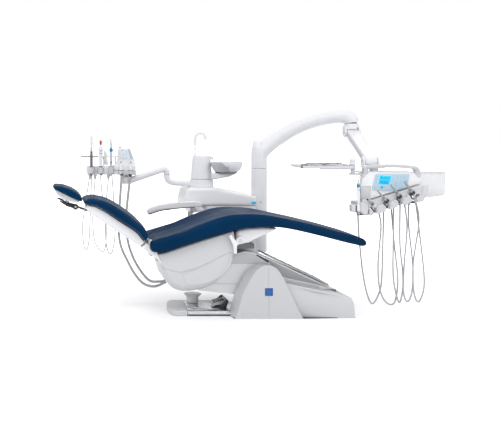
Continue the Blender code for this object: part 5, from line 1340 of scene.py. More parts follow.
BACK = [(-0.7220, 0.4510, -0.6980, 0.4730), (-0.7385, 0.4760, -0.6990, 0.5010), (-0.7660, 0.5080, -0.7290, 0.5420),
        (-0.8270, 0.5470, -0.8065, 0.6040), (-0.8850, 0.5845, -0.8700, 0.6460), (-0.9410, 0.6220, -0.9350, 0.6820),
        (-0.9980, 0.6510, -1.0000, 0.6985), (-1.0300, 0.6550, -1.0300, 0.6970), (-1.0530, 0.6580, -1.0510, 0.6930),
        (-1.0695, 0.6650, -1.0695, 0.6810)]
BACK_ROWS = [tuple(r) for r in catmull_n(BACK, 6)]


def back_section(r):
    lo, up = Vector((r[0], 0, r[1])), Vector((r[2], 0, r[3]))
    half = 0.2770 * back_narrow((r[0] + r[2]) / 2)
    near = [(half - 0.026, 0.0), (half - 0.009, 0.09), (half - 0.001, 0.30), (half - 0.0005, 0.50), (half - 0.006, 0.72),
            (half - 0.017, 0.89), (half - 0.034, 0.985), (half - 0.060, 1.0), (half * 0.5, 0.975)]
    ring = [(y, t) for y, t in near] + [(0.0, 0.955)] + [(-y, t) for y, t in reversed(near)]
    out = []
    for y, t in ring:
        p = lo.lerp(up, t)
        out.append(Vector((p.x, y, p.z)))
    return out


def back_path(side, t, dy, lo=-1.052, hi=-0.700):
    out = []
    for r in BACK_ROWS:
        a, b = Vector((r[0], 0, r[1])), Vector((r[2], 0, r[3]))
        p = a.lerp(b, t)
        if lo <= p.x <= hi:
            out.append(Vector((p.x, side * (0.2770 * back_narrow((r[0] + r[2]) / 2) + dy), p.z)))
    return out


back_top = [back_path(s, 0.90, -0.018) for s in (-1, 1)]
back_low = [back_path(s, 0.07, -0.014) for s in (-1, 1)]
BACK_PAD = soft_pad("backrest_cushion_form", loft_pad([back_section(r) for r in BACK_ROWS]), "backrest",
                    "backrest_cushion", 0.0060, back_top + back_low, 0.0080, 5.0,
                    keep=lambda co, no: (no[:, 2] < -0.55) | (no @ np.array((0.55, 0.0, -0.80)) > 0.75))
tree = surface_tree(BACK_PAD)
for tag, path in zip(("near", "far"), back_top):
    seam(f"back_top_seam_{tag}", tree, path, "backrest", r=0.0017)

HEAD_PAD = fillet([(-1.0840, 0.6690, 0.004), (-1.1730, 0.7105), (-1.2480, 0.7485, 0.004), (-1.2550, 0.7590, 0.006),
                   (-1.2430, 0.7710, 0.008), (-1.1910, 0.7670, 0.03), (-1.1380, 0.7490, 0.03), (-1.0940, 0.7190, 0.02),
                   (-1.0745, 0.6880, 0.008), (-1.0755, 0.6720, 0.004)], 0.01, 4)


def head_pad():
    rings = []
    for k in range(13):
        u = -1 + 2 * k / 12
        y = 0.1385 * math.sin(u * math.pi / 2)
        s = max(1 - abs(math.sin(u * math.pi / 2)) ** 5.0, 0.0) ** 0.5
        d = (1 - s) * 0.017
        rings.append([Vector((p[0], y, p[1])) for p in shrink(HEAD_PAD, d)])
    return loft(rings)


def head_path(side, off):
    pts = catmull([(-1.0790, 0.6820, 0), (-1.0970, 0.7170, 0), (-1.1380, 0.7460, 0), (-1.1900, 0.7640, 0),
                   (-1.2390, 0.7690, 0)], 6)
    return [Vector((p.x, side * off, p.y)) for p in pts]


head_lines = [head_path(s, 0.124) for s in (-1, 1)]
HEAD = soft_pad("headrest_cushion_form", head_pad(), "headrest", "headrest_cushion", 0.0042, head_lines, 0.0060, 5.0,
                groove=0.0016, reach=0.007, keep=lambda co, no: no @ np.array((-0.43, 0.0, -0.90)) > 0.80)
tree = surface_tree(HEAD)
for tag, path in zip(("near", "far"), head_lines):
    seam(f"head_seam_{tag}", tree, path, "headrest", r=0.0010)

# =====================================================================  doctor's table
T = "doctor_table"


def table_warp(p):
    back = min(max((p.y + 0.080) / 0.200, 0.0), 1.0)
    left = min(max((0.760 - p.x) / 0.150, 0.0), 1.0)
    return Vector((p.x + 0.062 * back * left, p.y, p.z))


plate("table_body_form", fillet([(0.6053, 0.838, 0.010), (0.5945, 0.762, 0.03), (0.5885, 0.690, 0.006),
                                 (0.6514, 0.6835, 0.006), (0.9535, 0.7765, 0.010), (0.9515, 0.838, 0.008),
                                 (0.940, 0.846, 0.006), (0.640, 0.846, 0.008)], 0.006, 5),
      -0.090, 0.120, WHITE, T, "white_shell", rim=0.010, segs=5, warp=table_warp, stands_for=("table_body",))
plate("table_crown", fillet([(0.6140, 0.8440, 0.004), (0.6250, 0.8475, 0.01), (0.9330, 0.8475, 0.01),
                             (0.9440, 0.8440, 0.004), (0.9350, 0.8390, 0.002), (0.6200, 0.8390, 0.002)], 0.003, 4),
      -0.0700, 0.1050, LIGHT, T, "grey_cover", rim=0.002, segs=3)
plate("table_side_recess", fillet([(0.5950, 0.7585, 0.003), (0.6533, 0.7585, 0.003), (0.6503, 0.6740, 0.003),
                                   (0.5880, 0.6740, 0.003)], 0.003, 4), -0.0935, -0.0880, POD, T, "grey_cover",
      rim=0.0012, segs=2)
line("table_body_seam", [(0.6010, -0.0905, 0.7620), (0.6540, -0.0905, 0.7620)], T, "white_shell", r=0.0009)
for tag, x0, x1 in (("left", 0.612, 0.6120), ("right", 0.9450, 0.9450)):
    line(f"table_corner_seam_{tag}", [(x0, -0.0895, 0.8370), (x1, -0.0895, 0.8220)], T, "white_shell", r=0.0007)
plate("table_side_vents", fillet([(0.6650, 0.8420), (0.8950, 0.8420), (0.8950, 0.8450), (0.6650, 0.8450)], 0.001, 2),
      0.1150, 0.1215, SEAM, T, "black_part", rim=0.0005, segs=2)

LIP = fillet([(0.5885, 0.6885, 0.003), (0.5845, 0.6580, 0.006), (0.6226, 0.6603, 0.006), (0.6613, 0.6365, 0.02),
              (0.7385, 0.6543, 0.02), (0.8098, 0.6840, 0.03), (0.8811, 0.7048, 0.03), (0.9168, 0.7197, 0.01),
              (0.9480, 0.7080, 0.008), (0.9545, 0.7750, 0.006), (0.6514, 0.6820, 0.05)], 0.006, 4)
plate("table_lip_form", LIP, -0.140, 0.050, LIGHT, T, "grey_cover", rim=0.0045, segs=4, warp=table_warp, stands_for=("table_lip",))
plate("table_lip_end", fillet([(0.9476, 0.7749, 0.006), (0.9790, 0.7560, 0.008), (0.9760, 0.7300, 0.02),
                               (0.9640, 0.7050, 0.02), (0.9480, 0.6750, 0.008), (0.9150, 0.6680, 0.008),
                               (0.9050, 0.6950, 0.01), (0.9300, 0.7150, 0.02)], 0.008, 5),
      -0.1450, -0.0850, LIGHT, T, "grey_cover", rim=0.006, segs=4)
plate("table_lip_end_face", fillet([(0.9490, 0.7600, 0.006), (0.9660, 0.7500, 0.008), (0.9560, 0.7130, 0.02),
                                    (0.9420, 0.6850, 0.008), (0.9270, 0.6830, 0.006), (0.9240, 0.6960, 0.008),
                                    (0.9380, 0.7150, 0.02)], 0.006, 4),
      -0.1475, -0.1440, POD, T, "grey_cover", rim=0.0012, segs=2)
tube("table_viewer_stem", catmull([(0.9600, -0.060, 0.7830), (0.9780, -0.040, 0.7860), (0.9900, 0.020, 0.7870),
                                   (0.9920, 0.0600, 0.7870)], 5), 0.0060, PAINT, T, "white_metal", sides=20,
     round_end=0.3)
PODS = {
    "pod_0": [(0.5700, 0.6700), (0.6256, 0.6700), (0.6167, 0.6008), (0.6020, 0.5961), (0.5800, 0.5997)],
    "pod_1": [(0.6215, 0.6640), (0.6589, 0.6640), (0.6541, 0.6010), (0.6400, 0.5915), (0.6260, 0.5975)],
    "pod_2": [(0.6630, 0.6500), (0.7326, 0.6700), (0.7266, 0.6216), (0.6850, 0.6014), (0.6680, 0.6056)],
    "pod_3": [(0.7385, 0.6700), (0.8039, 0.6950), (0.7979, 0.6454), (0.7563, 0.6270), (0.7430, 0.6329)],
    "pod_4": [(0.8146, 0.6950), (0.8811, 0.7150), (0.8829, 0.6793), (0.8455, 0.6519), (0.8220, 0.6579)],
}
for tag, outline in PODS.items():
    plate(f"table_{tag}", fillet(outline, 0.007, 5), -0.1500, 0.0300, POD, T, "grey_cover", rim=0.006, segs=4)
for k, (a, b) in enumerate((((0.6327, 0.6409), (0.6522, 0.6172)), ((0.7092, 0.6629), (0.7305, 0.6409)),
                            ((0.7874, 0.6890), (0.8046, 0.6670)), ((0.8610, 0.7175), (0.8806, 0.6914)))):
    plate(f"holder_slot_{k}", capsule(a, b, 0.0042, 0.0034, 6), -0.1535, -0.1440, BLACK, T, "black_part",
          rim=0.0012, segs=2)
    a, b = Vector((a[0], -0.1450, a[1])), Vector((b[0], -0.1450, b[1]))
    side = Vector((-(b - a).z, 0, (b - a).x)).normalized()
    plate(f"holder_cradle_{k}", fillet([tuple((p + side * w).xz) for p, w in
                                        ((a.lerp(b, -0.10), -0.0165), (a.lerp(b, 0.75), -0.0150),
                                         (a.lerp(b, 0.75), 0.0060), (a.lerp(b, -0.10), 0.0060))], 0.005, 4),
          -0.1530, -0.1380, LIGHT, T, "grey_cover", rim=0.003, segs=3)

HANDLE = catmull([(0.6190, -0.0700, 0.8480), (0.6205, -0.0780, 0.8610), (0.6280, -0.0900, 0.8740),
                  (0.6480, -0.1000, 0.8815), (0.7050, -0.1060, 0.8845), (0.7775, -0.1080, 0.8855),
                  (0.8500, -0.1060, 0.8820), (0.9100, -0.1000, 0.8745), (0.9330, -0.0900, 0.8660),
                  (0.9400, -0.0780, 0.8560), (0.9420, -0.0700, 0.8450)], 6)
tube("table_handle_form", HANDLE, 0.0105, SILVER, T, "silver_grip", sides=32, round_end=0.25, flat=0.85,
     stands_for=("table_handle",))
# A lighter strip along the handle's upper front: a painted highlight.
tube("table_handle_painted_highlight", [p + Vector((0, -0.0050, 0.0058)) for p in HANDLE[9:-9]], 0.0052, LIGHT, T, "silver_grip",
     sides=20, round_end=0.5)
plate("handle_foot_left", fillet([(0.6085, 0.8360, 0.004), (0.6110, 0.8760, 0.02), (0.6260, 0.8860, 0.012),
                                  (0.6500, 0.8740, 0.010), (0.6390, 0.8600, 0.012), (0.6360, 0.8360, 0.004)], 0.01, 5),
      -0.0960, -0.0560, SILVER, T, "silver_grip", rim=0.006, segs=4)
plate("handle_foot_right", fillet([(0.9210, 0.8360, 0.004), (0.9190, 0.8560, 0.012), (0.9080, 0.8660, 0.010),
                                   (0.9290, 0.8780, 0.012), (0.9480, 0.8660, 0.02), (0.9570, 0.8360, 0.006)], 0.01, 5),
      -0.0960, -0.0560, SILVER, T, "silver_grip", rim=0.006, segs=4)
plate("table_corner_left", fillet([(0.6065, 0.8400, 0.003), (0.6240, 0.8400, 0.003), (0.6190, 0.8180, 0.010),
                                   (0.6035, 0.8130, 0.004)], 0.003, 4), -0.0930, -0.0700, LIGHT, T, "grey_cover",
      rim=0.0015, segs=2)
plate("table_corner_right", fillet([(0.9150, 0.8400, 0.003), (0.9530, 0.8400, 0.003), (0.9560, 0.8130, 0.010),
                                    (0.9330, 0.8190, 0.010)], 0.003, 4), -0.0930, -0.0700, LIGHT, T, "grey_cover",
      rim=0.0015, segs=2)

PANEL = fillet([(0.6834, 0.8360, 0.004), (0.8870, 0.8360, 0.004), (0.8690, 0.7585, 0.004), (0.7970, 0.7345, 0.03),
                (0.6594, 0.7405, 0.004)], 0.004, 4)
plate("control_panel_form", PANEL, -0.0955, -0.0900, FILM, T, "panel_film", rim=0.0012, segs=3,
      stands_for=("control_panel",))
SCREEN = [(0.7063, 0.8292, 0.003), (0.7764, 0.8238, 0.003), (0.7620, 0.7717, 0.003), (0.6943, 0.7765, 0.003)]
plate("display_frame", fillet([(0.7035, 0.8318, 0.003), (0.7795, 0.8262, 0.003), (0.7642, 0.7690, 0.003),
                               (0.6908, 0.7742, 0.003)], 0.003, 3), -0.0964, -0.0950, BLUE_FILM, T, "panel_film",
      rim=0.0004, segs=2)
plate("display", fillet(SCREEN, 0.003, 4), -0.0972, -0.0960, LCD, T, "panel_film", rim=0.0003, segs=2)


def on_screen(u, v):
    """A point of the display from its lower left corner; u runs right and v up."""
    c = [Vector(p[:2]) for p in SCREEN]
    p = (c[3].lerp(c[2], u)).lerp(c[0].lerp(c[1], u), v)
    return p.x, p.y


BARS = [(0.16, 0.88, 0.10, 0.14), (0.12, 0.46, 0.20, 0.24), (0.54, 0.86, 0.20, 0.24), (0.16, 0.38, 0.30, 0.36),
        (0.46, 0.84, 0.30, 0.35), (0.16, 0.22, 0.62, 0.84), (0.30, 0.34, 0.62, 0.84), (0.44, 0.48, 0.62, 0.84),
        (0.58, 0.62, 0.62, 0.84), (0.72, 0.76, 0.62, 0.84)]
for k, (u0, u1, v0, v1) in enumerate(BARS):
    plate(f"display_bar_{k}", [on_screen(u0, v0), on_screen(u1, v0), on_screen(u1, v1), on_screen(u0, v1)],
          -0.0976, -0.0970, PLATE, T, "panel_film", rim=0.0001, segs=1)
KEYS = [(0.6918, 0.8199, 0.0026), (0.6878, 0.8036, 0.0026), (0.6847, 0.7861, 0.0030), (0.6742, 0.7553, 0.0030),
        (0.7880, 0.8212, 0.0022), (0.7845, 0.8058, 0.0022), (0.7801, 0.7927, 0.0022), (0.8113, 0.8168, 0.0032),
        (0.8069, 0.8014, 0.0026), (0.8021, 0.7817, 0.0030), (0.7999, 0.7672, 0.0028), (0.7941, 0.7500, 0.0028),
        (0.8521, 0.8155, 0.0030), (0.8715, 0.8186, 0.0022), (0.8315, 0.8006, 0.0026), (0.8653, 0.7984, 0.0028),
        (0.8289, 0.7843, 0.0030), (0.8583, 0.7817, 0.0022)]
# The cyan keys emit light: a painted glow.
for k, (x, z, r) in enumerate(KEYS):
    disc(f"panel_key_{k}", (x, -0.0952, z), (0, -1, 0), r, 0.0011, CYAN_PAINTED_GLOW, T, "panel_film", steps=20)
for k, (x, z, r) in enumerate(((0.7775, 0.7804, 0.0022), (0.7180 + 0.032, 0.7553, 0.0024))):
    disc(f"panel_key_pale_{k}", (x, -0.0952, z), (0, -1, 0), r, 0.0009, BLUE_FILM, T, "panel_film", steps=20)
plate("panel_key_pad", fillet([(0.7095, 0.7600), (0.7160, 0.7640), (0.7240, 0.7635), (0.7285, 0.7590),
                               (0.7240, 0.7490), (0.7150, 0.7480)], 0.003, 3), -0.0966, -0.0950, CYAN_PAINTED_GLOW, T,
      "panel_film", rim=0.0005, segs=2)
for k, (x0, x1) in enumerate(((0.7010, 0.7080), (0.7300, 0.7370))):
    plate(f"panel_arrow_{k}", [(x0, 0.7560), (x1, 0.7585), (x1, 0.7545)], -0.0962, -0.0950, CYAN_PAINTED_GLOW, T, "panel_film",
          rim=0.0002, segs=1)
plate("panel_dash", fillet([(0.8300, 0.8155), (0.8400, 0.8155), (0.8400, 0.8181), (0.8300, 0.8181)], 0.001, 2),
      -0.0962, -0.0950, CYAN_PAINTED_GLOW, T, "panel_film", rim=0.0003, segs=1)
plate("viewer_panel_form", fillet([(0.9870, 0.8409, 0.016), (1.1700, 0.8397, 0.016), (1.1700, 0.7083, 0.020),
                                   (1.1500, 0.6950, 0.05), (1.0617, 0.6830, 0.05), (0.9870, 0.6900, 0.010)], 0.01, 6),
      0.0602, 0.0678, CLEAR, T, "clear_panel", rim=0.0022, segs=3, stands_for=("viewer_panel",))
plate("viewer_arm_form", fillet([(0.9560, 0.7740), (1.0050, 0.7780), (1.0050, 0.7970), (0.9560, 0.8010)], 0.006, 5),
      0.0540, 0.0602, PAINT, T, "white_metal", rim=0.002, segs=3)
plate("viewer_top_rail", fillet([(0.9860, 0.8330), (1.1690, 0.8330), (1.1690, 0.8420), (0.9860, 0.8420)], 0.003, 3),
      0.0585, 0.0695, LIGHT, T, "grey_cover", rim=0.0012, segs=2)
tube("viewer_clip", catmull([(1.0600, 0.0590, 0.7620), (1.0580, 0.0560, 0.7560), (1.0520, 0.0560, 0.7520),
                             (1.0480, 0.0560, 0.7460), (1.0530, 0.0560, 0.7380), (1.0560, 0.0580, 0.7280)], 5),
     0.0022, SILVER, T, "silver_grip", sides=12, round_end=0.6)

# the syringe with its holder block, on the table's left
tube("table_syringe_form", catmull([(0.5707, -0.124, 0.622), (0.5704, -0.124, 0.650), (0.5700, -0.124, 0.690),
                                    (0.5685, -0.124, 0.735), (0.5672, -0.124, 0.762)], 6),
     [0.0072 + 0.0016 * min(i / 6, 1.0) for i in range(25)], WHITE, T, "white_metal", sides=28, round_end=0.35,
     stands_for=("table_syringe",))
tube("syringe_ring", [(0.5674, -0.124, 0.7570), (0.5670, -0.124, 0.7595), (0.5666, -0.124, 0.7740),
                      (0.5668, -0.124, 0.7765)], [0.0085, 0.0094, 0.0094, 0.0084], TEAL, T, "panel_film", sides=28)
tube("syringe_neck", [(0.5668, -0.124, 0.7765), (0.5672, -0.124, 0.7840), (0.5685, -0.124, 0.7930)],
     [0.0068, 0.0064, 0.0040], LIGHT, T, "white_metal", sides=24)
tube("syringe_tip", catmull([(0.5685, -0.124, 0.7920), (0.5710, -0.124, 0.8060), (0.5760, -0.124, 0.8240),
                             (0.5850, -0.124, 0.8400)], 5),
     [0.0034 - 0.0014 * i / 15 for i in range(16)], CHROME, T, "instrument", sides=16, round_end=0.4)
tube("syringe_stripe", [(0.5776, -0.1265, 0.6560), (0.5772, -0.1265, 0.7000), (0.5760, -0.1265, 0.7500)], 0.0024,
     BLACK, T, "black_part", sides=10, round_end=0.6)
plate("syringe_holder_form", fillet([(0.5215, 0.6130, 0.006), (0.5500, 0.6130, 0.003), (0.5500, 0.6560, 0.003),
                                     (0.5215, 0.6560, 0.006)], 0.004, 5), -0.1420, -0.0960, LIGHT, T, "grey_cover",
      rim=0.004, segs=4)
plate("syringe_holder_band", fillet([(0.5460, 0.6150), (0.5530, 0.6150), (0.5530, 0.6540), (0.5460, 0.6540)],
                                    0.002, 3), -0.1435, -0.0950, BLACK, T, "black_part", rim=0.001, segs=2)
plate("syringe_holder_socket", fillet([(0.5500, 0.6180), (0.5900, 0.6100), (0.5850, 0.6520), (0.5740, 0.6560),
                                       (0.5540, 0.6530)], 0.005, 4), -0.1390, -0.0960, WHITE, T, "white_shell",
      rim=0.004, segs=3)
tube("syringe_sleeve", [(0.5707, -0.124, 0.6240), (0.5709, -0.124, 0.6100), (0.5712, -0.123, 0.5960)],
     [0.0080, 0.0068, 0.0048], LIGHT, T, "grey_cover", sides=20)
disc("syringe_sleeve_dot", (0.5815, -0.1505, 0.6045), (0, -1, 0), 0.0030, 0.0010, DARK, T, "black_part", steps=16)

# handpieces lying in their cradles
HANDPIECES = [((0.6066, 0.6882), (0.6559, 0.6496)), ((0.6618, 0.7445), (0.7311, 0.6716)),
              ((0.7418, 0.7776), (0.8064, 0.6970)), ((0.8277, 0.7919), (0.8828, 0.7207))]
SHAPES = [
    [(0.00, 0.0040), (0.06, 0.0046), (0.20, 0.0050), (0.22, 0.0056), (0.55, 0.0062), (0.80, 0.0080), (0.84, 0.0098)],
    [(0.00, 0.0028), (0.05, 0.0036), (0.25, 0.0046), (0.50, 0.0066), (0.75, 0.0090), (0.86, 0.0100)],
    [(0.00, 0.0034), (0.05, 0.0042), (0.16, 0.0046), (0.18, 0.0052), (0.50, 0.0060), (0.72, 0.0078), (0.86, 0.0092)],
    [(0.00, 0.0050), (0.07, 0.0064), (0.14, 0.0056), (0.22, 0.0058), (0.50, 0.0070), (0.76, 0.0088), (0.86, 0.0098)],
]
for k, ((tip, tail), shape) in enumerate(zip(HANDPIECES, SHAPES)):
    a, b = Vector((tip[0], -0.170, tip[1])), Vector((tail[0], -0.156, tail[1]))
    path, radii = [], []
    for (t0, r0), (t1, r1) in zip(shape, shape[1:]):
        for j in range(3):
            path.append(a.lerp(b, t0 + (t1 - t0) * j / 3))
            radii.append(r0 + (r1 - r0) * j / 3)
    path.append(a.lerp(b, shape[-1][0]))
    radii.append(shape[-1][1])
    tube(f"handpiece_{k + 1}_form", path, radii, TOOL, T, "instrument", sides=28, round_end=0.4,
         stands_for=(f"handpiece_{k + 1}",))
    along = (b - a).normalized()
    ring = a.lerp(b, 0.90)
    tube(f"handpiece_{k + 1}_grip", [ring - along * 0.0075, ring - along * 0.0060, ring + along * 0.0060,
                                     ring + along * 0.0080], [0.0112, 0.0146, 0.0150, 0.0118],
         POD if k == 0 else BLACK, T, "black_part" if k else "grey_cover", sides=28)
    for j, t in enumerate((0.58, 0.62, 0.66)):
        ring = a.lerp(b, t)
        r = 0.0062 + 0.0022 * (t - 0.5) / 0.3 + 0.0009
        tube(f"handpiece_{k + 1}_line_{j}", [ring - along * 0.0006, ring + along * 0.0006], r, DARK, T,
             "black_part", sides=24)
    tube(f"handpiece_{k + 1}_tail", [a.lerp(b, 0.98), a.lerp(b, 1.08), a.lerp(b, 1.16) + Vector((0.001, 0.004, -0.006)),
                                     a.lerp(b, 1.20) + Vector((0.001, 0.008, -0.018))],
         [0.0074, 0.0066, 0.0056, 0.0048], HOSE, T, "hose", sides=20, round_end=0.3)
tube("handpiece_1_collar", [(0.6040, -0.1705, 0.6902), (0.6075, -0.1697, 0.6874)], 0.0056, BLACK, T, "black_part",
     sides=20, round_end=0.4)
tube("handpiece_4_head", [(0.8290, -0.1640, 0.7935), (0.8290, -0.1770, 0.7925)], 0.0064, TOOL, T, "instrument",
     sides=24, round_end=0.35)
disc("handpiece_3_ring_mark", (0.8050, -0.1535, 0.6395), (0, -1, 0), 0.0030, 0.0016, TEAL, T, "panel_film", steps=16)

# hoses in loops under the table
LOW_LIP = [(0.6122, 0.594), (0.6849, 0.600), (0.7438, 0.624), (0.8144, 0.6485), (0.8989, 0.669), (0.9322, 0.669)]
plate("table_hoses_bulkhead", fillet([*[(x, z - 0.0030) for x, z in LOW_LIP], (0.950, 0.668), (0.950, 0.654),
                                      *[(x, z - 0.0150) for x, z in reversed(LOW_LIP)]], 0.002, 2),
      -0.0120, 0.0420, DARK, T, "hose", rim=0.0015, segs=2, stands_for=("table_hoses",))
LOOPS = [
    [(0.6118, 0.5900), (0.6118, 0.5798), (0.6210, 0.4329), (0.6436, 0.2218), (0.6718, 0.0884), (0.7030, 0.0388),
     (0.7416, 0.0951), (0.7630, 0.1863), (0.7734, 0.4678), (0.7771, 0.5939), (0.7775, 0.6250)],
    [(0.7400, 0.6150), (0.7416, 0.5872), (0.7526, 0.5027), (0.7348, 0.2922), (0.7416, 0.1514), (0.7697, 0.0670),
     (0.8156, 0.0309), (0.8474, 0.0596), (0.8615, 0.1863), (0.8401, 0.3975), (0.8223, 0.6080), (0.8215, 0.6450)],
    [(0.8295, 0.6450), (0.8291, 0.6080), (0.8260, 0.3975), (0.8291, 0.1863), (0.8646, 0.0462), (0.8890, 0.1166),
     (0.8927, 0.2218), (0.8756, 0.3975), (0.8756, 0.6361), (0.8750, 0.6600)],
    [(0.8950, 0.6600), (0.8964, 0.6361), (0.9105, 0.5027), (0.8964, 0.2922), (0.8927, 0.1166), (0.9172, 0.0499),
     (0.9453, 0.1025), (0.9527, 0.2567), (0.9282, 0.5027), (0.9282, 0.6435), (0.9282, 0.6650)],
    [(0.9500, 0.6850), (0.9620, 0.6643), (0.9839, 0.5382), (0.9527, 0.2922), (0.9564, 0.1166), (0.9839, 0.0480),
     (1.0157, 0.1166), (1.0194, 0.2218), (0.9943, 0.4678), (0.9735, 0.6502), (0.9600, 0.6800)],
]
for k, loop_ in enumerate(LOOPS):
    n = len(loop_) - 1
    path = catmull([(x, 0.006 + 0.028 * i / n + (0.004 * math.sin(k + i)), z) for i, (x, z) in enumerate(loop_)], 9)
    tube(f"table_hose_{k}", path, 0.0048, HOSE, T, "hose", sides=14, round_end=0.3)
    for j in (0, len(path) - 1):
        p = path[j]
        q = path[4] if j == 0 else path[-5]
        d = (q - p).normalized()
        tube(f"table_hose_sleeve_{k}_{0 if j == 0 else 1}", [p, p + d * 0.010, p + d * 0.030], [0.0078, 0.0074, 0.0052],
             HOSE, T, "hose", sides=18)

# =====================================================================  tray
TX0, TX1, TY = 0.226, 0.554, 0.130


def tray_ring(d, z, n=6):
    r = 0.022 - d
    pts = []
    for cx, cy, a0 in ((TX1 - 0.022, TY - 0.022, 0), (TX0 + 0.022, TY - 0.022, 90), (TX0 + 0.022, -TY + 0.022, 180),
                       (TX1 - 0.022, -TY + 0.022, 270)):
        for i in range(n + 1):
            a = math.radians(a0 + 90 * i / n)
            pts.append(Vector((cx + r * math.cos(a), cy + r * math.sin(a), z)))
    return pts


TRAY = [(0.014, 0.8707), (0.006, 0.8722), (0.003, 0.8770), (0.001, 0.8860), (-0.0015, 0.8878), (-0.0020, 0.8888),
        (-0.0010, 0.8896), (0.0020, 0.8894), (0.0045, 0.8878), (0.0060, 0.8780), (0.0090, 0.8740), (0.0150, 0.8727)]
finish_piece("tray_form", mesh_of(loft([tray_ring(d, z) for d, z in TRAY]), "tray_form"), STEEL, "tray_swing", "steel",
             ("tray",), sharp=40)
plate("tray_bar_form", fillet([(0.378, -0.014, 0.004), (0.568, -0.014, 0.004), (0.568, 0.014, 0.004),
                               (0.378, 0.014, 0.004)], 0.004, 3), 0.8600, 0.8703, PAINT, "tray_swing", "white_metal",
      plane="XY", rim=0.002, segs=3, stands_for=("tray_arm",))
lathe("tray_post", soft_profile([(0, 0.8385), (0.0120, 0.8385), (0.0120, 0.8780, 0.001), (0, 0.8780)], 0.0),
      (0.576, 0, 0), PAINT, "tray_swing", "white_metal", steps=40)
lathe("tray_post_collar", soft_profile([(0, 0.8560), (0.0150, 0.8560), (0.0158, 0.8640, 0.002), (0.0150, 0.8720, 0.002),
                                        (0, 0.8720)], 0.0), (0.576, 0, 0), LIGHT, "tray_swing", "grey_cover", steps=40)
lathe("tray_post_brake", soft_profile([(0, 0.8778), (0.0100, 0.8778), (0.0108, 0.8830, 0.001), (0.0100, 0.8895, 0.001),
                                       (0, 0.8895)], 0.0), (0.576, 0, 0), BLACK, "tray_swing", "black_part", steps=32)
lathe("tray_knob_skirt", soft_profile([(0, 0.8893), (0.0205, 0.8893), (0.0225, 0.8930, 0.0015), (0.0200, 0.8990, 0.002),
                                       (0, 0.8990)], 0.0), (0.576, 0, 0), WHITE, "tray_swing", "white_shell", steps=48)
lathe("tray_knob", soft_profile([(0, 0.8988), (0.0165, 0.8988), (0.0178, 0.9050, 0.003), (0.0172, 0.9220, 0.004),
                                 (0.0120, 0.9258, 0.003), (0, 0.9260)], 0.0, 5), (0.576, 0, 0), WHITE, "tray_swing",
      "white_shell", steps=48)
for k in range(10):
    a = 2 * math.pi * k / 10
    tube(f"tray_knob_flute_{k}", [(0.576 + 0.0176 * math.cos(a), 0.0176 * math.sin(a), 0.9040),
                                  (0.576 + 0.0172 * math.cos(a), 0.0172 * math.sin(a), 0.9190)], 0.0011, LIGHT,
         "tray_swing", "grey_cover", sides=8, round_end=0.6)
tube("tray_brace", [(0.540, 0.0, 0.8760), (0.500, 0.0, 0.8800), (0.470, 0.0, 0.8760)], 0.0050, PAINT, "tray_swing",
     "white_metal", sides=16, round_end=0.4, flat=1.4)
plate("tray_stay_form", fillet([(0.5560, 0.8260, 0.004), (0.6250, 0.8260, 0.003), (0.6250, 0.8380, 0.003),
                                (0.5560, 0.8380, 0.004)], 0.004, 4), -0.0120, 0.0120, PAINT, T, "white_metal",
      rim=0.003, segs=3)

# instruments laid out in the tray
def tool(name, a, b, y, z, r, kind):
    """A hand instrument: a slim grip with two worked ends."""
    p0, p1 = Vector((a, y, z)), Vector((b, y + 0.004, z + 0.0008))
    along = (p1 - p0)
    stops = [(0.00, 0.16), (0.05, 0.22), (0.10, 0.34), (0.16, 0.50), (0.22, 0.98), (0.30, 1.0), (0.50, 0.92),
             (0.70, 1.0), (0.78, 0.98), (0.84, 0.50), (0.90, 0.34), (0.95, 0.22), (1.00, 0.14)]
    path, radii = [], []
    for t, k in stops:
        lift = 0.0035 * (kind % 3) * (max(0.0, 0.12 - t) + max(0.0, t - 0.88)) * 10
        path.append(p0 + along * t + Vector((0, 0, lift)))
        radii.append(max(r * k, 0.0006))
    tube(name, path, radii, TOOL, "tray_swing", "instrument", sides=12, round_end=0.4, sharp=60)
    for j, t in enumerate((0.34, 0.38, 0.42, 0.58, 0.62, 0.66)):
        c = p0 + along * t
        d = along.normalized() * 0.0009
        tube(f"{name}_knurl_{j}", [c - d, c + d], r * 1.06, DARK, "tray_swing", "black_part", sides=12)


for k in range(6):
    tool(f"tray_tool_{k}", 0.284 + 0.004 * (k % 3), 0.486 + 0.003 * (k % 2), -0.060 + 0.022 * k, 0.8965, 0.0032, k)
for k, (x0, x1) in enumerate(((0.276, 0.372), (0.392, 0.492))):
    plate(f"tray_rack_{k}", fillet([(x0, 0.8735, 0.002), (x1, 0.8735, 0.002), (x1 - 0.004, 0.8935, 0.003),
                                    (x0 + 0.004, 0.8935, 0.003)], 0.002, 3), 0.0700, 0.0740, STEEL, "tray_swing",
          "steel", rim=0.001, segs=2)
    plate(f"tray_rack_front_{k}", fillet([(x0, 0.8735, 0.002), (x1, 0.8735, 0.002), (x1 - 0.004, 0.8925, 0.003),
                                          (x0 + 0.004, 0.8925, 0.003)], 0.002, 3), -0.0760, -0.0720, STEEL,
          "tray_swing", "steel", rim=0.001, segs=2)
tube("tray_mirror_handle", [(0.300, -0.092, 0.8800), (0.360, -0.088, 0.8800), (0.404, -0.084, 0.8815)],
     [0.0028, 0.0030, 0.0016], TOOL, "tray_swing", "instrument", sides=12, round_end=0.5)
lathe("tray_mirror", soft_profile([(0, 0.0), (0.0105, 0.0), (0.0115, 0.0012, 0.0004), (0.0110, 0.0022, 0.0004),
                                   (0, 0.0022)], 0.0), (0.414, -0.083, 0.8820), MIRROR, "tray_swing", "instrument",
      axis=(0.15, 0.05, 1.0), steps=32)
lathe("tray_cup", soft_profile([(0, 0.8735), (0.0145, 0.8735), (0.0170, 0.8790, 0.003), (0.0180, 0.8990, 0.001),
                                (0.0170, 0.8990, 0.0004), (0.0160, 0.8795, 0.003), (0, 0.8755)], 0.0),
      (0.519, 0.085, 0), STEEL, "tray_swing", "steel", steps=40)
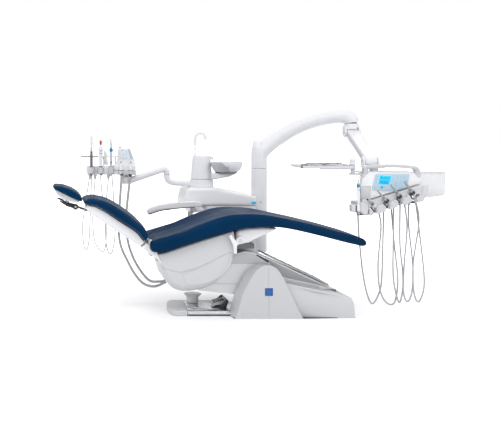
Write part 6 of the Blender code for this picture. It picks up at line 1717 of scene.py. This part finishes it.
for tag, node in (("t", "table_syringe_button"), ("a", "assistant_syringe_button")):
    refined(node, LIGHT, "grey_cover", 0.0008, 2)

# =====================================================================  assistant's arms and table
A = "assistant_table"
lathe("assistant_arm_lower_form", soft_profile([(0.0447, 0.7735), (0.0740, 0.7735, 0.001), (0.0765, 0.7705, 0.003),
                                                (0.0782, 0.7520, 0.02), (0.0805, 0.7300, 0.003),
                                                (0.0790, 0.7235, 0.002), (0.0447, 0.7235)], 0.0),
      TOWER, PAINT, "assistant_lower", "white_metal", steps=72, stands_for=("assistant_arm_lower",))
tube("assistant_lower_bend", catmull([(-0.3240, 0.500, 0.7460), (-0.3800, 0.500, 0.7475), (-0.4350, 0.500, 0.7500),
                                      (-0.4620, 0.500, 0.7545), (-0.4800, 0.500, 0.7640), (-0.4900, 0.500, 0.7780),
                                      (-0.4935, 0.500, 0.7930), (-0.4935, 0.500, 0.8030)], 6),
     [0.0225 - 0.0020 * min(i / 20, 1.0) for i in range(43)], PAINT, "assistant_lower", "white_metal", sides=40)
lathe("assistant_elbow_ring", soft_profile([(0, 0.8028), (0.0208, 0.8028), (0.0215, 0.8045, 0.0008), (0.0208, 0.8062, 0.0006),
                                            (0, 0.8062)], 0.0), (-0.4935, 0.500, 0), LIGHT, "assistant_lower",
      "grey_cover", steps=40)
UPPER = catmull([(-0.4935, 0.500, 0.8080), (-0.4935, 0.4995, 0.8200), (-0.4985, 0.499, 0.8310),
                 (-0.5100, 0.497, 0.8375), (-0.5270, 0.494, 0.8360), (-0.5600, 0.488, 0.8265),
                 (-0.6400, 0.474, 0.8010), (-0.7000, 0.463, 0.7810), (-0.7500, 0.4535, 0.7640)], 6)
tube("assistant_arm_upper_form", UPPER, [0.0205 + 0.0015 * min(i / 24, 1.0) for i in range(len(UPPER))], PAINT,
     "assistant_upper", "white_metal", sides=40, round_end=0.0, stands_for=("assistant_arm_upper",))
lathe("assistant_upper_hub", soft_profile([(0, 0.7450), (0.0240, 0.7450), (0.0330, 0.7500, 0.006), (0.0345, 0.7700, 0.01),
                                           (0.0325, 0.7895, 0.002), (0, 0.7915)], 0.0, 5),
      (-0.772, 0.450, 0), PAINT, "assistant_upper", "white_metal", steps=56)
lathe("assistant_post", soft_profile([(0, 0.7920), (0.0225, 0.7920), (0.0225, 0.8100, 0.001), (0, 0.8100)], 0.0),
      (-0.772, 0.450, 0), PAINT, A, "white_metal", steps=48)
plate("assistant_bar_form", fillet([(-1.031, 0.446), (-0.704, 0.446), (-0.704, 0.480), (-1.031, 0.480)], 0.006, 5),
      0.8070, 0.8640, WHITE, A, "white_shell", plane="XY", rim=0.005, segs=4, stands_for=("assistant_bar",))
for k, (x0, x1) in enumerate(((-1.0310, -1.0030), (-0.9860, -0.9460), (-0.9250, -0.8780), (-0.8550, -0.8080))):
    plate(f"assistant_module_{k}", fillet([(x0, 0.4200, 0.010), (x1, 0.4200, 0.010), (x1, 0.4500, 0.002),
                                           (x0, 0.4500, 0.002)], 0.004, 5), 0.8060, 0.8650, WHITE, A, "white_shell",
          plane="XY", rim=0.004, segs=4)
    if k < 3:
        plate(f"assistant_module_face_{k}", fillet([(x0 + 0.006, 0.8130), (x1 - 0.006, 0.8130),
                                                    (x1 - 0.006, 0.8570), (x0 + 0.006, 0.8570)], 0.004, 4),
              0.4190, 0.4215, LIGHT if k == 1 else PAINT, A, "grey_cover", rim=0.0008, segs=2)
for k, (x, r) in enumerate(((-0.9945, 0.0115), (-0.9355, 0.0130), (-0.8665, 0.0115))):
    lathe(f"assistant_holder_{k}", soft_profile([(r, 0.8150), (r + 0.0035, 0.8150, 0.001), (r + 0.0035, 0.8560, 0.0015),
                                                 (r, 0.8560, 0.001), (r, 0.8150)], 0.0),
          (-0.9990 if k == 0 else (-0.938 if k == 1 else -0.870), 0.404, 0), LIGHT, A, "grey_cover", steps=36)
    x0 = -0.9990 if k == 0 else (-0.938 if k == 1 else -0.870)
    plate(f"assistant_holder_neck_{k}", fillet([(x0 - 0.006, 0.4150), (x0 + 0.006, 0.4150), (x0 + 0.010, 0.4480),
                                                (x0 - 0.010, 0.4480)], 0.002, 2), 0.8180, 0.8530, LIGHT, A,
          "grey_cover", plane="XY", rim=0.002, segs=2)
for k, x in enumerate((-1.0070, -0.9730, -0.8860)):
    lathe(f"assistant_relief_{k}", soft_profile([(0, 0.8080), (0.0120, 0.8080), (0.0115, 0.7980, 0.002),
                                                 (0.0062, 0.7760, 0.002), (0, 0.7760)], 0.0), (x, 0.437, 0), LIGHT, A,
          "grey_cover", steps=32)
P_OUT = fillet([(-0.8560, 0.8600, 0.004), (-0.8440, 0.8720, 0.012), (-0.8260, 0.8920, 0.03), (-0.8215, 0.9770, 0.006),
                (-0.7420, 0.9770, 0.008), (-0.7220, 0.9250, 0.03), (-0.7060, 0.8680, 0.01), (-0.7045, 0.8600, 0.004)],
               0.005, 5)
plate("assistant_panel_form", P_OUT, 0.4260, 0.4700, WHITE, A, "white_shell", rim=0.006, segs=5,
      stands_for=("assistant_panel",))
plate("assistant_panel_base", fillet([(-0.8550, 0.4120, 0.014), (-0.7060, 0.4120, 0.014), (-0.7040, 0.4800, 0.008),
                                      (-0.8550, 0.4800, 0.008)], 0.01, 6), 0.8360, 0.8700, WHITE, A, "white_shell",
      plane="XY", rim=0.005, segs=4)
plate("assistant_panel_lip", fillet([(-0.8220, 0.4000, 0.016), (-0.7050, 0.4000, 0.016), (-0.7050, 0.4800, 0.010),
                                     (-0.8220, 0.4800, 0.010)], 0.01, 6), 0.8050, 0.8368, POD, A, "grey_cover",
      plane="XY", rim=0.005, segs=4)
plate("assistant_panel_film", fillet([(-0.8140, 0.9745), (-0.7600, 0.9745), (-0.7400, 0.9080), (-0.8260, 0.9080)],
                                     0.004, 4), 0.4248, 0.4266, PAINT, A, "white_shell", rim=0.0006, segs=2)
plate("assistant_panel_strip", fillet([(-0.7595, 0.9745), (-0.7440, 0.9745), (-0.7250, 0.9080), (-0.7385, 0.9080)],
                                      0.003, 3), 0.4246, 0.4266, FILM, A, "panel_film", rim=0.0006, segs=2)
# The cyan keys emit light: a painted glow.
for k, (x, z, r) in enumerate(((-0.7943, 0.9679, 0.0042), (-0.7802, 0.9679, 0.0022), (-0.7665, 0.9679, 0.0022),
                               (-0.7665, 0.9533, 0.0022), (-0.7854, 0.9391, 0.0026), (-0.7676, 0.9391, 0.0024),
                               (-0.7875, 0.9129, 0.0028), (-0.7692, 0.9129, 0.0024))):
    disc(f"assistant_key_{k}", (x, 0.4248, z), (0, -1, 0), r, 0.0010, CYAN_PAINTED_GLOW, A, "panel_film", steps=18)
lathe("assistant_panel_knob", soft_profile([(0, 0.0), (0.0035, 0.0), (0.0032, 0.0060, 0.0005), (0.0058, 0.0085, 0.002),
                                            (0.0056, 0.0135, 0.002), (0, 0.0150)], 0.0), (-0.8089, 0.4400, 0.9750),
      BLACK, A, "black_part", steps=28)
for k, x in enumerate((-0.8048, -0.7420)):
    lathe(f"suction_end_{k}", soft_profile([(0, 0.7960), (0.0090, 0.7960), (0.0095, 0.8200, 0.002),
                                            (0.0150, 0.8300, 0.003), (0.0150, 0.8420, 0.003), (0.0100, 0.8640, 0.006),
                                            (0.0062, 0.8790, 0.001), (0.0058, 0.8860, 0.001), (0, 0.8870)], 0.0, 5),
          (x, 0.4020, 0), PAINT, A, "white_metal", steps=40)
    lathe(f"suction_end_valve_{k}", soft_profile([(0, 0.8860), (0.0052, 0.8860), (0.0048, 0.8910, 0.0012), (0, 0.8920)],
                                                 0.0), (x, 0.4020, 0), DARK, A, "black_part", steps=24)
    lathe(f"suction_end_seal_{k}", soft_profile([(0.0152, 0.8340), (0.0160, 0.8340, 0.0004), (0.0160, 0.8372, 0.0004),
                                                 (0.0152, 0.8372)], 0.0), (x, 0.4020, 0), DARK, A, "black_part",
          steps=40)
# cannula, lamp and syringe standing in the bar
tube("suction_cannula_form", [(-0.999, 0.404, 0.8000), (-0.999, 0.404, 0.8150), (-0.999, 0.404, 0.8600),
                              (-0.999, 0.404, 0.9300), (-0.999, 0.404, 0.9600)],
     [0.0080, 0.0088, 0.0094, 0.0092, 0.0086], FRAME, A, "grey_cover", sides=28, stands_for=("suction_cannula",))
tube("cannula_collar", [(-0.999, 0.404, 0.9598), (-0.999, 0.404, 0.9620), (-0.999, 0.404, 0.9860),
                        (-0.999, 0.404, 0.9885)], [0.0078, 0.0084, 0.0076, 0.0070], LIGHT, A, "grey_cover", sides=28)
tube("cannula_tip", [(-0.999, 0.404, 0.9880), (-0.999, 0.404, 1.0300), (-0.999, 0.404, 1.0520), (-0.999, 0.404, 1.0590)],
     [0.0066, 0.0066, 0.0066, 0.0060], WHITE, A, "white_shell", sides=28, round_end=0.3)
for k in range(5):
    z = 0.8720 + 0.012 * k
    tube(f"cannula_ring_{k}", [(-0.999, 0.404, z), (-0.999, 0.404, z + 0.0022)], 0.0099, DARK, A, "black_part",
         sides=28)
LAMP = soft_profile([(0, 0.8000), (0.0085, 0.8000), (0.0098, 0.8350), (0.0108, 0.8800), (0.0118, 0.9200, 0.02),
                     (0.0150, 0.9550, 0.015), (0.0148, 0.9760, 0.015), (0.0105, 0.9960, 0.006), (0.0062, 1.0030, 0.001),
                     (0, 1.0030)], 0.0, 5)
lathe("curing_light_form", LAMP, (-0.938, 0.403, 0), WHITE, A, "white_shell", steps=44, stands_for=("curing_light",))
lathe("lamp_neck", soft_profile([(0, 1.0026), (0.0052, 1.0026), (0.0058, 1.0110, 0.001), (0, 1.0110)], 0.0),
      (-0.938, 0.403, 0), BLACK, A, "black_part", steps=32)
lathe("lamp_tip", soft_profile([(0, 1.0105), (0.0062, 1.0105), (0.0078, 1.0180, 0.003), (0.0074, 1.0290, 0.004),
                                (0, 1.0325)], 0.0, 5), (-0.938, 0.403, 0), AMBER, A, "panel_film", steps=36)
disc("lamp_key_ring", (-0.938, 0.3892, 0.9640), (0, -1, 0), 0.0072, 0.0010, CYAN_PAINTED_GLOW, A, "panel_film", steps=28)
disc("lamp_key_face", (-0.938, 0.3884, 0.9640), (0, -1, 0), 0.0056, 0.0009, WHITE, A, "white_shell", steps=28)
disc("lamp_key_dot", (-0.940, 0.3877, 0.9640), (0, -1, 0), 0.0030, 0.0008, MAGENTA, A, "panel_film", steps=20)
plate("lamp_underline", fillet([(-0.9460, 0.9445, 0.002), (-0.9300, 0.9445, 0.002), (-0.9310, 0.9480, 0.001),
                                (-0.9450, 0.9480, 0.001)], 0.001, 3), 0.3885, 0.3925, MAGENTA, A, "panel_film",
      rim=0.0006, segs=2)
plate("lamp_shield", fillet([(-0.9130, 0.8700, 0.006), (-0.8860, 0.8700, 0.006), (-0.8950, 0.9450, 0.02),
                             (-0.9080, 0.9690, 0.008), (-0.9180, 0.9650, 0.006)], 0.006, 5), 0.4300, 0.4325, CLEAR, A,
      "clear_panel", rim=0.0008, segs=2)
tube("lamp_cord_guide", [(-0.938, 0.4020, 0.8620), (-0.9360, 0.4010, 0.8350), (-0.9340, 0.4000, 0.8100)], 0.0100,
     BLACK, A, "black_part", sides=24, round_end=0.3)
tube("assistant_syringe_form", [(-0.870, 0.406, 0.8000), (-0.870, 0.406, 0.8300), (-0.870, 0.406, 0.9000),
                                (-0.870, 0.406, 0.9580)], [0.0066, 0.0072, 0.0080, 0.0074], SILVER, A, "silver_grip",
     sides=28, stands_for=("assistant_syringe",))
for k in range(4):
    z = 0.8820 + 0.004 * k
    tube(f"assistant_syringe_grip_{k}", [(-0.870, 0.406, z), (-0.870, 0.406, z + 0.0014)], 0.0083, DARK, A,
         "black_part", sides=28)
lathe("assistant_syringe_ball", soft_profile([(0, 0.9560), (0.0080, 0.9560), (0.0118, 0.9610, 0.006),
                                              (0.0122, 0.9740, 0.008), (0.0070, 0.9830, 0.004), (0, 0.9840)], 0.0, 5),
      (-0.870, 0.406, 0), TEAL, A, "panel_film", steps=40)
tube("assistant_syringe_tip", [(-0.870, 0.406, 0.9830), (-0.870, 0.406, 0.9960), (-0.8705, 0.406, 1.0100),
                               (-0.8730, 0.406, 1.0380)], [0.0062, 0.0048, 0.0026, 0.0016], TOOL, A, "instrument",
     sides=20, round_end=0.4)
plate("assistant_shelf", fillet([(-1.0680, 0.4560), (-0.8200, 0.4560), (-0.8200, 0.5160), (-1.0680, 0.5160)], 0.010, 5),
      0.9215, 0.9262, STEEL, A, "steel", plane="XY", rim=0.0014, segs=3)
plate("assistant_shelf_rail", fillet([(-1.0660, 0.9250), (-0.9550, 0.9250), (-0.9550, 0.9305), (-1.0660, 0.9305)],
                                     0.001, 2), 0.4550, 0.4575, FRAME, A, "frame_metal", rim=0.0006, segs=2)
tube("assistant_shelf_post", [(-0.8350, 0.4700, 0.8620), (-0.8350, 0.4750, 0.9000), (-0.8350, 0.4800, 0.9220)], 0.0050,
     PAINT, A, "white_metal", sides=16)
tube("assistant_shelf_post_two", [(-0.9150, 0.4700, 0.8620), (-0.9150, 0.4750, 0.9000), (-0.9150, 0.4800, 0.9220)],
     0.0050, PAINT, A, "white_metal", sides=16)
# hoses below the assistant's table
THIN_LOOPS = [
    [(-1.0085, 0.8000), (-1.0094, 0.7900), (-1.0331, 0.6393), (-1.0541, 0.4946), (-1.0561, 0.4287), (-1.0462, 0.3366),
     (-1.0344, 0.3103), (-1.0199, 0.3366), (-1.0101, 0.4287), (-1.0035, 0.6393), (-0.9969, 0.7900), (-0.9969, 0.8040)],
    [(-0.9719, 0.8000), (-0.9719, 0.7900), (-0.9837, 0.6393), (-0.9883, 0.4946), (-0.9739, 0.3629), (-0.9219, 0.3011),
     (-0.9015, 0.3761), (-0.9048, 0.5406), (-0.9278, 0.6722), (-0.9383, 0.7900), (-0.9383, 0.8040)],
    [(-0.8844, 0.8000), (-0.8844, 0.7900), (-0.9015, 0.6064), (-0.9048, 0.4090), (-0.8916, 0.3103), (-0.8758, 0.2873),
     (-0.8587, 0.3103), (-0.8429, 0.4287), (-0.8521, 0.6393), (-0.8633, 0.7900), (-0.8640, 0.8040)],
]
for k, loop_ in enumerate(THIN_LOOPS):
    n = len(loop_) - 1
    path = catmull([(x, 0.437 + (0.404 - 0.437) * (i / n) ** 2, z) for i, (x, z) in enumerate(loop_)], 9)
    tube(f"assistant_hose_{k}", path, 0.0040, THIN, A, "hose", sides=12, round_end=0.3,
         stands_for=("assistant_hoses",) if k == 0 else ())


def ribbed(points, pitch, r, depth):
    """A path with bellows: one point at each rise and fall, and a radius for each."""
    dense = [Vector(p) for p in catmull(points, 40)]
    path, radii, travel, mark, high = [dense[0]], [r], 0.0, 0.0, False
    for a, b in zip(dense, dense[1:]):
        travel += (b - a).length
        while travel - mark >= pitch / 4:
            mark += pitch / 4
            step = len(radii) % 4
            radii.append(r + (depth if step in (1, 2) else 0.0))
            path.append(b.copy() + (a - b) * ((travel - mark) / max((b - a).length, 1e-9)))
    return path, radii


SUCTION = [
    [(-0.8048, 0.402, 0.8100), (-0.8035, 0.400, 0.7800), (-0.8194, 0.392, 0.4144), (-0.7607, 0.372, 0.2380),
     (-0.6823, 0.338, 0.1205), (-0.6039, 0.300, 0.0944), (-0.5280, 0.270, 0.1280)],
    [(-0.7420, 0.402, 0.8100), (-0.7470, 0.400, 0.7800), (-0.7737, 0.392, 0.4797), (-0.7345, 0.375, 0.2838),
     (-0.6431, 0.330, 0.1401), (-0.5648, 0.295, 0.1270), (-0.4995, 0.270, 0.1500)],
]
for k, line_ in enumerate(SUCTION):
    path, radii = ribbed(line_, 0.0068, 0.0074, 0.0016)
    tube(f"suction_hose_{k}", path, radii, RIBBED, A, "hose", sides=14, caps=True, sharp=75,
         stands_for=("suction_hoses",) if k == 0 else ())
    tube(f"suction_hose_cuff_{k}", [path[0], path[8], path[14]], [0.0108, 0.0108, 0.0096], DARK, A, "hose", sides=24)

# =====================================================================  camera, lights, floor
def camera():
    cam = bpy.data.objects.new("view_camera", bpy.data.cameras.new("view_camera"))
    SCENE.collection.objects.link(cam)
    cam.location = (-1.27, -5.5, 1.10)
    cam.rotation_euler = (math.pi / 2, 0, 0)
    cam.data.lens = 64.94
    cam.data.sensor_width = 36.0
    cam.data.clip_start = 0.05
    cam.data.clip_end = 400.0
    for path, value in (("shift_x", 0.4), ("shift_y", -0.167)):
        setattr(cam.data, path, value)
        curve = cam.data.driver_add(path)
        var = curve.driver.variables.new()
        var.name = "x"
        var.type = "TRANSFORMS"
        var.targets[0].id = cam
        var.targets[0].transform_type = "LOC_X"
        var.targets[0].transform_space = "WORLD_SPACE"
        curve.driver.expression = f"{value} if abs(x + 1.27) < 0.0005 else 0.0"
    SCENE.camera = cam
    return cam


camera()


def area_light(name, place, target, size, energy, colour=(1, 1, 1), size_y=None):
    data = bpy.data.lights.new(name, "AREA")
    data.energy, data.size, data.color = energy, size, colour
    if size_y:
        data.shape, data.size_y = "RECTANGLE", size_y
    ob = bpy.data.objects.new(name, data)
    ob.location = place
    ob.rotation_euler = (Vector(target) - Vector(place)).to_track_quat("-Z", "Y").to_euler()
    SCENE.collection.objects.link(ob)
    return ob


area_light("key", (-3.2, -3.4, 4.2), (0.0, 0.1, 0.5), 3.0, 62, (1.0, 0.99, 0.98))
area_light("fill", (3.6, -3.8, 2.4), (0.1, 0.1, 0.5), 3.0, 26, (0.97, 0.985, 1.0))
area_light("rim", (0.8, 3.6, 3.6), (0.0, 0.2, 0.6), 2.5, 40)
area_light("upper", (0.3, -1.9, 2.3), (0.1, 0.4, 0.85), 1.4, 9)


def sky():
    world = bpy.data.worlds.new("studio")
    SCENE.world = world
    world.use_nodes = True
    tree = world.node_tree
    tree.nodes.clear()
    out = tree.nodes.new("ShaderNodeOutputWorld")
    mix = tree.nodes.new("ShaderNodeMixShader")
    seen = tree.nodes.new("ShaderNodeBackground")
    lit = tree.nodes.new("ShaderNodeBackground")
    path = tree.nodes.new("ShaderNodeLightPath")
    seen.inputs["Color"].default_value = (1.0, 1.0, 1.0, 1.0)
    seen.inputs["Strength"].default_value = 1.0
    coord = tree.nodes.new("ShaderNodeTexCoord")
    split = tree.nodes.new("ShaderNodeSeparateXYZ")
    ramp = tree.nodes.new("ShaderNodeValToRGB")
    tree.links.new(coord.outputs["Generated"], split.inputs[0])
    tree.links.new(split.outputs["Z"], ramp.inputs["Fac"])
    stops = ((0.0, 0.42), (0.25, 0.55), (1.0, 1.0))
    while len(ramp.color_ramp.elements) < len(stops):
        ramp.color_ramp.elements.new(0.5)
    for e, (at, v) in zip(ramp.color_ramp.elements, stops):
        e.position = at
        e.color = (v, v, v * 1.01, 1.0)
    tree.links.new(ramp.outputs["Color"], lit.inputs["Color"])
    lit.inputs["Strength"].default_value = 1.20
    tree.links.new(path.outputs["Is Camera Ray"], mix.inputs["Fac"])
    tree.links.new(lit.outputs[0], mix.inputs[1])
    tree.links.new(seen.outputs[0], mix.inputs[2])
    tree.links.new(mix.outputs[0], out.inputs["Surface"])


sky()


def floor():
    bm = bmesh.new()
    r = 60.0
    bm.faces.new([bm.verts.new(p) for p in ((-r, -r, 0), (r, -r, 0), (r, r, 0), (-r, r, 0))])
    me = bpy.data.meshes.new("studio_floor")
    bm.to_mesh(me)
    bm.free()
    ob = bpy.data.objects.new("studio_floor", me)
    SCENE.collection.objects.link(ob)
    n = Nodes("floor_paper")
    n.colour(n.ramp(n.noise(0.5, 2.0), [(0.3, (0.93, 0.93, 0.93)), (0.7, (0.95, 0.95, 0.95))]))
    n.set(Roughness=0.8, Specular_IOR_Level=0.2)
    # lit paper: beyond the product's own shadow the backdrop reads as plain white
    away = n.add("ShaderNodeVectorMath", operation="LENGTH")
    n.link(n.coord.outputs["Object"], away.inputs[0])
    glow_ = n.add("ShaderNodeMapRange")
    glow_.inputs["From Min"].default_value = 0.9
    glow_.inputs["From Max"].default_value = 3.2
    glow_.inputs["To Min"].default_value = 0.10
    glow_.inputs["To Max"].default_value = 0.90
    n.link(away.outputs["Value"], glow_.inputs["Value"])
    seen = n.add("ShaderNodeLightPath")
    strength = n.add("ShaderNodeMath", operation="MULTIPLY")
    n.link(glow_.outputs["Result"], strength.inputs[0])
    n.link(seen.outputs["Is Camera Ray"], strength.inputs[1])
    n.set(Emission_Color=(1.0, 1.0, 1.0, 1.0))
    n.link(strength.outputs[0], n.shader.inputs["Emission Strength"])
    me.materials.append(n.mat)
    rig.stage(ob)


floor()
SCENE.view_settings.view_transform = "Standard"
SCENE.view_settings.look = "None"

bpy.context.view_layer.update()
VISUAL_BOX = [list(map(float, v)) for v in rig.bounds()]
with open("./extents.json", "w") as out:
    json.dump({"cad": CAD_BOX, "visual": VISUAL_BOX}, out)
